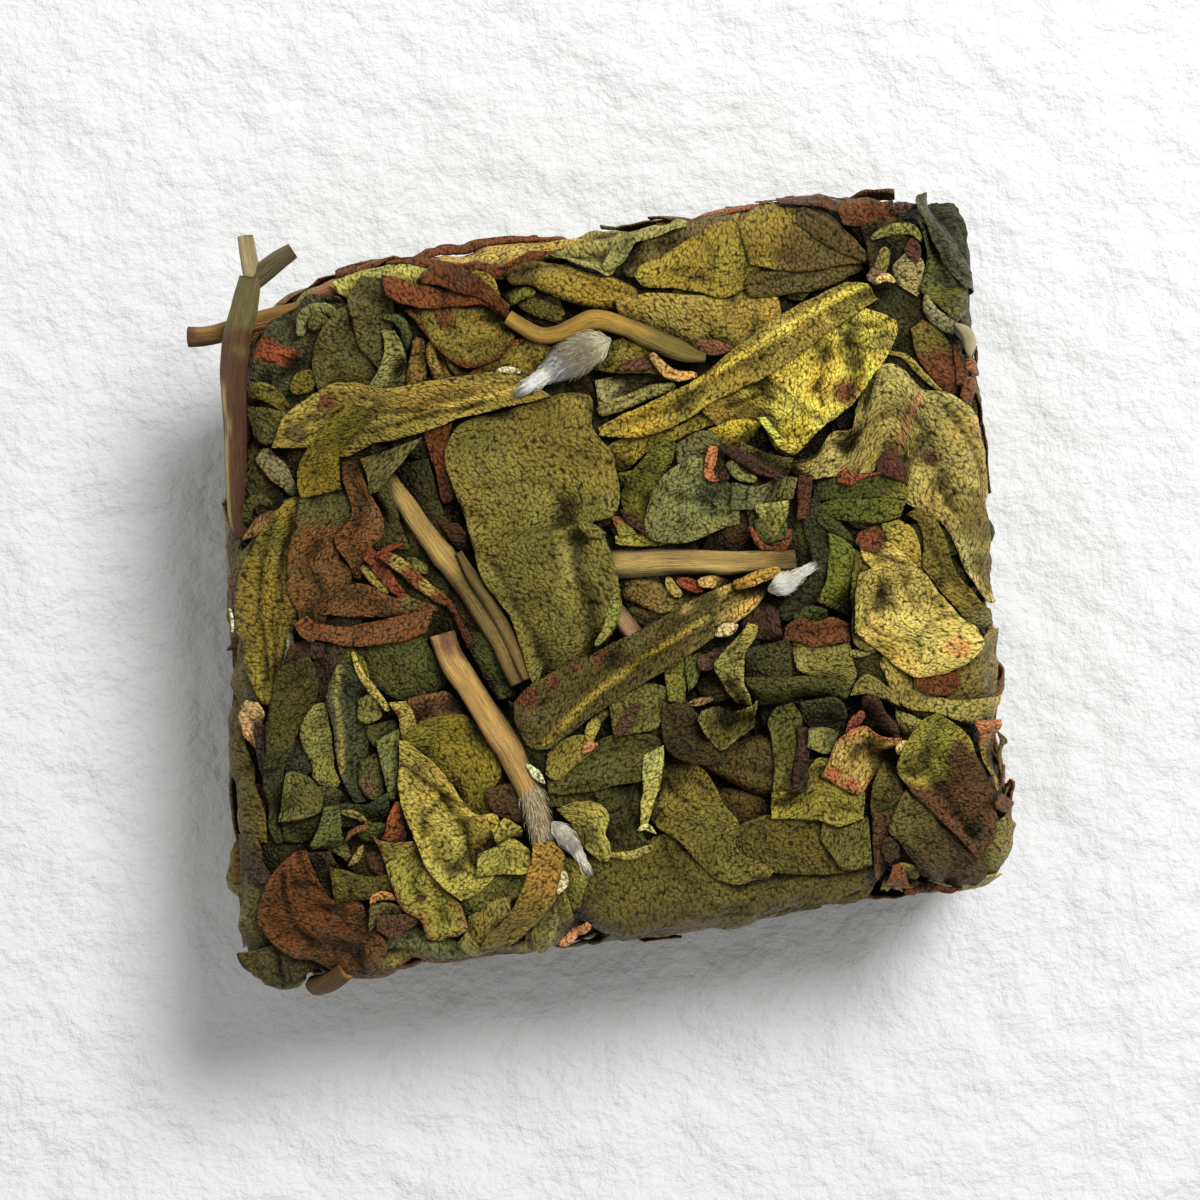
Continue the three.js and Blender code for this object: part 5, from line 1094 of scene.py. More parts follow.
# ---- Dark lump of the back right corner -------------------------------------------------------
# Two thick dark blue-green leaves curl over the corner, with a pale bud tip in the hole beside them.
CORNER_PIECES = [
    ("corner_shade", "leaf", [(17.4, 21.3), (19, 21.2), (20.8, 21)], [(17.6, 19), (19, 18.6), (20.9, 19)],
     -1.1, (56, 52, 30)),
    ("notch_leaf", "leaf", [(19.9, 15.3), (20, 14.2), (20.3, 13.2), (21, 12.1), (21.7, 11)], [(20.7, 15.8),
     (21.6, 15.1), (22.6, 14), (22.9, 12.6), (22.7, 11)], -0.4, (100, 92, 42), {"tip": ((118, 68, 46),
     0.5)}),
    ("notch_side", "leaf", [(22.5, 14.2), (22.4, 13), (22.3, 11.6)], [(24.2, 14), (23.9, 12.8),
     (23.2, 11.6)], -0.4, (112, 68, 46)),
    ("notch_block", "leaf", [(22.9, 12.1), (22.5, 11), (22.7, 10.2), (23.1, 9.4)], [(23.9, 12), (24.2, 11.2),
     (23.9, 10.3), (23.7, 9.4)], 0, (122, 70, 46)),
    ("notch_nub", "roll", [(23.1, 13.1), (23.8, 12.9), (24.6, 12.7)], [0.4, 0.55, 0.4], 0.2, (150, 94, 58)),
    ("notch_rib", "roll", [(18.3, 13.9), (19.5, 13.5), (20.5, 12.3), (21.6, 11.2)], [0.12, 0.2, 0.2, 0.12],
     -0.2, (150, 140, 72)),
    ("beige_crumple", "leaf", [(19.9, 20), (19.1, 19.2), (19.1, 18.4), (19.8, 17.7), (20.3, 17.2)],
     [(20.6, 19.9), (21, 19.2), (20.9, 18.5), (20.8, 17.9), (20.6, 17.4)], -0.2, (158, 150, 112),
     {"folds": 0.4, "size": (1.2, 0.8)}),
    ("purple_crumple", "leaf", [(20.2, 20.9), (19.9, 20.2), (20.2, 19.5)], [(20.8, 20.8), (20.95, 20),
     (20.7, 19.3)], 0, (96, 62, 56)),
    ("pale_green_rim", "roll", [(17.8, 21), (18.6, 21.4), (19.6, 21.6), (20.5, 21.4), (20.9, 20.6)], [0.15,
     0.28, 0.28, 0.28, 0.15], 0, (124, 128, 76)),
    ("notch_stem", "roll", [(18.7, 20.4), (18.3, 19.3), (17.6, 18.3)], [0.3, 0.36, 0.42], 0, (128, 104, 86),
     {"root": ((130, 124, 66), 0.45)}),
    ("cream_stub", "roll", [(17.9, 18.2), (18.5, 18.5), (19.1, 18.2)], [0.15, 0.2, 0.12], 0,
     (166, 152, 108)),
    ("corner_lump_low", "leaf", [(20.4, 22.6), (21, 21.2), (21.2, 19.8), (21, 18.6), (20.7, 17.6),
     (21.6, 16.7), (22.6, 15.6), (23.3, 14.8), (23.7, 13.6)], [(21.6, 23.2), (21.9, 21.8), (22.5, 20),
     (23.4, 18.6), (25, 18.1), (25.5, 17.2), (25.3, 16), (24.9, 15), (24.4, 13.8)], 0.2, (98, 102, 52),
     {"root": ((64, 70, 48), 0.45), "tip": ((128, 110, 66), 0.2), "side": ((112, 76, 58), -0.12),
     "curl": -0.9, "creases": [[(21.3, 21.6), (21.7, 19.6), (22.2, 18)]]}),
    ("corner_bud_foot", "roll", [(21, 17.3), (21.2, 16.3), (21.9, 15.5), (22.8, 15.1)], [0.2, 0.3, 0.34,
     0.3], 0.2, (132, 130, 104)),
    ("notch_bud", "bud", [(22.4, 15.4), (23, 14.9), (23.3, 14.2), (23.2, 13.3)], [0.2, 0.34, 0.34, 0.2], 0,
     (132, 122, 90)),
    ("plum_corner_rim", "roll", [(19.2, 22.6), (20.2, 23), (21.2, 23.4)], [0.2, 0.35, 0.3], 0.2,
     (74, 56, 52)),
    ("corner_lump_high", "leaf", [(21.7, 23.7), (20.9, 23.3), (20.8, 22.3), (21.3, 21.1), (21.7, 20),
     (22.4, 18.6), (23.1, 17.6)], [(22.8, 24), (24, 23.7), (25.2, 23), (26, 21.8), (25.9, 20), (25.6, 18.8),
     (25.2, 17.6)], 0.9, (70, 72, 56), {"curl": -1, "folds": 0.3, "creases": [[(22.5, 22.3), (21.9, 21.9),
     (22.7, 20.5), (23.8, 19.5), (25, 18.4)], [(22.2, 21.7), (23.1, 22.5), (24.3, 22.2), (25.3, 20.8)],
     [(21.5, 21.2), (22.3, 19.6), (23.3, 18)]]}),
]


def down_finish():
    """Silky down: pale hair with a soft sheen."""
    material, tree, shader, colour, place = new_material("bud_down")
    tint, relief = mottled(tree, colour, place, 2.5, 0.3)
    tree.links.new(tint, shader.inputs["Base Color"])
    bump = add_node(tree, "ShaderNodeBump", {"Height": relief, "Distance": 0.2 * MM}).outputs[0]
    tree.links.new(bump, shader.inputs["Normal"])
    shader.inputs["Roughness"].default_value = 0.55
    shader.inputs["Sheen Weight"].default_value = 0.3
    return material


DOWN = down_finish()
corner_heap = lay_pieces(CORNER_PIECES)
add_piece("corner_lump", corner_heap["leaf"], LEAF_SKIN)
add_piece("corner_bud_tip", corner_heap["bud"], DOWN)


# ---- Leaves of the right ----------------------------------------------------------------------
# A large khaki leaf goes over the right edge, with a tan leaf and its rolled edge below it and dark
# green folds between them and the middle.
RIGHT_PIECES = [
    ("khaki_leaf", "leaf", [(11.6, 7.3), (12.6, 6.4), (14.4, 6.4), (16.4, 6.4), (17.4, 7), (18.5, 6.9),
     (18.9, 5.6), (18.7, 4.5), (20.4, 3.4), (21.2, 2.4), (21.9, 0.4), (23.2, -2), (24.4, -2.2)], [(12, 7.7),
     (13.4, 8), (14.6, 9.3), (15.8, 9.4), (16.3, 10.8), (17.2, 12.8), (18.4, 13.3), (19.4, 12.7),
     (20.3, 11.4), (21.6, 11.2), (22.9, 10.2), (24.2, 8.8), (24.9, 6.5), (25, 3), (24.8, -0.4)], 0.4,
     (152, 139, 82), {"hold": 0.85, "folds": 0.34, "size": (2.4, 1.5), "edge": (172, 160, 104),
     "patches": [((23.4, 3), 1.9, (108, 96, 46)), ((23.2, -0.2), 1.8, (106, 94, 44)), ((20.6, 7), 0.3,
     (120, 76, 56))],
     "ribs": [([(20.1, 11.1), (19.2, 9.2), (18.3, 7.4)], 0.24, (172, 124, 88))], "creases": [[(22.5, 8.6),
     (23.3, 7.4), (23.9, 6)], [(21.1, 4.2), (22, 4.8), (23.4, 4.8)], [(14, 9.3), (16, 8.9), (16.9, 9.7),
     (17.9, 10.1)], [(18.2, 7.4), (19.4, 7.2)], [(20.6, 5.8), (20.4, 4)], [(17.5, 12.8), (16.7, 10.6)],
     [(21, 11.2), (22.3, 9.4), (22.6, 8.7)], [(21, 3.6), (21.3, 1.8), (22.2, -0.8), (23.2, -2.2)]]}),
    ("right_yellow_leaf", "leaf", [(17.1, 3.3), (17.2, 2.2), (17.8, 1.5), (18.6, 0.8), (19.2, 0)],
     [(18.2, 3.5), (19, 2.9), (19.3, 2), (19.4, 1), (19.6, 0)], -0.5, (150, 136, 66)),
    ("right_fold_inner", "leaf", [(18.6, 3.7), (19.4, 3.1), (19.6, 1.6), (19.4, 0.6), (20, -0.6), (21, -2),
     (22, -3.3), (22.8, -3.8)], [(19.4, 4.1), (20.4, 3.4), (20.9, 2), (21.2, 0.6), (21.9, -0.8),
     (22.9, -2.3), (23.8, -2.6), (24.4, -3.6)], -0.1, (112, 102, 50), {"curl": -0.8,
     "creases": [[(19.9, 1.8), (20.6, 0.4), (21.6, -1), (22.6, -2.7)]]}),
    ("green_fold_band", "leaf", [(12.9, 5.1), (14.4, 5), (16, 4.9), (17.6, 4.8), (18.8, 4.7)], [(13.2, 6),
     (14.8, 6.4), (16.4, 6.5), (17.8, 6.6), (19, 6)], -0.2, (68, 74, 38), {"tip": ((116, 104, 44), 0.22)}),
    ("green_fold", "leaf", [(13, 4.1), (14.2, 3.8), (15.6, 3.5), (17, 3.4), (18.3, 3.7)], [(13.2, 4.8),
     (14.4, 5.1), (15.8, 5), (17.2, 4.9), (18.7, 4.6)], 0, (88, 96, 42), {"curl": -0.6}),
    ("purple_triangle", "leaf", [(17, 6.4), (17.9, 6.1), (18.9, 5.5)], [(17.2, 7.2), (17.9, 7.9),
     (18.9, 6.6)], 0.1, (88, 54, 46)),
    ("red_bit", "leaf", [(14.5, 6.1), (15.3, 5.8), (16, 6.1), (17.2, 6.4)], [(14.6, 6.7), (15.2, 6.9),
     (15.9, 6.5), (17.2, 6.6)], 0.1, (144, 84, 60)),
    ("dark_arc", "leaf", [(12.3, 5.2), (12.2, 3.4), (12.5, 2), (12.6, 1), (12.2, 0.2), (11.4, -0.5),
     (10.6, -1), (10.2, -1.9)], [(13.4, 5.2), (13.5, 3.6), (13.8, 2.2), (13.6, 1), (13.4, -0.2),
     (12.8, -1.2), (11.6, -2), (10.8, -2.4)], -0.6, (62, 66, 46)),
    ("dark_arm", "roll", [(13.1, 4), (14.2, 3.3), (15, 2.5), (15.5, 1.7)], [0.3, 0.38, 0.34, 0.2], -0.1,
     (74, 80, 50)),
    ("green_upright", "leaf", [(13.7, 3), (13.7, 2), (13.5, 0.9), (13.3, -0.1), (12.7, -1.2)], [(14.4, 2.7),
     (15.1, 2.1), (15.6, 1.3), (15.4, -0.4), (14.8, -2.4)], -0.1, (98, 106, 42), {"tip": ((112, 72, 46),
     0.07)}),
    ("red_upright", "leaf", [(12.2, 6.7), (12, 5.4), (11.9, 3.9)], [(13, 6.7), (12.9, 5.4), (12.6, 4)], 0,
     (94, 54, 44), {"folds": 0.4, "size": (0.9, 0.8)}),
    ("block_shade", "leaf", [(11.2, -2.5), (12.4, -2.7), (13.4, -2.5)], [(11.2, -1.8), (12.4, -1.5),
     (13.3, -1.8)], -0.3, (68, 78, 34)),
    ("notched_block", "leaf", [(11, -2.9), (11, -4.2), (11.2, -5.4), (12.4, -5.9), (13.6, -6.6)],
     [(14.6, -2.9), (14.6, -4), (14.7, -5.2), (14.8, -6), (14.2, -7)], -0.1, (126, 122, 68)),
    ("block_band", "leaf", [(10.4, -3.4), (11.4, -3.6), (12.4, -4), (13.6, -3.9), (14.6, -3.8)],
     [(10.7, -2.5), (11.6, -2.2), (12.6, -2.4), (13.6, -2.2), (14.6, -2.8)], 0.1, (114, 72, 52),
     {"folds": 0.34, "size": (1.1, 0.7), "creases": [[(11, -2.8), (12.4, -3), (14.4, -2.9)]]}),
    ("block_strip", "roll", [(14.5, -4.7), (15.4, -4.6), (16.2, -4.5)], [0.2, 0.24, 0.18], -0.2,
     (130, 126, 82)),
    ("right_low_fold", "leaf", [(20.2, -8), (21.8, -8.3), (23, -8.4), (24.6, -8.5)], [(20.4, -6.6),
     (21.8, -5.4), (23, -4), (24.6, -3.8)], -0.2, (122, 108, 58), {"folds": 0.42, "size": (1.7, 1.2)}),
    ("rolled_tan_edge", "leaf", [(16.3, -5.4), (16.9, -7), (17.8, -8.2), (19.4, -8.6), (20.8, -9.3),
     (22.6, -9.7), (24.4, -9.4)], [(16.6, -4.8), (17.8, -5.7), (18.6, -7), (20, -7.8), (21.2, -8.1),
     (22.8, -8), (24.4, -8.1)], 0.1, (146, 134, 74), {"curl": -0.8}),
    ("rust_underside", "leaf", [(18.3, -6.8), (19.2, -7.5), (20.2, -7.7), (21.1, -7.2)], [(18.4, -6),
     (19.2, -5.8), (20.2, -6), (21.1, -6.5)], -0.1, (118, 66, 40), {"folds": 0.3, "size": (0.8, 1.2)}),
    ("tan_side_fold", "leaf", [(15.3, 1.6), (15, 0), (14.9, -2), (14.8, -3.9), (15.6, -4.6)], [(16, 1.8),
     (16.2, 0.4), (15.8, -1.4), (15.6, -3), (16.5, -4.4)], -0.2, (118, 108, 58)),
    ("tan_leaf", "leaf", [(15.6, 2.2), (15.7, 1.2), (16.2, 0.4), (15.8, -1), (15.2, -2.9), (15, -3.5),
     (16, -4.4), (17.4, -5.7), (18.4, -6.4), (19.4, -6.4)], [(16.9, 2), (17.5, 2), (18.7, 0.9),
     (19.7, -0.3),
     (20.7, -1.9), (21.6, -3.1), (22.3, -3.6), (22.4, -4.8), (21.6, -5.7), (20.4, -6.3)], 0.7,
     (182, 165, 94), {"hold": 0.9, "folds": 0.15, "patches": [((21.3, -4.9), 0.8, (194, 144, 88)),
     ((16.9, -1.2), 0.3, (130, 86, 54)), ((16.6, -4.4), 0.9, (150, 136, 72))], "creases": [[(15.6, -2.9),
     (17, -3.7),
     (18.3, -4.4), (19.2, -3.5), (20.2, -2.8), (21.4, -2.7)], [(16.4, 0.9), (17.2, 1.2), (18.6, 0.6)],
     [(20.5, -2.6), (20.4, -1.8)], [(18.4, -0.2), (18.3, -1.2), (18.6, -1.8)], [(19, -3.8),
     (18.8, -5.4)]]}),
    ("tan_fold_left", "leaf", [(15.5, 0.3), (15.1, -1), (15, -2.2), (14.9, -3.4)], [(16.3, 0.6),
     (15.9, -0.8), (15.6, -2.2), (15.4, -3)], 0.3, (150, 138, 76), {"curl": -0.3}),
    ("tan_leaf_tip", "leaf", [(15.7, 2.9), (15.4, 2.3), (15.9, 1.7)], [(16.7, 3.2), (17.2, 2.4),
     (16.7, 1.5)], 0.3, (116, 66, 44)),
]

right_heap = lay_pieces(RIGHT_PIECES)
add_piece("right_leaves", right_heap["leaf"], LEAF_SKIN)


# ---- Middle: the large olive leaf and the stems under its edges -------------------------------
# The flat pebbled leaf in the middle lies over two cut stems. Right of it are the bright yellow-green
# leaf, a young shoot with a yellow rib, and a crumpled blue-green leaf.
MIDDLE_PIECES = [
    ("yellow_underleaf", "leaf", [(0.5, 7.9), (1.6, 8), (3, 8.9), (5, 9.6), (7.4, 10.4)], [(0.3, 9.5),
     (1.6, 10), (3.2, 10.2), (5.2, 10.6), (7.6, 11.6)], -0.5, (148, 135, 60)),
    ("lime_slip", "leaf", [(0.8, 6.9), (1.6, 6.8), (2.2, 7)], [(0.8, 7.8), (1.6, 7.9), (2.4, 7.9)], -0.6,
     (150, 142, 70)),
    ("silver_bit_high", "leaf", [(0.1, 12), (1.6, 12), (3.2, 12.6), (5, 13.1)], [(0, 13.7), (1.6, 13.9),
     (3.4, 13.8), (5.2, 13.9)], -0.4, (146, 140, 98)),
    ("silver_bit_low", "roll", [(0, 11.7), (1.6, 12.1), (3.2, 12.6), (5, 13)], [0.3, 0.42, 0.4, 0.25], -0.2,
     (134, 126, 78)),
    ("brown_bit", "leaf", [(0.1, 14.3), (1.5, 14), (2.8, 13.9), (4.5, 13.6)], [(0.2, 15.1), (1.3, 15.9),
     (2.4, 16.1), (4.6, 14.8)], -0.4, (122, 112, 54)),
    ("plum_slip", "roll", [(1.4, 14.2), (2.6, 14.4), (4.1, 14.4)], [0.2, 0.32, 0.2], -0.3, (106, 72, 62)),
    ("yellow_leaf", "leaf", [(7.4, 10.2), (9.6, 10.3), (10.4, 9.8), (11, 8.5), (12, 8), (13, 8.8),
     (14.2, 9.8), (15.2, 10.3), (16.6, 11.6), (17.4, 12.7), (18, 13.3), (18.8, 14.4), (19.1, 15.2)],
     [(6.4, 11.2), (8, 12.8), (9.8, 13.4), (11.4, 13.9), (13.2, 14.9), (14.6, 15.8), (15.8, 16.6),
     (17, 16.8), (18.2, 16.3), (19, 15.8)], 0, (190, 176, 82), {"folds": 0.42, "size": (1.6, 1),
     "root": ((128, 114, 52), 0.2), "patches": [((15.5, 11.7), 1, (126, 82, 58)), ((18, 14.7), 1.3,
     (150, 138, 74)), ((10.4, 12.2), 1.3, (142, 130, 56)), ((12.2, 9.6), 1.2, (176, 162, 66))],
     "creases": [[(15.3, 15.9), (16, 14.6), (17, 14.2), (17.9, 13.4)], [(10.4, 13.2), (12, 11.6),
     (14, 10.1)], [(8, 11.3), (10.4, 11.9), (12.6, 10.8), (14, 9.9)], [(16.2, 16), (17.6, 15.6),
     (18.6, 15.8)]]}),
    ("yellow_shoot", "leaf", [(0, 10.2), (1.6, 9.9), (3.4, 10), (5.4, 10.6), (7, 11.5), (8.6, 12.2),
     (11, 13.2), (13.4, 14.6), (15, 15.7), (16.9, 16.7), (18, 17.3)], [(0, 10.7), (1.6, 11.4), (4, 12.3),
     (6, 13.1), (8, 14.4), (9.6, 15.4), (11.6, 16.6), (12.8, 17.2), (14.6, 17.9), (16.2, 18.5),
     (17.4, 18.2)], 0.2, (136, 121, 60), {"curl": 0.1, "folds": 0.16, "root": ((156, 136, 58), 0.35),
     "ribs": [([(6, 12.9), (8, 13.8), (10, 14.8), (12, 15.9), (14, 16.9), (16, 17.8), (17.3, 18.2)], 0.17,
     (216, 190, 86)), ([(14.3, 16.8), (15, 16)], 0.08, (190, 170, 84))]}),
    ("yellow_lobe", "leaf", [(6.6, 9.3), (7.8, 8.7), (9, 8.8), (10, 9.9)], [(6.8, 10), (8, 10.4), (9, 10.5),
     (10.2, 10.3)], 0.1, (168, 152, 56)),
    ("yellow_strip", "leaf", [(9.9, 10.5), (10.5, 9.6), (11, 8.6), (11.8, 8.1)], [(10.4, 10.5), (11.1, 9.6),
     (11.6, 8.9), (12.4, 8.4)], 0.4, (196, 180, 84)),
    ("crumpled_low", "leaf", [(0.5, 3.4), (1.6, 3.1), (3, 3.1), (4.6, 3.1), (6.4, 3.3)], [(0.5, 3.9),
     (1.6, 3.9), (2.8, 4.2), (4.4, 4.6), (6.4, 4.6)], -0.2, (140, 136, 64)),
    ("pink_wedge", "leaf", [(0.3, 5.1), (0.6, 4.4), (0.8, 3.7)], [(1.1, 5), (1.5, 4.4), (1.8, 3.9)], -0.1,
     (128, 128, 62), {"root": ((158, 104, 72), 0.4)}),
    ("crumpled_strip", "leaf", [(2.6, 4.1), (2.7, 5.4), (3.3, 6.6), (4, 7.6), (4.7, 8.6), (4.6, 9.7)],
     [(1.2, 5.2), (1.1, 6.4), (1.6, 7.5), (2.4, 8.4), (3.2, 9.1), (3.9, 9.7)], -0.1, (100, 102, 40)),
    ("crumpled_upper", "leaf", [(4.7, 7.4), (5.6, 6.7), (6.6, 6.4), (8.2, 6.6)], [(4.7, 9.2), (5.8, 9.8),
     (7, 9.7), (8.4, 8.6)], -0.1, (108, 110, 74), {"folds": 0.5, "size": (1.4, 1)}),
    ("crumpled_leaf", "leaf", [(2.2, 4), (3, 3.3), (4.6, 3.1), (6, 3.4), (7.3, 3.8), (8.3, 4)], [(2.9, 6.4),
     (3.8, 7.4), (5, 8.1), (6, 8.5), (7.2, 7.2), (8.5, 6)], 0.1, (116, 117, 74), {"folds": 0.5,
     "size": (1.5, 1.1), "patches": [((6.8, 6), 1.1, (86, 92, 68))], "creases": [[(3.4, 6.8), (4.8, 5.8),
     (6.4, 5.4), (7.8, 4.4)], [(4.5, 5), (4.8, 3.6)], [(5.1, 8.1), (5.6, 6.6), (7, 6)]]}),
    ("brick_flake", "leaf", [(6.8, 9), (6.5, 8), (6.3, 7.1), (6.8, 6.7)], [(7.2, 8.9), (7.2, 8), (6.9, 7.3),
     (7.3, 6.8)], 0.4, (180, 116, 80)),
    ("purple_chip", "roll", [(7.3, 6.8), (7.7, 7.2), (8, 7.6)], [0.2, 0.35, 0.2], 0, (86, 54, 46)),
    ("purple_slip", "roll", [(0.9, 5.4), (1.6, 4.7), (2.4, 3.9)], [0.16, 0.26, 0.14], 0, (82, 52, 48)),
    ("olive_sheet", "leaf", [(8.2, 7.2), (10, 6.8), (11.6, 6.5)], [(8.8, 9.2), (10.4, 8.3), (12, 7.8)], -0.6,
     (98, 94, 50)),
    ("teal_fold", "leaf", [(7.8, 4.9), (9.4, 4.8), (10.6, 5), (11.7, 5.3)], [(8, 6.6), (9.6, 6.3), (11, 6.9),
     (12.1, 6.6)], -0.1, (96, 102, 70), {"folds": 0.42, "size": (1.3, 0.9)}),
    ("green_loop", "roll", [(7.9, 7.9), (8.4, 7), (9.6, 6.7)], [0.25, 0.3, 0.22], 0, (102, 108, 62)),
    ("purple_fold", "roll", [(7.5, 9), (8.8, 8.1), (9.9, 7.3), (11, 6.6)], [0.22, 0.36, 0.36, 0.2], 0,
     (78, 50, 46)),
    ("green_cone", "leaf", [(9.4, 5.1), (9.5, 4.3), (9.9, 3.4), (10.1, 2.7)], [(11.4, 5.2), (11.3, 4.4),
     (10.9, 3.5), (10.5, 2.7)], 0.4, (140, 138, 78)),
    ("cone_under", "roll", [(9.4, 4.2), (9.6, 3.2), (10.2, 2.7), (10.9, 3), (11.2, 3.9)], [0.16, 0.25, 0.28,
     0.25, 0.16], 0, (88, 92, 50)),
    ("cone_rim", "roll", [(8.8, 3.8), (9.4, 2.7), (10.1, 2.2), (10.9, 2.4), (11.4, 3.4)], [0.12, 0.2, 0.24,
     0.22, 0.12], 0, (136, 80, 56)),
    ("dark_curl_low", "roll", [(0.8, -0.9), (2, -1.5), (3.4, -1.5)], [0.4, 0.5, 0.4], -0.5, (76, 70, 36)),
    ("grey_brown_curl", "roll", [(0.6, 0.4), (2, 0.2), (3.2, -0.4), (4.6, -0.6), (6.2, -0.3)], [0.5, 0.72,
     0.78, 0.62, 0.4], -0.3, (116, 99, 58), {"folds": 0.4, "size": (4, 0.4)}),
    ("yellow_chip", "leaf", [(3.5, 1), (3.8, 0.3), (4.3, -0.2)], [0.2, 0.34, 0.25], -0.2, (152, 138, 78)),
    ("red_scraps", "leaf", [(4.1, 0.8), (4.9, 0.4), (5.7, 0.1)], [0.2, 0.34, 0.3], -0.1, (154, 78, 52)),
    ("pale_scrap", "leaf", [(5.4, 0.5), (6.3, 0.5), (7.5, 0.4)], [0.25, 0.34, 0.24], -0.1, (176, 140, 88)),
    ("short_stub", "stem", [(-0.1, -0.4), (0.7, -1.6), (1.5, -2.9)], [0.6, 0.62, 0.62], 0, (196, 156, 118)),
    ("straight_stem", "stem", [(-0.8, 2.05), (4, 1.93), (8, 1.58), (11.6, 1.5)], [0.85, 0.83, 0.74, 0.62],
     0.1, (190, 160, 98), {"tip": ((120, 96, 54), 0.1)}),
    ("hollow_leaf", "leaf", [(-12.9, 9.4), (-12.2, 7), (-10.9, 4.4)], [(-10.7, 9.6), (-10.3, 7),
     (-9.3, 4.4)], -1.2, (62, 60, 34)),
    ("hollow_brown", "leaf", [(-10.4, 5.6), (-9.9, 4.6), (-9.4, 3.6)], [(-9.2, 5.4), (-8.6, 4.6),
     (-8.4, 3.6)], -0.8, (84, 52, 38)),
    ("hollow_green", "leaf", [(-9.6, -1.2), (-9, -3), (-8.3, -4.6), (-7.6, -5.8)], [(-8, -1.6), (-7.6, -3),
     (-7, -4.2), (-6.6, -5.6)], -0.7, (72, 76, 42)),
    ("tan_stem", "stem", [(-13.7, 8.9), (-12.3, 6.6), (-10.9, 4.3), (-9.6, 2.3), (-8.4, 0.4), (-7.2, -2),
     (-6.1, -4.8)], [0.58, 0.66, 0.66, 0.7, 0.76, 0.8, 0.76], 0.1, (186, 153, 90),
     {"nodes": [(0.41, 0.1, 0.5)], "tip": ((140, 116, 64), 0.5), "ribbed": 0.13}),
    ("tan_stem_sheath", "stem", [(-9.3, 3.6), (-8.7, 2.2), (-7.7, 0.4), (-6.6, -2), (-5.6, -4.6)], [0.2,
     0.42, 0.5, 0.52, 0.5], 0, (128, 106, 58), {"ribbed": 0.18, "closed": True}),
    ("orange_strip", "leaf", [(-10.9, 11.3), (-10.7, 10), (-10.4, 8.8), (-10.2, 7.4), (-10, 6.7)],
     [(-9, 11.8), (-9.4, 10.4), (-9.4, 9), (-9.3, 8), (-8.9, 7)], -0.3, (108, 58, 32),
     {"tip": ((78, 40, 26),
     0.3)}),
    ("hero_leaf", "leaf", [(-7.5, 12), (-8.4, 11.7), (-9.2, 10.9), (-9.8, 9.5), (-9.5, 8.3), (-8.8, 6),
     (-8.5, 4.6), (-8.3, 3.2), (-7.9, 1.7), (-7.1, 0.5), (-6.3, -0.9), (-5.9, -2.7), (-5.6, -4.2),
     (-5.3, -5)], [(-4.1, 12.2), (-2.2, 13), (-0.5, 12.7), (-0.3, 11.9), (-0.5, 10.8), (0, 9.9),
     (0.75, 8.9),
     (0.9, 7.9), (1, 6.4), (0.6, 5.2), (-0.2, 4.9), (-0.8, 4.7), (-0.1, 3.8), (0.25, 2.7), (0.5, 0.2),
     (0.4, -0.9), (-0.1, -2), (-1.1, -3.1), (-2.7, -3.8), (-4.6, -4.8)], 1.0, (114, 106, 54),
     {"hold": 0.92, "tilt": 0.1, "folds": 0.16, "size": (5, 3), "patches": [((-1, 12), 0.9,
     (138, 126, 66)), ((-2.5, 2.4), 1.6, (134, 124, 70))]}),
    ("hero_lobe", "roll", [(-1.7, 4.8), (-1, 4.3), (-0.1, 3.9)], [0.25, 0.38, 0.2], 0.1, (116, 114, 68)),
    ("hero_light_edge", "roll", [(0.3, 0.6), (0, -0.8), (-0.5, -2), (-1.3, -2.9)], [0.12, 0.26, 0.26, 0.1],
     0, (130, 134, 70)),
]

middle_heap = lay_pieces(MIDDLE_PIECES)
add_piece("middle_leaves", middle_heap["leaf"], LEAF_SKIN)
add_piece("middle_stems", middle_heap["stem"], BARK)


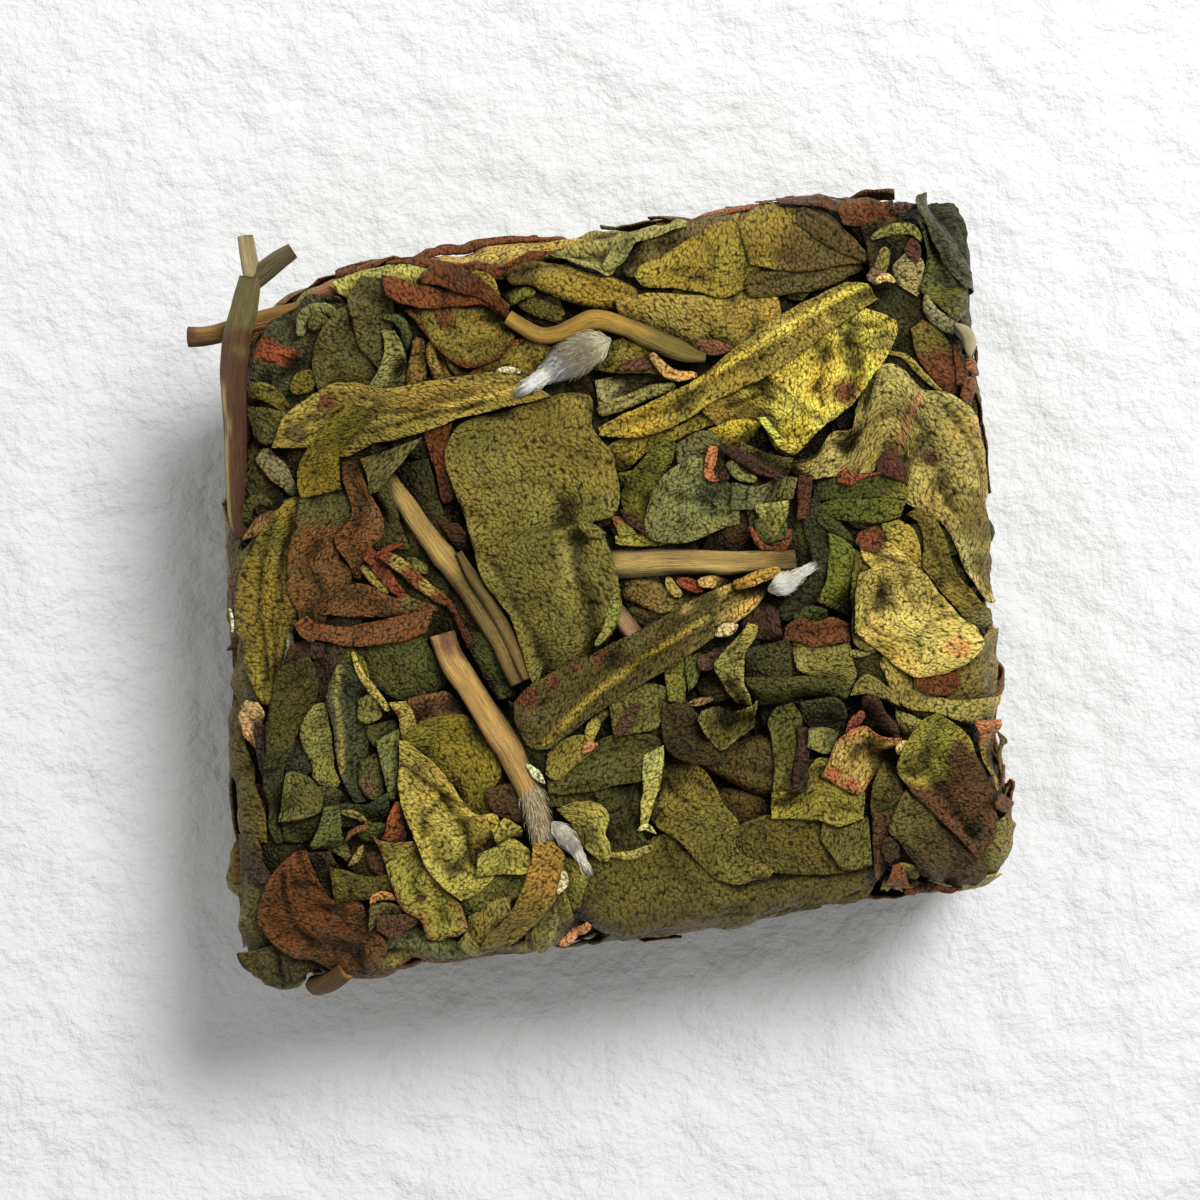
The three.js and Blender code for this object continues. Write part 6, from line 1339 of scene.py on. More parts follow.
# ---- Leaves of the left -----------------------------------------------------------------------
# Left of the stems lie red-brown leaves with a lens-shaped fold, long dark green folds at the edge,
# a tuft with silver hair, and the round chocolate-brown leaf of the front left corner.
LEFT_PIECES = [
    ("grey_tail", "leaf", [(-21.3, 10.9), (-20.3, 9.6), (-19.2, 8)], [0.5, 0.55, 0.25], -0.2,
     (110, 106, 84)),
    ("ridged_fold", "leaf", [(-19.9, 7.7), (-21.3, 6), (-22.4, 4.2), (-23.1, 2.2), (-23.4, 0.4),
     (-23.3, -1.4), (-22.9, -3.2), (-22.2, -4.9)], [(-18.9, 8), (-19.2, 6.2), (-19.6, 4.6), (-19.8, 3),
     (-19.7, 1.4), (-19.9, 0), (-20.8, -2), (-21.4, -4), (-21.6, -5)], -0.1, (118, 106, 46), {"curl": -0.9,
     "folds": 0.2, "creases": [[(-20.6, 6.6), (-21.6, 4), (-22, 1.2), (-22, -1.4), (-22.1, -4.2)],
     [(-19.6, 6.6), (-20.4, 3.4), (-20.7, 1), (-21.2, -1), (-21.6, -3.4)], [(-20.2, 5), (-20.9, 1.8),
     (-21.5, -0.8)]]}),
    ("white_bit", "roll", [(-23.8, 1.2), (-23.6, 0.5), (-23.5, -0.3)], [0.08, 0.17, 0.08], 0,
     (206, 196, 170)),
    ("tan_flake", "leaf", [(-23.2, -4.6), (-23.8, -5.6), (-23.8, -6.8), (-23.2, -7.9)], [(-22.4, -4.8),
     (-22.2, -5.5), (-22.7, -6.4), (-22.8, -8)], 0.5, (200, 158, 116), {"folds": 0.4, "size": (1.2, 0.6)}),
    ("plum_flake", "leaf", [(-22.9, -6), (-22.9, -7.6), (-22.9, -9.6)], [(-22.1, -6.3), (-22.1, -7.8),
     (-22.4, -9.8)], 0.3, (70, 52, 46)),
    ("silver_strip", "roll", [(-20.2, -0.6), (-20.3, -1.6), (-20.8, -2.8)], [0.15, 0.22, 0.15], 0,
     (134, 140, 124)),
    ("green_backing", "leaf", [(-16.8, -3), (-15.4, -4.1), (-14.2, -5.1), (-13, -5.4), (-11.4, -5),
     (-10.4, -4.2)], [(-17, -1.3), (-15, -1.3), (-13.4, -1.4), (-12.2, -1.4), (-11.4, -2.4), (-10.6, -3.2)],
     -0.3, (78, 82, 44), {"creases": [[(-15.6, -1.8), (-15.6, -3.2)], [(-14, -2.4), (-13.7, -4.6)]]}),
    ("green_bright_bit", "leaf", [(-16.9, -1.8), (-16.2, -2.8), (-15.6, -3.9)], [0.3, 0.42, 0.2], -0.1,
     (106, 108, 46)),
    ("grey_purple_strip", "leaf", [(-18.7, -1.5), (-18.9, -2.8), (-18.8, -4), (-18.5, -5.1)], [(-17, -1.4),
     (-17, -2.6), (-17.8, -3.6), (-18, -5)], -0.1, (76, 60, 50)),
    ("purple_leaf", "leaf", [(-20.8, -3), (-20, -2.4), (-18.8, -2.3), (-18.2, -2.2)], [(-20.3, -1.5),
     (-19.4, -1.1), (-18.6, -1.2), (-18.1, -1.5)], 0, (88, 62, 54)),
    ("dark_teal_bit", "leaf", [(-20.6, -7.2), (-20.4, -8.4), (-20.3, -9.6)], [0.7, 0.9, 0.7], -0.5,
     (66, 72, 54)),
    ("dark_shiny_low", "leaf", [(-22.4, -8), (-22.6, -9.6), (-22.6, -11.4), (-22.5, -13), (-22.2, -13.7)],
     [(-21, -7.8), (-21.2, -9.4), (-21.3, -11), (-21.5, -12.4), (-21.6, -13.6)], -0.1, (60, 64, 38)),
    ("dark_shiny_leaf", "leaf", [(-20.9, -2.6), (-21.5, -4), (-21.8, -5.4), (-22.1, -6.6), (-22.2, -8),
     (-22.4, -8.9)], [(-19.1, -2.1), (-18.7, -3.2), (-18.8, -4.4), (-19.3, -5.4), (-20, -6.6),
     (-20.6, -7.8),
     (-21.4, -8.9)], 0.1, (68, 68, 33)),
    ("light_green_upright", "leaf", [(-19, -5.1), (-19.7, -6), (-20, -7), (-19.8, -8), (-19.4, -9),
     (-19.5, -9.7), (-18.9, -10.3), (-18, -10.4)], [(-18.2, -5.1), (-18.2, -6.2), (-18.1, -7.2),
     (-18.1, -8.4), (-18.1, -9.2), (-17.8, -10.1)], 0.1, (118, 119, 66), {"side": ((98, 62, 52), -0.22)}),
    ("silver_hair_leaf", "leaf", [(-17.2, -2.5), (-18, -4), (-18.2, -5.4), (-17.9, -7), (-17.9, -8.6),
     (-17.7, -10), (-17, -11.6)], [(-16.9, -2.5), (-15.8, -3.8), (-15.3, -5), (-15.7, -6.6), (-15.9, -8.4),
     (-15.9, -9.8), (-15.9, -11.4)], 0.2, (72, 76, 56), {"curl": -0.5, "ribs": [([(-17.3, -3),
     (-17.7, -4.8),
     (-17.5, -6.4), (-17.6, -8.4), (-17.6, -9.6)], 0.14, (140, 134, 76))], "size": (4, 0.5), "folds": 0.3}),
    ("hair_leaf_curl", "leaf", [(-16.4, -8.8), (-16.6, -10.2), (-16, -11.3), (-15, -11.5)], [(-15.1, -8.4),
     (-15, -9.8), (-14.9, -10.8), (-14.7, -11.4)], 0, (82, 80, 48), {"patches": [((-16.4, -10.6), 0.4,
     (104, 70, 60))]}),
    ("dark_olive_tab", "leaf", [(-16, -6.8), (-15.8, -7.6), (-15.3, -8.3)], [(-14.2, -6.5), (-14, -7.1),
     (-14.6, -8)], 0, (80, 82, 44)),
    ("low_green_tab", "leaf", [(-16.4, -6.3), (-15.8, -6.7), (-14.9, -6.3)], [(-16.3, -5.1), (-15.6, -4.8),
     (-14.8, -5)], 0.1, (108, 110, 60)),
    ("upright_green", "leaf", [(-15.4, -7.7), (-15.2, -9), (-15, -10.2), (-14.9, -11.5)], [(-14, -7.1),
     (-13.7, -8.4), (-13.9, -9.8), (-14.3, -11.6)], 0.1, (104, 108, 66)),
    ("yellow_strip_left", "roll", [(-16.4, -2), (-15.9, -3.6), (-15.2, -4.7), (-14.4, -5.9)], [0.1, 0.2,
     0.24, 0.15], 0.1, (152, 138, 82)),
    ("papery_bit", "leaf", [(-13.3, -6.1), (-12.4, -7), (-11.4, -6.6), (-9.8, -6.8)], [(-13.2, -5.3),
     (-12, -5.1), (-10.8, -5), (-9.8, -6)], -0.1, (92, 64, 48), {"edge": (128, 94, 66), "folds": 0.45,
     "size": (1, 0.8)}),
    ("yellow_olive_bit", "leaf", [(-14.4, -5.4), (-13.9, -6.4), (-13.8, -7.3), (-13.6, -8)], [(-13.3, -5.4),
     (-12.9, -6.2), (-12.8, -7), (-13, -7.6)], 0.2, (142, 130, 68), {"patches": [((-14, -6.3), 0.3,
     (122, 72, 48))]}),
    ("dark_green_low", "leaf", [(-21.6, -13.5), (-20.6, -13.7), (-19.6, -13.7)], [(-21.7, -12.2),
     (-20.4, -12), (-18.8, -12.2)], -0.2, (62, 66, 35)),
    ("dark_grey_green", "leaf", [(-19.3, -12), (-18.6, -12), (-18, -11.5)], [(-19.3, -10.2), (-18.4, -10.2),
     (-17.7, -10.8)], -0.1, (74, 78, 52)),
    ("green_polygon", "leaf", [(-21.9, -12.3), (-21, -12.3), (-20, -12.2), (-19.2, -11.9), (-18.9, -11)],
     [(-21.4, -10.3), (-21.1, -9.2), (-20, -9.4), (-19.4, -9.9), (-19, -10.6)], 0.3, (104, 104, 58),
     {"folds": 0.2}),
    ("green_band", "leaf", [(-18.2, -12.9), (-17, -13), (-16, -13), (-14.9, -12.5)], [(-18.2, -11.5),
     (-17, -11.6), (-16, -11.6), (-14.8, -11)], -0.2, (66, 72, 43)),
    ("pale_rim_bit", "roll", [(-18, -12), (-17, -12.3), (-16.5, -12.8), (-16, -13)], [0.12, 0.22, 0.2, 0.1],
     0.1, (128, 118, 72)),
    ("green_triangle", "leaf", [(-18.9, -11.6), (-19.3, -12.7), (-20.1, -14.1), (-19.2, -14.3),
     (-18.4, -14.6), (-17.9, -15.1)], [(-18, -11.5), (-17.9, -12.6), (-17.9, -13.6), (-17.7, -14.2),
     (-17.5, -14.8)], 0.2, (98, 104, 62)),
    ("small_green_bit", "leaf", [(-16.9, -13.9), (-16, -14.1), (-15.2, -13.8)], [(-17, -13), (-16, -12.8),
     (-15.2, -12.8)], -0.2, (72, 78, 42)),
    ("brown_twists", "roll", [(-17.8, -13.9), (-17.3, -13.3), (-16.8, -13.1), (-16.2, -13)], [0.12, 0.2, 0.2,
     0.1], 0.1, (116, 84, 56)),
    ("tan_twists", "roll", [(-17.7, -15.4), (-17.2, -14.9), (-16.9, -14.4), (-16.7, -14.2)], [0.12, 0.22,
     0.2, 0.1], 0.1, (136, 116, 76)),
    ("brick_triangle", "leaf", [(-14.6, -11.6), (-15, -12.6), (-15.5, -13.9)], [(-13.9, -11.7), (-13.8, -13),
     (-14.1, -14.4)], 0, (142, 80, 50)),
    ("dark_red_bit", "leaf", [(-16.4, -14.7), (-15.8, -15.5), (-15.3, -16.2)], [0.3, 0.45, 0.3], -0.3,
     (84, 54, 44)),
    ("brown_leaf", "leaf", [(-18.9, 7.9), (-19.4, 6), (-19.9, 4.6), (-20.1, 3), (-20, 1.8), (-19.6, 0.6),
     (-19.6, -0.6), (-18.9, -1.3)], [(-16.6, 8.3), (-15.9, 8), (-15.6, 6.8), (-16.2, 5.6), (-16.8, 4),
     (-16.2, 3), (-16.4, 2), (-17.2, 1.4), (-17.8, 0.4), (-18.2, -0.5)], 0, (114, 80, 48),
     {"root": ((86, 84, 52), 0.36), "side": ((92, 90, 56), -0.1), "creases": [[(-17.2, 5), (-16.9, 4),
     (-16.4, 3.2)]], "folds": 0.2}),
    ("olive_behind_strip", "leaf", [(-15.2, 8.4), (-14.8, 6), (-14.6, 4.2)], [(-13.2, 8.2), (-12.8, 6),
     (-12.4, 4)], -0.8, (74, 72, 42)),
    ("brown_side_strip", "leaf", [(-16.1, 9.8), (-16.2, 8.6), (-15.8, 7), (-16, 6.2), (-17, 5.1),
     (-16.8, 4.2), (-16.2, 3.4), (-16, 2.5)], [(-14.9, 9.8), (-14.8, 8.6), (-14.4, 7.4), (-13.8, 6),
     (-14, 5), (-14.8, 4.2), (-15.3, 3), (-15.6, 2.4)], 0.2, (122, 83, 53), {"folds": 0.3}),
    ("dark_corner_fold", "leaf", [(-15, 9.9), (-14.6, 8.6), (-14.6, 7.6)], [(-11.1, 10.9), (-12.2, 9.6),
     (-13.8, 7.8)], 0.1, (92, 90, 54), {"curl": -0.6}),
    ("green_bit_left", "leaf", [(-12.7, 2.6), (-12, 2.5), (-11.3, 2.4)], [(-12.6, 3.5), (-12, 3.5),
     (-11.3, 3)], -0.3, (106, 108, 52)),
    ("cream_sliver", "leaf", [(-15.4, 3.2), (-14.6, 2.2), (-13.9, 1.4)], [0.2, 0.3, 0.2], 0.1,
     (150, 132, 72)),
    ("red_sliver_short", "leaf", [(-15.3, 3.6), (-14.5, 2.4), (-13.7, 1.4), (-12.9, 0.8)], [(-14.8, 4.4),
     (-14, 3.4), (-13.3, 2), (-12.5, 0.9)], 0.2, (150, 78, 52), {"curl": -0.4}),
    ("red_sliver_high", "roll", [(-12.7, 4.4), (-13.6, 4.1), (-14.5, 3.7)], [0.1, 0.22, 0.2], 0.2,
     (142, 68, 50)),
    ("red_sliver_long", "leaf", [(-14.3, 3.7), (-13.1, 2.5), (-12.1, 1.5), (-11.1, 0.8), (-10.2, 0),
     (-9.7, -1.2), (-9.3, -2.5)], [(-13.7, 4), (-12.5, 3.1), (-11.3, 1.9), (-10.1, 0.8), (-9.6, -0.4),
     (-9, -1.6), (-8.9, -2.3)], 0.3, (132, 76, 48), {"patches": [((-13, 3.3), 0.45, (146, 126, 66)),
     ((-11.2, 1.6), 0.4, (146, 126, 66))], "tip": ((112, 56, 46), 0.35)}),
    ("red_lens_high", "leaf", [(-18.2, 0.3), (-17, 0.1), (-15.5, 0), (-14, -0.1), (-12.4, -0.1),
     (-10.9, 0.1)], [(-17.7, 1), (-16.4, 2.1), (-15, 2), (-13.6, 1.2), (-12.2, 1), (-10.8, 0.3)], 0.1,
     (112, 78, 50), {"patches": [((-12.6, 0.8), 0.5, (100, 92, 56))]}),
    ("red_lens_low", "leaf", [(-19.5, -0.9), (-18, -1.3), (-16.6, -1.7), (-14.8, -1.8), (-13, -1.6),
     (-11.7, -1.3)], [(-19.3, -0.1), (-18.2, -0.2), (-16.8, -0.5), (-14.8, -0.3), (-13, 0), (-11.1, 0.2)],
     0.3, (112, 78, 50), {"edge": (128, 78, 48), "curl": -0.5}),
    ("lens_fold_tip", "leaf", [(-19.8, 0), (-19.5, -0.8), (-18.8, -1.3)], [(-19, 0.4), (-18.4, -0.2),
     (-18.2, -0.8)], 0.3, (122, 78, 48)),
    ("disc_shade", "leaf", [(-20.4, -14.4), (-19.8, -15.8), (-19, -17.4)], [(-18.8, -14.4), (-18.3, -15.6),
     (-18, -17.6)], 0, (66, 60, 46)),
    ("small_olive_leaf", "leaf", [(-18.8, -17.5), (-17.4, -17.8), (-16, -17.5), (-14.8, -17.5)],
     [(-18.9, -15.4), (-17.6, -15.8), (-16.4, -16.2), (-15, -16)], 0, (88, 84, 38)),
    ("brown_disc_leaf", "leaf", [(-21, -14.3), (-22.2, -15.3), (-23.1, -16.6), (-23.6, -18.3),
     (-23.2, -19.4), (-22, -20.4), (-20.6, -21.3), (-19.2, -22), (-18.2, -22.3)], [(-20.2, -14.2),
     (-19.9, -15.4), (-19.4, -16.6), (-18.6, -17.6), (-17.1, -17.8), (-16.8, -18.8), (-16.2, -19.8),
     (-15.8, -20.8), (-16.5, -21.7), (-17.6, -22.2)], 0.3, (104, 67, 42), {"folds": 0.2,
     "patches": [((-20.9, -15.1), 0.8, (140, 84, 55)), ((-18.6, -18.2), 0.5, (84, 62, 42))],
     "creases": [[(-21.9, -15.5), (-22, -17), (-21.5, -18.6), (-20.6, -19.8)], [(-21.4, -16.4),
     (-20.2, -16.3), (-19.2, -17), (-18.3, -17.8)]]}),
    ("orange_curl", "roll", [(-16.5, -18), (-16.3, -17.5), (-15.6, -17.4), (-14.8, -17.7)], [0.15, 0.24,
     0.24, 0.12], 0.2, (186, 138, 88)),
    ("olive_nook", "leaf", [(-16.8, -19.6), (-15.8, -19), (-14.6, -18.9)], [(-16.6, -18), (-15.7, -17.8),
     (-14.6, -18.2)], 0, (108, 102, 66)),
    ("brown_triangle", "leaf", [(-16.3, -19.5), (-15.3, -20.2), (-14.4, -19.7), (-13.4, -19.4)],
     [(-16.1, -18.6), (-15.2, -18.6), (-14.3, -18.7), (-13.3, -18.8)], 0.3, (102, 72, 56)),
    ("front_stub", "stem", [(-21.4, -23.4), (-20.2, -22.9), (-18.6, -22)], [0.66, 0.62, 0.55], -0.3,
     (96, 72, 40), {"pith": (176, 128, 66)}),
]

left_heap = lay_pieces(LEFT_PIECES)
add_piece("left_leaves", left_heap["leaf"], LEAF_SKIN)
add_piece("left_stub", left_heap["stem"], BARK)


# ---- Leaves of the front ----------------------------------------------------------------------
# At the front are light yellow-green leaves on the left, dark green ones in the middle, and the
# brown and yellow leaves that close the right corner.
FRONT_PIECES = [
    ("rich_green_leaf", "leaf", [(-13.8, -7.6), (-12.7, -8.8), (-11.5, -10.2), (-10.2, -12.2), (-9.3, -13)],
     [(-12.5, -6.7), (-11.4, -6.5), (-9.6, -6.6), (-8.1, -8.5), (-7.8, -10.5), (-8.4, -11.4),
     (-8.6, -12.8)],
     -0.1, (114, 107, 38), {"folds": 0.14}),
    ("stem_brown_gap", "leaf", [(-8.9, -11.2), (-8.6, -12.6), (-8, -13.2)], [(-7, -11), (-6.6, -12.4),
     (-6.6, -13.6)], -0.7, (84, 62, 40)),
    ("lime_fold_low", "leaf", [(-11.2, -19.4), (-9.6, -19.2), (-8.2, -18.6), (-6.6, -17.8)], [(-11, -16.8),
     (-9.6, -16.5), (-8, -16.4), (-6.2, -16.4)], -0.2, (108, 108, 54), {"patches": [((-8.1, -18.2), 0.5,
     (110, 82, 56))], "folds": 0.4}),
    ("olive_tan_bits", "leaf", [(-10.8, -20.2), (-10, -20.9), (-9.2, -20.2), (-7.9, -19)], [(-10.5, -19.1),
     (-9.6, -18.7), (-8.6, -18.2), (-7.8, -18.1)], 0, (134, 120, 64)),
    ("olive_tab", "leaf", [(-11.4, -20.5), (-10.9, -21.1), (-10.3, -21.6)], [(-10.7, -19.8), (-10.2, -20.5),
     (-9.7, -21)], 0.2, (136, 126, 66)),
    ("lime_leaf_low", "leaf", [(-16, -13.6), (-15.6, -14.9), (-15.3, -16), (-15, -17.2), (-14.5, -18.4),
     (-13.5, -19.1), (-13.1, -20.1), (-12.1, -20.3)], [(-15.6, -13.9), (-14.6, -14.1), (-13.5, -14.3),
     (-13, -15.6), (-12.4, -16.6), (-11.4, -17.6), (-10.8, -18.8), (-10.6, -19.7)], 0, (144, 135, 63),
     {"patches": [((-13.4, -17.8), 0.3, (100, 70, 48)), ((-16, -13.7), 0.5, (156, 94, 64))],
     "creases": [[(-13.1, -15.8), (-13.8, -16.8), (-13.5, -17.8)]], "edge": (138, 102, 62), "folds": 0.22}),
    ("lime_leaf", "leaf", [(-13.9, -7.8), (-14, -9.4), (-14.2, -11), (-13.9, -12.8), (-13.3, -14.6),
     (-12.7, -16.2), (-11.8, -17.3), (-10.9, -18.1)], [(-13.5, -7.8), (-12.4, -8.9), (-11.2, -10.3),
     (-10.2, -12), (-9.4, -12.8), (-8.3, -12.9), (-8, -14.6), (-8.2, -16.2), (-9.5, -17.5), (-10.4, -18)],
     0.6, (164, 151, 77), {"hold": 0.85, "folds": 0.2, "creases": [[(-13.9, -9.2), (-12.6, -10.3),
     (-11.5, -11.5), (-10.3, -12.2), (-9.4, -12.7)], [(-11.5, -11.6), (-12.9, -12.9), (-13, -14.6)],
     [(-10.2, -13.6),
     (-10.2, -15.4), (-9.6, -16.4)], [(-11.2, -16), (-9.8, -16.6), (-8.4, -16.5)]]}),
    ("lime_flap", "leaf", [(-8.6, -13.8), (-8.2, -14.9), (-7.4, -14.8)], [(-7.7, -13.1), (-6.8, -13.8),
     (-6.8, -14.4)], 0.1, (144, 138, 74)),
    ("lime_crumple", "leaf", [(-9.8, -16.8), (-8.4, -16.6), (-6.3, -16.7)], [(-9.6, -15.4), (-8.4, -14.9),
     (-7.4, -14.5), (-6.5, -15.2), (-6, -15.9)], 0.2, (146, 138, 70), {"folds": 0.35}),
    ("forest_low_left", "leaf", [(-4.9, -12.6), (-3.4, -13), (-1.6, -13.2)], [(-4.9, -11.6), (-3.4, -11.6),
     (-1.6, -11.8)], -0.4, (74, 74, 37)),
    ("forest_leaf", "leaf", [(-2.2, -11.2), (-2, -12.4), (-1.7, -13.4), (-1.5, -14.6), (-1.4, -16)],
     [(1.2, -10), (1.1, -11.6), (0.9, -13), (0.7, -14.4), (1.2, -15.6)], 0, (66, 68, 39),
     {"creases": [[(-1.6, -12.8), (-1.4, -14.4)], [(0.1, -11.6), (0.1, -13.8), (0.6, -14.6)], [(-1.4, -15),
     (-0.2, -15.6), (1, -15.4)]]}),
    ("forest_rim", "roll", [(-1.5, -15.9), (-0.4, -16.1), (0.6, -15.9), (1.3, -15.6)], [0.15, 0.24, 0.24,
     0.15], 0.1, (140, 132, 78)),
    ("forest_wing", "leaf", [(-4.9, -11.9), (-3.4, -12), (-2, -11.9), (-0.8, -11.7), (1.1, -11.5)],
     [(-4.9, -10.9), (-3.6, -10.3), (-2.4, -9.5), (-1.2, -8.7), (0.2, -8.5), (1.6, -8.6), (2.5, -9.2)], 0.2,
     (84, 84, 43), {"creases": [[(-4.2, -11.8), (-2.8, -11.5), (-1.2, -11.7)]], "folds": 0.2}),
    ("pebbled_leaf", "leaf", [(2.3, -10.3), (2, -11.8), (1.3, -13.4), (1.7, -14.4), (2.9, -15.5), (4, -16.8),
     (5, -17.8), (6.6, -18.3), (8.2, -18.2)], [(3.4, -10.4), (4.6, -10.8), (5.5, -12.2), (5.8, -13.2),
     (6.7, -14.4), (6.5, -15.6), (6.9, -16.6), (7.9, -17.1), (8.7, -17.7)], 0.3, (112, 103, 51),
     {"folds": 0.3, "creases": [[(2.4, -11.6), (3.2, -12.8), (3.8, -13.2)], [(4.4, -12), (5.4, -12.4)]]}),
    ("pale_flap_front", "leaf", [(1.2, -9.9), (1, -11), (1, -12.2), (0.75, -13.2), (0.7, -14.4)],
     [(2.5, -9.4), (2.3, -10.8), (2.1, -12), (1.6, -13), (1.2, -14.4)], 0.5, (163, 160, 95),
     {"folds": 0.12}),
    ("cream_point", "leaf", [(0.5, -14.6), (1, -14.4), (1.6, -14.9)], [0.1, 0.18, 0.06], 0.3,
     (180, 172, 116)),
    ("pale_small_leaf", "leaf", [(-4.5, -12.8), (-3.8, -13.7), (-3.3, -14.7), (-2.9, -15.5), (-2, -16.3)],
     [(-3.4, -12.5), (-2.4, -12.5), (-1.5, -13), (-1.3, -13.8), (-1.6, -14.6), (-1.3, -15.3),
     (-1.4, -16.3)],
     0.4, (152, 144, 75)),
    ("sheath_wing", "leaf", [(-4.4, -15.8), (-4.5, -17), (-4.5, -18), (-3.9, -19.1)], [(-2.7, -16),
     (-2.7, -17), (-3.1, -18), (-3.5, -18.9)], 0, (122, 114, 53), {"patches": [((-3.3, -17.2), 0.4,
     (130, 132, 64))]}),
    ("sheath_leaf", "leaf", [(-5, -17.7), (-5.8, -19.2), (-6.7, -20.4), (-6.7, -21.4), (-6.5, -22.3)],
     [(-4.4, -17.8), (-4.1, -18.8), (-4, -20), (-4.4, -21.2), (-5.1, -22.3)], 0.2, (114, 106, 52),
     {"ribs": [([(-4.9, -18.6), (-5.1, -20), (-5.7, -21.5)], 0.12, (152, 142, 88))]}),
    ("salmon_bit", "roll", [(-3, -20.2), (-3.6, -20.9), (-4.3, -21.4), (-5.1, -21.7)], [0.2, 0.28, 0.28,
     0.16], 0.3, (198, 140, 108)),
    ("yellow_olive_fold", "leaf", [(-5, -10.6), (-4.3, -11.1), (-3.2, -10.3), (-2.1, -9.7)], [(-4.8, -9.4),
     (-3.6, -8.6), (-2.4, -8.4), (-1.8, -8.8)], 0.1, (128, 118, 57)),
    ("yellow_curl", "roll", [(-0.6, -7.1), (-1.4, -7.4), (-2, -8.2), (-2.1, -9)], [0.15, 0.3, 0.34, 0.2],
     0.1, (154, 146, 75)),
    ("salmon_triangle", "leaf", [(-2.6, -9.5), (-2.1, -9.1), (-1.6, -9)], [0.1, 0.28, 0.1], 0.3,
     (174, 116, 90)),
    ("fuzzy_leaf", "leaf", [(-0.6, -8.6), (0.8, -8.5), (2, -8.3), (2.9, -7.4)], [(-0.7, -6.4), (0.6, -6),
     (1.8, -5.5), (3.1, -5.8)], -0.1, (104, 102, 56), {"folds": 0.35}),
    ("purple_streak", "roll", [(1.2, -6.7), (0.4, -7.6), (-0.5, -8.7)], [0.2, 0.32, 0.2], 0.1,
     (100, 68, 62)),
    ("green_slip", "leaf", [(2.9, -4), (2.9, -5.4), (3, -6.7)], [(4.2, -4), (4.3, -5.4), (4, -7)], 0,
     (114, 116, 53), {"side": ((124, 76, 58), -0.2)}),
    ("green_behind_slip", "leaf", [(4.2, -4), (4.3, -5.2), (4.4, -6.2)], [(5.3, -3.8), (5.2, -5),
     (4.9, -5.8)], -0.3, (94, 98, 54)),
    ("plum_low", "leaf", [(5, -4.6), (6.4, -4.2), (7.4, -3.9)], [0.45, 0.5, 0.35], -0.5, (84, 60, 52)),
    ("plum_bits", "leaf", [(7.9, -2.4), (9, -3.3), (10.4, -3.1)], [(8.3, -1.5), (9.4, -0.9), (10.3, -1.5)],
     -0.2, (84, 55, 47), {"folds": 0.4, "size": (1, 0.8)}),
    ("dark_right_bits", "leaf", [(8, -5.6), (9.4, -6.2), (10.8, -6)], [(8, -3.9), (9.4, -3.6), (10.8, -3.4)],
     -0.9, (66, 66, 38)),
    ("deep_green_leaf", "leaf", [(8.4, -7.4), (10.4, -7.6), (12.2, -7.6), (14, -7.6)], [(7.8, -5.5),
     (10, -5.8), (12, -5.8), (13.6, -6.1), (14.4, -6.9)], -0.3, (74, 76, 43)),
    ("deep_green_low", "leaf", [(11.2, -7.4), (11.4, -8.6), (12, -9.6)], [(13.2, -7.2), (14, -8),
     (13.8, -9.8)], -0.3, (68, 70, 46)),
    ("light_olive_twist", "leaf", [(8.3, -2.2), (7.5, -3.1), (6.7, -3.8), (6, -4.6), (6.2, -5.6),
     (6.9, -6.7), (7.6, -7.5)], [(8.9, -2.4), (8.7, -3.2), (8.1, -4), (7.9, -5), (7.8, -6), (8.1, -6.7),
     (8.2, -7.4)], 0.3, (136, 130, 74), {"creases": [[(6.1, -5), (7.2, -4.6), (8, -4)]]}),
    ("tan_scraps", "roll", [(4.2, -7), (5, -6.9), (5.8, -6.8)], [0.12, 0.24, 0.12], 0.1, (152, 120, 86)),
    ("deep_brown_leaf", "leaf", [(2.6, -6.9), (2.5, -8.6), (2.9, -10), (4, -10.7), (5.2, -10.9)],
     [(4.2, -6.8), (5, -8), (5.7, -9), (6.2, -10), (6, -10.7)], -0.2, (66, 60, 37)),
    ("round_olive_leaf", "leaf", [(4.7, -8), (5.3, -9.1), (6, -10), (7, -9.5), (8.3, -8.8)], [(5, -7.5),
     (6, -7.3), (7, -7.7), (8, -7.5), (8.6, -7.1)], 0.1, (88, 84, 41), {"edge": (120, 114, 70)}),
    ("upright_dark_leaf", "leaf", [(9.7, -7.6), (9.1, -8.5), (9.3, -9.6), (9.2, -11.4), (9, -12.8)],
     [(10.8, -7.4), (11.2, -8.4), (11, -9.6), (10.9, -11), (10.5, -12.9)], 0.3, (96, 96, 47)),
    ("purple_upright_strip", "leaf", [(10.9, -8.8), (10.8, -10), (10.5, -11.4), (10.2, -12.9)],
     [(11.7, -9.1), (11.5, -10.4), (11.3, -11.6), (11.2, -13)], 0.3, (72, 50, 46)),
    ("pale_green_bit", "leaf", [(11.4, -10.2), (12.4, -10.7), (13.2, -10.4)], [(11.6, -9.1), (12.6, -9.1),
     (13.5, -9.4)], 0.2, (126, 126, 76)),
    ("light_fold_right", "leaf", [(14.3, -7.2), (15.6, -7.3), (17.3, -8.1)], [(14.7, -6.5), (15.5, -6),
     (17, -7.2)], 0.1, (116, 112, 66)),
    ("light_olive_right", "leaf", [(16.9, -9.8), (17.6, -10.3), (18.4, -9.8)], [(17.1, -8.3), (17.8, -8.6),
     (18.7, -9.1)], 0, (130, 124, 73)),
    ("plum_leaf", "leaf", [(15, -7.3), (15, -8.6), (15.4, -9.7), (16.1, -10.3)], [(16, -7.3), (16.4, -8.4),
     (17.1, -9.4), (17.1, -10.3)], 0.1, (80, 54, 50)),
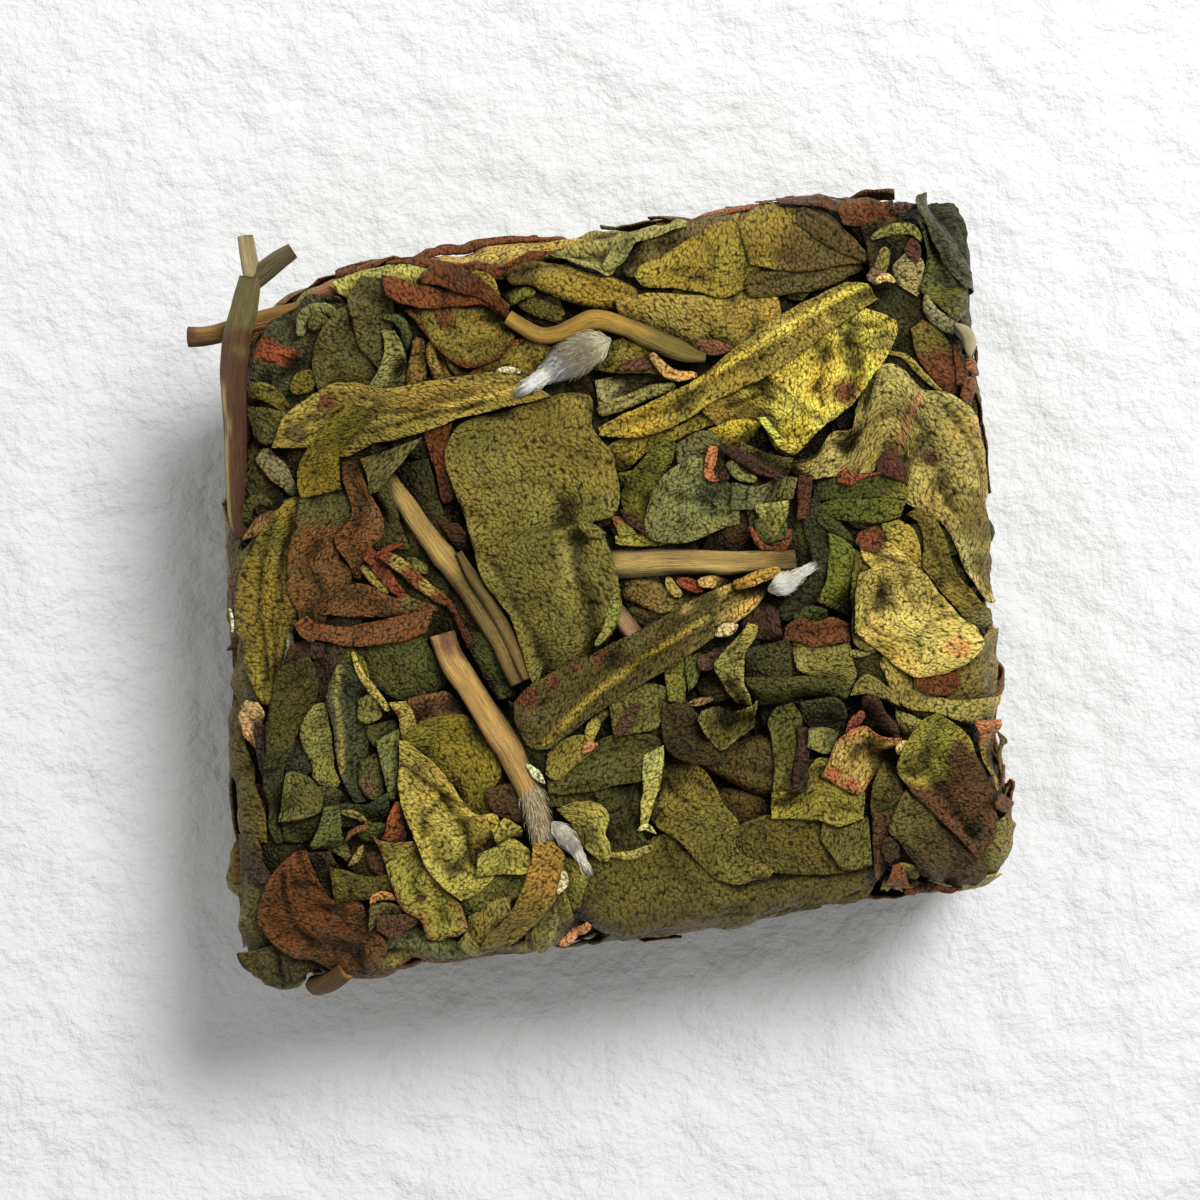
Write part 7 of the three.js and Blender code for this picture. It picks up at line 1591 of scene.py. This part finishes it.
    ("red_chip", "leaf", [(13.9, -9.7), (14.5, -8.9), (15.1, -8.3)], [0.2, 0.34, 0.25], 0.2, (138, 78, 66)),
    ("orange_edged_leaf", "leaf", [(12.1, -12.1), (13.2, -12.8), (14.2, -13.3), (15, -12.9), (16, -12),
     (17.1, -11.2)], [(12.8, -11), (13.3, -10), (14.4, -9.3), (15.2, -9.3), (16, -9.9), (17.3, -10.1)], 0.2,
     (163, 144, 84), {"edge": (160, 104, 66), "folds": 0.35, "size": (1.6, 0.8), "patches": [((12.8, -12),
     0.6, (172, 102, 68)), ((14, -12.9), 0.5, (172, 102, 68))]}),
    ("tan_tab", "leaf", [(16.9, -11), (17.4, -10.7), (17.8, -10.4)], [0.25, 0.36, 0.25], 0.3,
     (186, 160, 110)),
    ("olive_patch", "leaf", [(16.2, -11.5), (15.4, -12.8), (15.1, -14.2), (15.1, -15.1)], [(16.9, -11.6),
     (17.2, -12.8), (17.1, -14), (16.7, -15.1)], 0, (94, 90, 47)),
    ("purple_upright", "leaf", [(15.2, -14.7), (15, -16.4), (15, -18.1), (15.2, -19.2)], [(16.5, -14.6),
     (16.1, -16.4), (16, -18), (15.8, -19)], 0.2, (88, 62, 50), {"tip": ((118, 112, 68), 0.2)}),
    ("plum_nook", "leaf", [(16, -16.2), (16.1, -17), (16.2, -17.8)], [0.3, 0.5, 0.4], 0, (84, 62, 50)),
    ("green_yellow_nook", "leaf", [(16.3, -18), (17.1, -18.5), (17.7, -19)], [0.3, 0.45, 0.3], 0,
     (122, 118, 66)),
    ("brick_fold", "leaf", [(16.1, -17.9), (15.8, -19), (15.9, -20.1), (16.9, -20.6)], [(16.6, -17.8),
     (17, -18.8), (17.2, -19.6), (17.7, -20.3)], 0.2, (136, 78, 50)),
    ("brown_right_leaf", "leaf", [(17.3, -13.4), (16.5, -14.6), (16.1, -15.8), (16.8, -16.7), (17.5, -17.9),
     (18.5, -19.1), (19.6, -20), (20.5, -20.2)], [(17.8, -13.5), (18.7, -14.4), (19.7, -15.6),
     (20.7, -16.9),
     (21.5, -17.9), (22, -18.7), (21.4, -19.5)], 0.1, (80, 66, 46), {"root": ((90, 86, 50), 0.4),
     "creases": [[(16.6, -16.2), (17.4, -17.6), (18.8, -19.4)]]}),
    ("dark_red_band", "roll", [(17, -20.1), (18.6, -20.5), (20.2, -20.4), (20.9, -20.2)], [0.25, 0.38, 0.36,
     0.2], 0.2, (104, 58, 44)),
    ("brown_yellow_leaf", "leaf", [(18.7, -9), (17.8, -10), (17.1, -11), (16.9, -12), (17.5, -13.2),
     (18.5, -14.4), (19.7, -15.8), (20.7, -17), (21.4, -17.9)], [(19.6, -8.7), (20.7, -9.5), (21.5, -10.4),
     (22.1, -11.6), (22.7, -12.8), (23.1, -14), (22.9, -15.6), (22.5, -16.8), (22, -17.5)], 0.3,
     (98, 68, 49), {"folds": 0.2, "root": ((138, 130, 56), 0.3), "patches": [((18.5, -11.9), 1.5,
     (146, 138, 62)), ((19.8, -10.4), 1.4, (134, 128, 54)), ((21.6, -16.4), 0.8, (76, 68, 52))]}),
    ("tan_edge_strip", "leaf", [(21.7, -9.4), (22.2, -11), (22.8, -12.6), (23.1, -14)], [(23.5, -9.5),
     (23.5, -11), (23.7, -12.4), (23.6, -13.5)], 0.1, (150, 132, 76), {"root": ((172, 116, 82), 0.35)}),
    ("olive_wedge", "leaf", [(23.1, -10.2), (23.4, -11.4), (23.6, -12.9)], [(23.6, -10.6), (24.5, -11.7),
     (24, -12.9)], 0.1, (90, 82, 34)),
    ("dark_spikes", "leaf", [(23, -14.4), (23.7, -15), (24.8, -15.2)], [0.4, 0.38, 0.08], 0.3,
     (122, 76, 50)),
]

front_heap = lay_pieces(FRONT_PIECES)
add_piece("front_leaves", front_heap["leaf"], LEAF_SKIN)


# ---- Shoots, stems and buds on top ------------------------------------------------------------
# The last pieces in the mould: two rolled young shoots, two stems, and three buds with white down.
# The down is single fine hairs, over a thousand to a bud, pointing to its tip.
HAIR_RADIUS = 0.021
HAIR_POINTS = 7
DOWN_SPREAD = 2.3
UPPERMOST_PIECES = [
    ("long_roll", "leaf", [(-18, 10.8), (-16.1, 10.1), (-14.3, 10.8), (-12, 11), (-10, 11.5), (-8.4, 12),
     (-6.5, 12.2), (-4, 12.6), (-2.8, 12.9)], [(-20.4, 11), (-19.5, 12.9), (-17.6, 14), (-16.2, 14.7),
     (-14.8, 14.6), (-13, 14.1), (-10, 14.4), (-7, 14.6), (-5, 14.4), (-3.8, 13.6)], 0.3, (138, 123, 62),
     {"curl": -1, "folds": 0.3, "size": (4, 0.7), "ribs": [([(-9.5, 12.7), (-8, 13), (-6, 13.3),
     (-4.6, 13.5)], 0.13, (180, 162, 90))], "creases": [[(-18.4, 12.4), (-16, 13), (-13.6, 12.7),
     (-11, 12.6)], [(-15.8, 11.4), (-13, 11.9), (-10, 12.3), (-7, 12.8)]], "patches": [((-16.8, 13.7), 0.5,
     (112, 74, 50)), ((-19, 11.8), 1, (92, 84, 48))]}),
    ("long_roll_flap", "leaf", [(-15.6, 13.2), (-16.6, 12.4), (-17.9, 11), (-18.8, 9.8), (-19, 8.6),
     (-18.8, 7.7)], [(-13.6, 12.6), (-15, 11.6), (-16.1, 10.6), (-16.4, 9.6), (-16.4, 8.8), (-16.4, 8.1)],
     0.4, (116, 102, 35), {"folds": 0.2}),
    ("s_stem", "stem", [(-5.1, 18), (-3.4, 16.8), (-2.2, 16.7), (-1, 17), (0.4, 17.4), (2.2, 16.8),
     (4, 15.8), (6, 14.8), (7, 14.5)], [0.45, 0.5, 0.55, 0.72, 0.66, 0.6, 0.72, 0.66, 0.3], 0.2,
     (178, 141, 66), {"tip": ((130, 116, 56), 0.42)}),
    ("s_stem_edge", "roll", [(3.6, 15), (4.3, 14.1), (5.1, 13.6), (6.4, 13.5)], [0.15, 0.26, 0.28, 0.15],
     0.1, (196, 156, 102)),
    ("large_bud", "bud", [(1.2, 16.1), (-0.4, 15.5), (-2, 14.8), (-3.6, 13.9)], [0.5, 0.66, 0.62, 0.4], 0.6,
     (190, 180, 146)),
    ("long_shoot", "leaf", [(-6.7, -7.2), (-6, -8.7), (-4.8, -9.1), (-3.6, -8.4), (-1.6, -7.2), (0.6, -5.9),
     (2.4, -5.1), (4.4, -4), (6.4, -2.8), (8.3, -1.7), (9.6, -0.6)], [(-6.6, -6), (-5.6, -5.1),
     (-3.5, -4.1),
     (-1, -3.1), (1, -2.4), (3, -1.5), (5, -0.5), (7, 0.2), (8.6, 0.6), (9.8, 0.9)], 0.4, (88, 79, 45),
     {"curl": -1, "folds": 0.22, "size": (6, 0.45), "tip": ((176, 152, 88), 0.2), "ribs": [([(-4.8, -8.6),
     (-3, -7.1), (-1.6, -5.9), (0, -4.9), (1.4, -4), (3, -3.2), (4.6, -2.3), (5.8, -1.7)], 0.18,
     (156, 137, 62))], "patches": [((-5.7, -5.9), 0.9, (114, 70, 48)), ((-4, -5), 0.6, (114, 70, 48)),
     ((-2.6, -4.3), 0.42, (116, 72, 50)), ((-1, -3.5), 0.3, (112, 70, 50))]}),
    ("gold_tip", "roll", [(7.6, 0.1), (9, 0.5), (10.6, 0.9)], [0.3, 0.36, 0.25], 0.2, (176, 138, 68)),
    ("papery_white", "leaf", [(6.2, -2.8), (6.9, -2.5), (7.7, -2.3)], [0.15, 0.36, 0.2], 0.2,
     (180, 170, 138)),
    ("small_bud", "bud", [(9.7, -0.3), (10.7, 0), (11.7, 0.5)], [0.42, 0.46, 0.3], 0.4, (150, 138, 104)),
    ("pale_stem", "stem", [(-10.8, -1.4), (-10.4, -3), (-9.3, -5), (-8.2, -7), (-7.2, -8.7), (-6.8, -9.8),
     (-6.2, -11.2), (-5.7, -13), (-5.5, -15.2)], [0.84, 0.86, 0.84, 0.86, 0.94, 0.82, 0.8, 0.72, 0.6], 0.3,
     (194, 154, 92), {"root": ((124, 88, 66), 0.12), "tip": ((160, 122, 66), 0.3)}),
    ("stem_flake", "roll", [(-6.1, -9.9), (-5.6, -10.5), (-5, -11.2)], [0.15, 0.22, 0.1], 0.4,
     (194, 186, 164)),
    ("pale_stem_sheath", "leaf", [(-6.1, -14.8), (-6.3, -16), (-7, -17.7), (-8.1, -19.1), (-9.7, -20.3),
     (-10.1, -20.9)], [(-4.8, -14.8), (-4.2, -16), (-4.6, -17.7), (-5.5, -18.9), (-6.7, -20.1),
     (-8.6, -21)],
     0.3, (116, 101, 51), {"root": ((146, 116, 57), 0.45), "curl": -0.6}),
    ("papery_fleck", "leaf", [(-4.4, -16.7), (-4.4, -17.4), (-4.9, -18.1)], [0.15, 0.22, 0.08], 0.4,
     (186, 172, 140)),
    ("stem_bud", "bud", [(-4.8, -13.6), (-4.2, -14.4), (-3.6, -15.2), (-3.2, -16)], [0.3, 0.36, 0.3, 0.16],
     0.4, (150, 138, 104)),
]


def hairs(roots, tips, colour, seed):
    """Fine hairs, each a three-sided needle bent once: three points round the root, three thinner
    ones round a middle pushed a little aside, and the tip."""
    draw = np.random.default_rng(seed)
    count = len(roots)
    way = tips - roots
    long = np.linalg.norm(way, axis=1, keepdims=True)
    ahead = way / long
    side = np.cross(ahead, draw.normal(size=(count, 3)))
    side /= np.linalg.norm(side, axis=1, keepdims=True)
    other = np.cross(ahead, side)
    middle = roots + 0.55 * way + draw.normal(0, 0.07, (count, 3)) * long
    angle = np.arange(3) * 2 * math.pi / 3
    round_way = side[:, None] * np.cos(angle)[:, None] + other[:, None] * np.sin(angle)[:, None]
    low = roots[:, None] + HAIR_RADIUS * round_way
    high = middle[:, None] + 0.75 * HAIR_RADIUS * round_way
    points = np.concatenate([low, high, tips[:, None]], axis=1).reshape(-1, 3)
    faces = [(0, 2, 1)]
    for k in range(3):
        n = (k + 1) % 3
        faces += [(k, n, 3 + n), (k, 3 + n, 3 + k), (3 + k, 3 + n, 6)]
    triangles = (HAIR_POINTS * np.arange(count)[:, None, None] + np.array(faces)).reshape(-1, 3)
    tone = draw.uniform(0.7, 1.35, (count, 1, 1)) * np.ones((1, HAIR_POINTS, 1))
    colours = (tone * linear(colour)).reshape(-1, 3)
    return {"points": wrapped(points[:, :2], points[:, 2]), "triangles": triangles, "colours": colours,
            "places": points, "plan": points[:, :2], "height": points[:, 2], "wrap": wrapped}


def down_on(part, colour, count, length, seed, lean, window=(0.0, 1.0)):
    """Hairs on a laid stem or bud: roots drawn over its upper side, tips further along it."""
    draw = np.random.default_rng(seed)
    plan, middle, radius, gone = part["spine"]
    share = draw.uniform(*window, count)
    phi = draw.normal(0, 0.5, count).clip(-1, 1) * DOWN_SPREAD / 2
    long = length * draw.uniform(0.6, 1.25, count)
    slip = draw.normal(0, 0.13, count)
    start = share * gone[-1]
    end = start + long
    ahead, aside = headings(plan)

    def at(field, place):
        return np.stack([np.interp(place, gone, field[:, k]) for k in range(field.shape[1])], -1)

    ends = []
    for place, out in ((start, 0.95), (end, 1 + lean)):
        r = np.interp(place, gone, radius) * out + (lean * 0.4 if out > 1 else 0)
        past = np.maximum(0, place - gone[-1])[:, None]
        level = at(plan, place) + at(ahead, place) * past
        turn = phi + (slip if out > 1 else 0)
        level = level + at(aside, place) * (r * np.sin(turn))[:, None]
        ends.append(np.c_[level, np.interp(place, gone, middle) + r * np.cos(turn)])
    anchor = np.repeat(np.interp(start, gone, middle + radius), HAIR_POINTS)
    anchor_plan = np.repeat(at(plan, start), HAIR_POINTS, axis=0)
    return hairs(*ends, colour, seed) | {"bed": part["bed"], "anchor_plan": anchor_plan, "anchor": anchor}


top_heap = lay_pieces(UPPERMOST_PIECES)
add_piece("top_shoots", top_heap["leaf"], LEAF_SKIN)
add_piece("top_stems", top_heap["stem"], BARK)
add_piece("top_buds", top_heap["bud"], DOWN)
large_bud, small_bud, stem_bud = top_heap["bud"]
pale_stem = top_heap["stem"][1]
down_parts = [down_on(large_bud, (255, 246, 222), 3200, 1.7, 1, lean=0.55, window=(0.12, 1.0)),
              down_on(large_bud, (222, 206, 166), 1200, 1.5, 4, lean=0.8, window=(0.0, 0.4)),
              down_on(small_bud, (250, 238, 206), 1300, 1.2, 2, lean=0.55),
              down_on(stem_bud, (244, 230, 198), 1200, 1.3, 3, lean=0.55),
              down_on(pale_stem, (214, 196, 154), 340, 0.9, 5, lean=0.3, window=(0.74, 0.95))]
add_piece("white_down", down_parts, DOWN)


# ---- Twigs at the clipped corner --------------------------------------------------------------
# Two cut twigs stand clear of the cake where the mould's corner is clipped: an upright one with two
# broken arms, and one that crosses behind it. Both are rooted among the leaves.
FREE_TWIGS = [
    ("cross_twig", [(-25.6, 18.7, 13.4), (-24, 18.7, 13.4), (-20.6, 19.4, 13.3), (-16, 19.9, 12.8)],
     [0.62, 0.6, 0.7, 0.75], (150, 112, 60), {"root": ((110, 78, 54), 0.14), "pith": (150, 96, 60)}),
    ("corner_twig", [(-21.2, 22, 14.8), (-21.6, 20.4, 15.1), (-22.1, 18.8, 15.5), (-22.5, 16.8, 15.9),
                     (-22.7, 14.6, 16.1), (-22.8, 11.5, 16.3), (-23, 9, 16.3), (-23.1, 7, 16),
                     (-23, 5.6, 15.2)], [0.7, 0.82, 0.88, 0.86, 0.8, 0.74, 0.68, 0.62, 0.56], (96, 66, 46),
     {"root": ((116, 104, 62), 0.3), "streak": ((198, 180, 128), -0.72, 0.38, 0.98)}),
    ("corner_twig_arm_pale", [(-21, 21.7, 14.6), (-21.2, 23.1, 14.8), (-21.3, 24.6, 15)],
     [0.62, 0.56, 0.5], (190, 172, 130), {}),
    ("corner_twig_arm_grey", [(-21.2, 21.7, 14.6), (-19.8, 22.7, 14.6), (-18.4, 23.5, 14.6)],
     [0.66, 0.62, 0.5], (112, 100, 76), {"pith": (190, 160, 70)}),
]


def free_twig(name, line, radii, colour, looks):
    """A round tube through points in space."""
    length = even_line(line, 2)[1][-1]
    centre, gone = even_line(line, math.ceil(length / STEM_STEP) + 1)
    radius = spline(radii, np.linspace(0, 1, len(centre)))
    part = tube(centre[:, :2], centre[:, 2], radius, gone, colour, crc32(name.encode()) % 99991, looks)
    return part | {"points": np.c_[part["plan"], part["height"]]}


add_piece("corner_twigs", [free_twig(*row) for row in FREE_TWIGS], BARK)


# ---- The press --------------------------------------------------------------------------------
# The mould has squeezed the heap to one level. Each column of leaves is pressed down by its own
# height, and then painted shade darkens what lies deep between the leaves, and a painted highlight
# lightens what stands proud.
PRESS_REACH = 3
TOP_LEVEL, TOP_FIRMNESS = 2.5, 0.76
WALL_LEVEL, WALL_FIRMNESS = 2.6, 1.0
WALL_SWELLS = [(226, 10, 1.2), (270, 26, 0.4)]
WALL_MARGIN, WALL_BLEND = 2.0, 3
NEAR_REACH, NEAR_SLACK, NEAR_SHADE = 2, 0.08, 4.6
WIDE_REACH, WIDE_SLACK, WIDE_SHADE = 6, 0.25, 1.5
DEEPEST, SHALLOW, DEEPEST_LIGHT = 0.4, 1.7, 0.12
PROUD_HIGHLIGHT, PROUD_MOST = 0.6, 0.5


def blurred(field, reach):
    """A square field averaged three times over squares, which is close to a round soft blur."""
    for _ in range(3):
        for axis in (0, 1):
            total = np.cumsum(widened(field, axis, reach + 1, reach), axis=axis)
            size = field.shape[axis]
            ahead = np.take(total, range(2 * reach + 1, 2 * reach + 1 + size), axis)
            field = (ahead - np.take(total, range(size), axis)) / (2 * reach + 1)
    return field


def press_shares(bed):
    """By how much each column is squeezed: a pile above the mould's level is brought down to it by
    a power of how far it is over, more firmly on the walls than on the top."""
    square = bed.pile.reshape(bed.side, bed.side)
    pile = blurred(spread(square, PRESS_REACH, np.maximum.reduce), PRESS_REACH)
    cell = (np.arange(bed.side) + 0.5) * BED_CELL - BED_HALF
    offset = np.stack(np.meshgrid(cell, cell), -1) - CENTRE
    length = np.hypot(offset[..., 0], offset[..., 1])
    on_wall_share = smooth_step((length - length / share_of_outline(offset) + WALL_MARGIN) / WALL_BLEND)
    bearing = np.degrees(np.arctan2(offset[..., 1], offset[..., 0])) % 360
    swell = sum(rise * np.exp(-((bearing - toward) / wide) ** 2) for toward, wide, rise in WALL_SWELLS)
    level = TOP_LEVEL + (WALL_LEVEL + swell - TOP_LEVEL) * on_wall_share
    firmness = TOP_FIRMNESS + (WALL_FIRMNESS - TOP_FIRMNESS) * on_wall_share
    return np.maximum(pile / level, 1) ** -firmness


def painted_shade_and_highlight(part, height, near, wide):
    """From 0 to 1.3, the painted shade and highlight of a part's points: darker when deep in the layer
    or below the pile nearby, and a little lighter when they stand above it."""
    cell = part["bed"].cells(part["plan"])
    below_near = np.maximum(0, near.ravel()[cell] - height - NEAR_SLACK)
    below_wide = np.maximum(0, wide.ravel()[cell] - height - WIDE_SLACK)
    shallow = smooth_step((height - DEEPEST) / (SHALLOW - DEEPEST))
    deep_shade = DEEPEST_LIGHT + (1 - DEEPEST_LIGHT) * shallow
    proud = np.clip(height - near.ravel()[cell], 0, PROUD_MOST)
    # Painted shade for deep or covered points, painted highlight for proud ones.
    return deep_shade * np.exp(-NEAR_SHADE * below_near - WIDE_SHADE * below_wide) * (1 + PROUD_HIGHLIGHT * proud)


pressed = {}
for bed in (top_bed, floor_bed):
    squeeze = press_shares(bed)
    finished = bed.pile.reshape(bed.side, bed.side) * squeeze
    pressed[id(bed)] = squeeze, blurred(finished, NEAR_REACH), blurred(finished, WIDE_REACH)

for piece, parts in laid:
    points, shades = [], []
    for part in parts:
        if "bed" not in part:
            points.append(part["points"])
            shades.append(np.ones(len(part["points"])))
            continue
        squeeze, near, wide = pressed[id(part["bed"])]
        share = squeeze.ravel()[part["bed"].cells(part["anchor_plan"])]
        height = part["height"] - part["anchor"] * (1 - share)
        points.append(part["wrap"](part["plan"], height))
        shades.append(painted_shade_and_highlight(part, height, near, wide))
    # Each point's colour takes its painted shade and highlight.
    colours = np.concatenate([part["colours"] for part in parts]) * np.concatenate(shades)[:, None]
    colours = np.c_[np.clip(colours, 0, 1), np.ones(len(colours))].astype(np.float32)
    piece.data.attributes["leaf_colour"].data.foreach_set("color", colours.ravel())
    where = (np.concatenate(points) * MM).astype(np.float32)
    piece.data.vertices.foreach_set("co", where.ravel())
    piece.data.update()


# ---- Floor ------------------------------------------------------------------------------------
# A plain white plastered surface with faint soft lumps. It isn't part of the cake.
FLOOR_HALF = 600.0
FLOOR_COLOUR = (233, 234, 233)
PLASTER_SCALE, PLASTER_BUMP = 160.0, 1.4


def floor_finish():
    """White plaster, slightly uneven."""
    material, tree, shader, _, _ = new_material("white_plaster")
    where = add_node(tree, "ShaderNodeTexCoord").outputs["Object"]
    lumps = add_node(tree, "ShaderNodeTexNoise", {"Vector": where, "Scale": PLASTER_SCALE,
                                                  "Detail": 6.0, "Roughness": 0.6}).outputs[0]
    bump = add_node(tree, "ShaderNodeBump", {"Height": lumps, "Distance": PLASTER_BUMP * MM}).outputs[0]
    tree.links.new(bump, shader.inputs["Normal"])
    shader.inputs["Base Color"].default_value = (*linear(FLOOR_COLOUR), 1)
    shader.inputs["Roughness"].default_value = 0.85
    return material


corners = np.array([(-1, -1), (1, -1), (1, 1), (-1, 1)]) * FLOOR_HALF * MM
floor_mesh = bpy.data.meshes.new("floor")
floor_mesh.from_pydata([(x, y, 0.0) for x, y in corners], [], [(0, 1, 2, 3)])
floor_mesh.materials.append(floor_finish())
floor = bpy.data.objects.new("floor", floor_mesh)
bpy.context.scene.collection.objects.link(floor)


# ---- Light and camera -------------------------------------------------------------------------
# One broad soft light from the back right, a white surround, and a camera straight overhead, turned
# a little so that the cake lies as the photo shows it.
LIGHT_PLACE = (185.0, 205.0, 380.0)
LIGHT_SIZE = 190.0
LIGHT_POWER = 2.05
SURROUND = 0.42
CAMERA_LENS = 90.0
CAMERA_OVER = (-0.76, -0.07)
CAMERA_ABOVE_TOP = 187.5
CAMERA_TURN = -4.5

sun = bpy.data.lights.new("soft_box", "AREA")
sun.shape = "DISK"
sun.size = LIGHT_SIZE * MM
sun.energy = LIGHT_POWER
soft_box = bpy.data.objects.new("soft_box", sun)
soft_box.location = np.array(LIGHT_PLACE) * MM
bearing = math.atan2(LIGHT_PLACE[1], LIGHT_PLACE[0])
tilt = math.atan2(math.hypot(*LIGHT_PLACE[:2]), LIGHT_PLACE[2])
soft_box.rotation_euler = (0, tilt, bearing)
bpy.context.scene.collection.objects.link(soft_box)

world = bpy.data.worlds.new("white_surround")
world.use_nodes = True
world.node_tree.nodes["Background"].inputs["Color"].default_value = (1, 1, 1, 1)
world.node_tree.nodes["Background"].inputs["Strength"].default_value = SURROUND
bpy.context.scene.world = world

lens = bpy.data.cameras.new("overhead")
lens.lens = CAMERA_LENS
lens.clip_start = 0.01
camera = bpy.data.objects.new("overhead", lens)
camera.location = (CAMERA_OVER[0] * MM, CAMERA_OVER[1] * MM, (HEIGHT + CAMERA_ABOVE_TOP) * MM)
camera.rotation_euler = (0, 0, math.radians(CAMERA_TURN))
bpy.context.scene.collection.objects.link(camera)
bpy.context.scene.camera = camera
bpy.context.scene.view_settings.view_transform = "Standard"
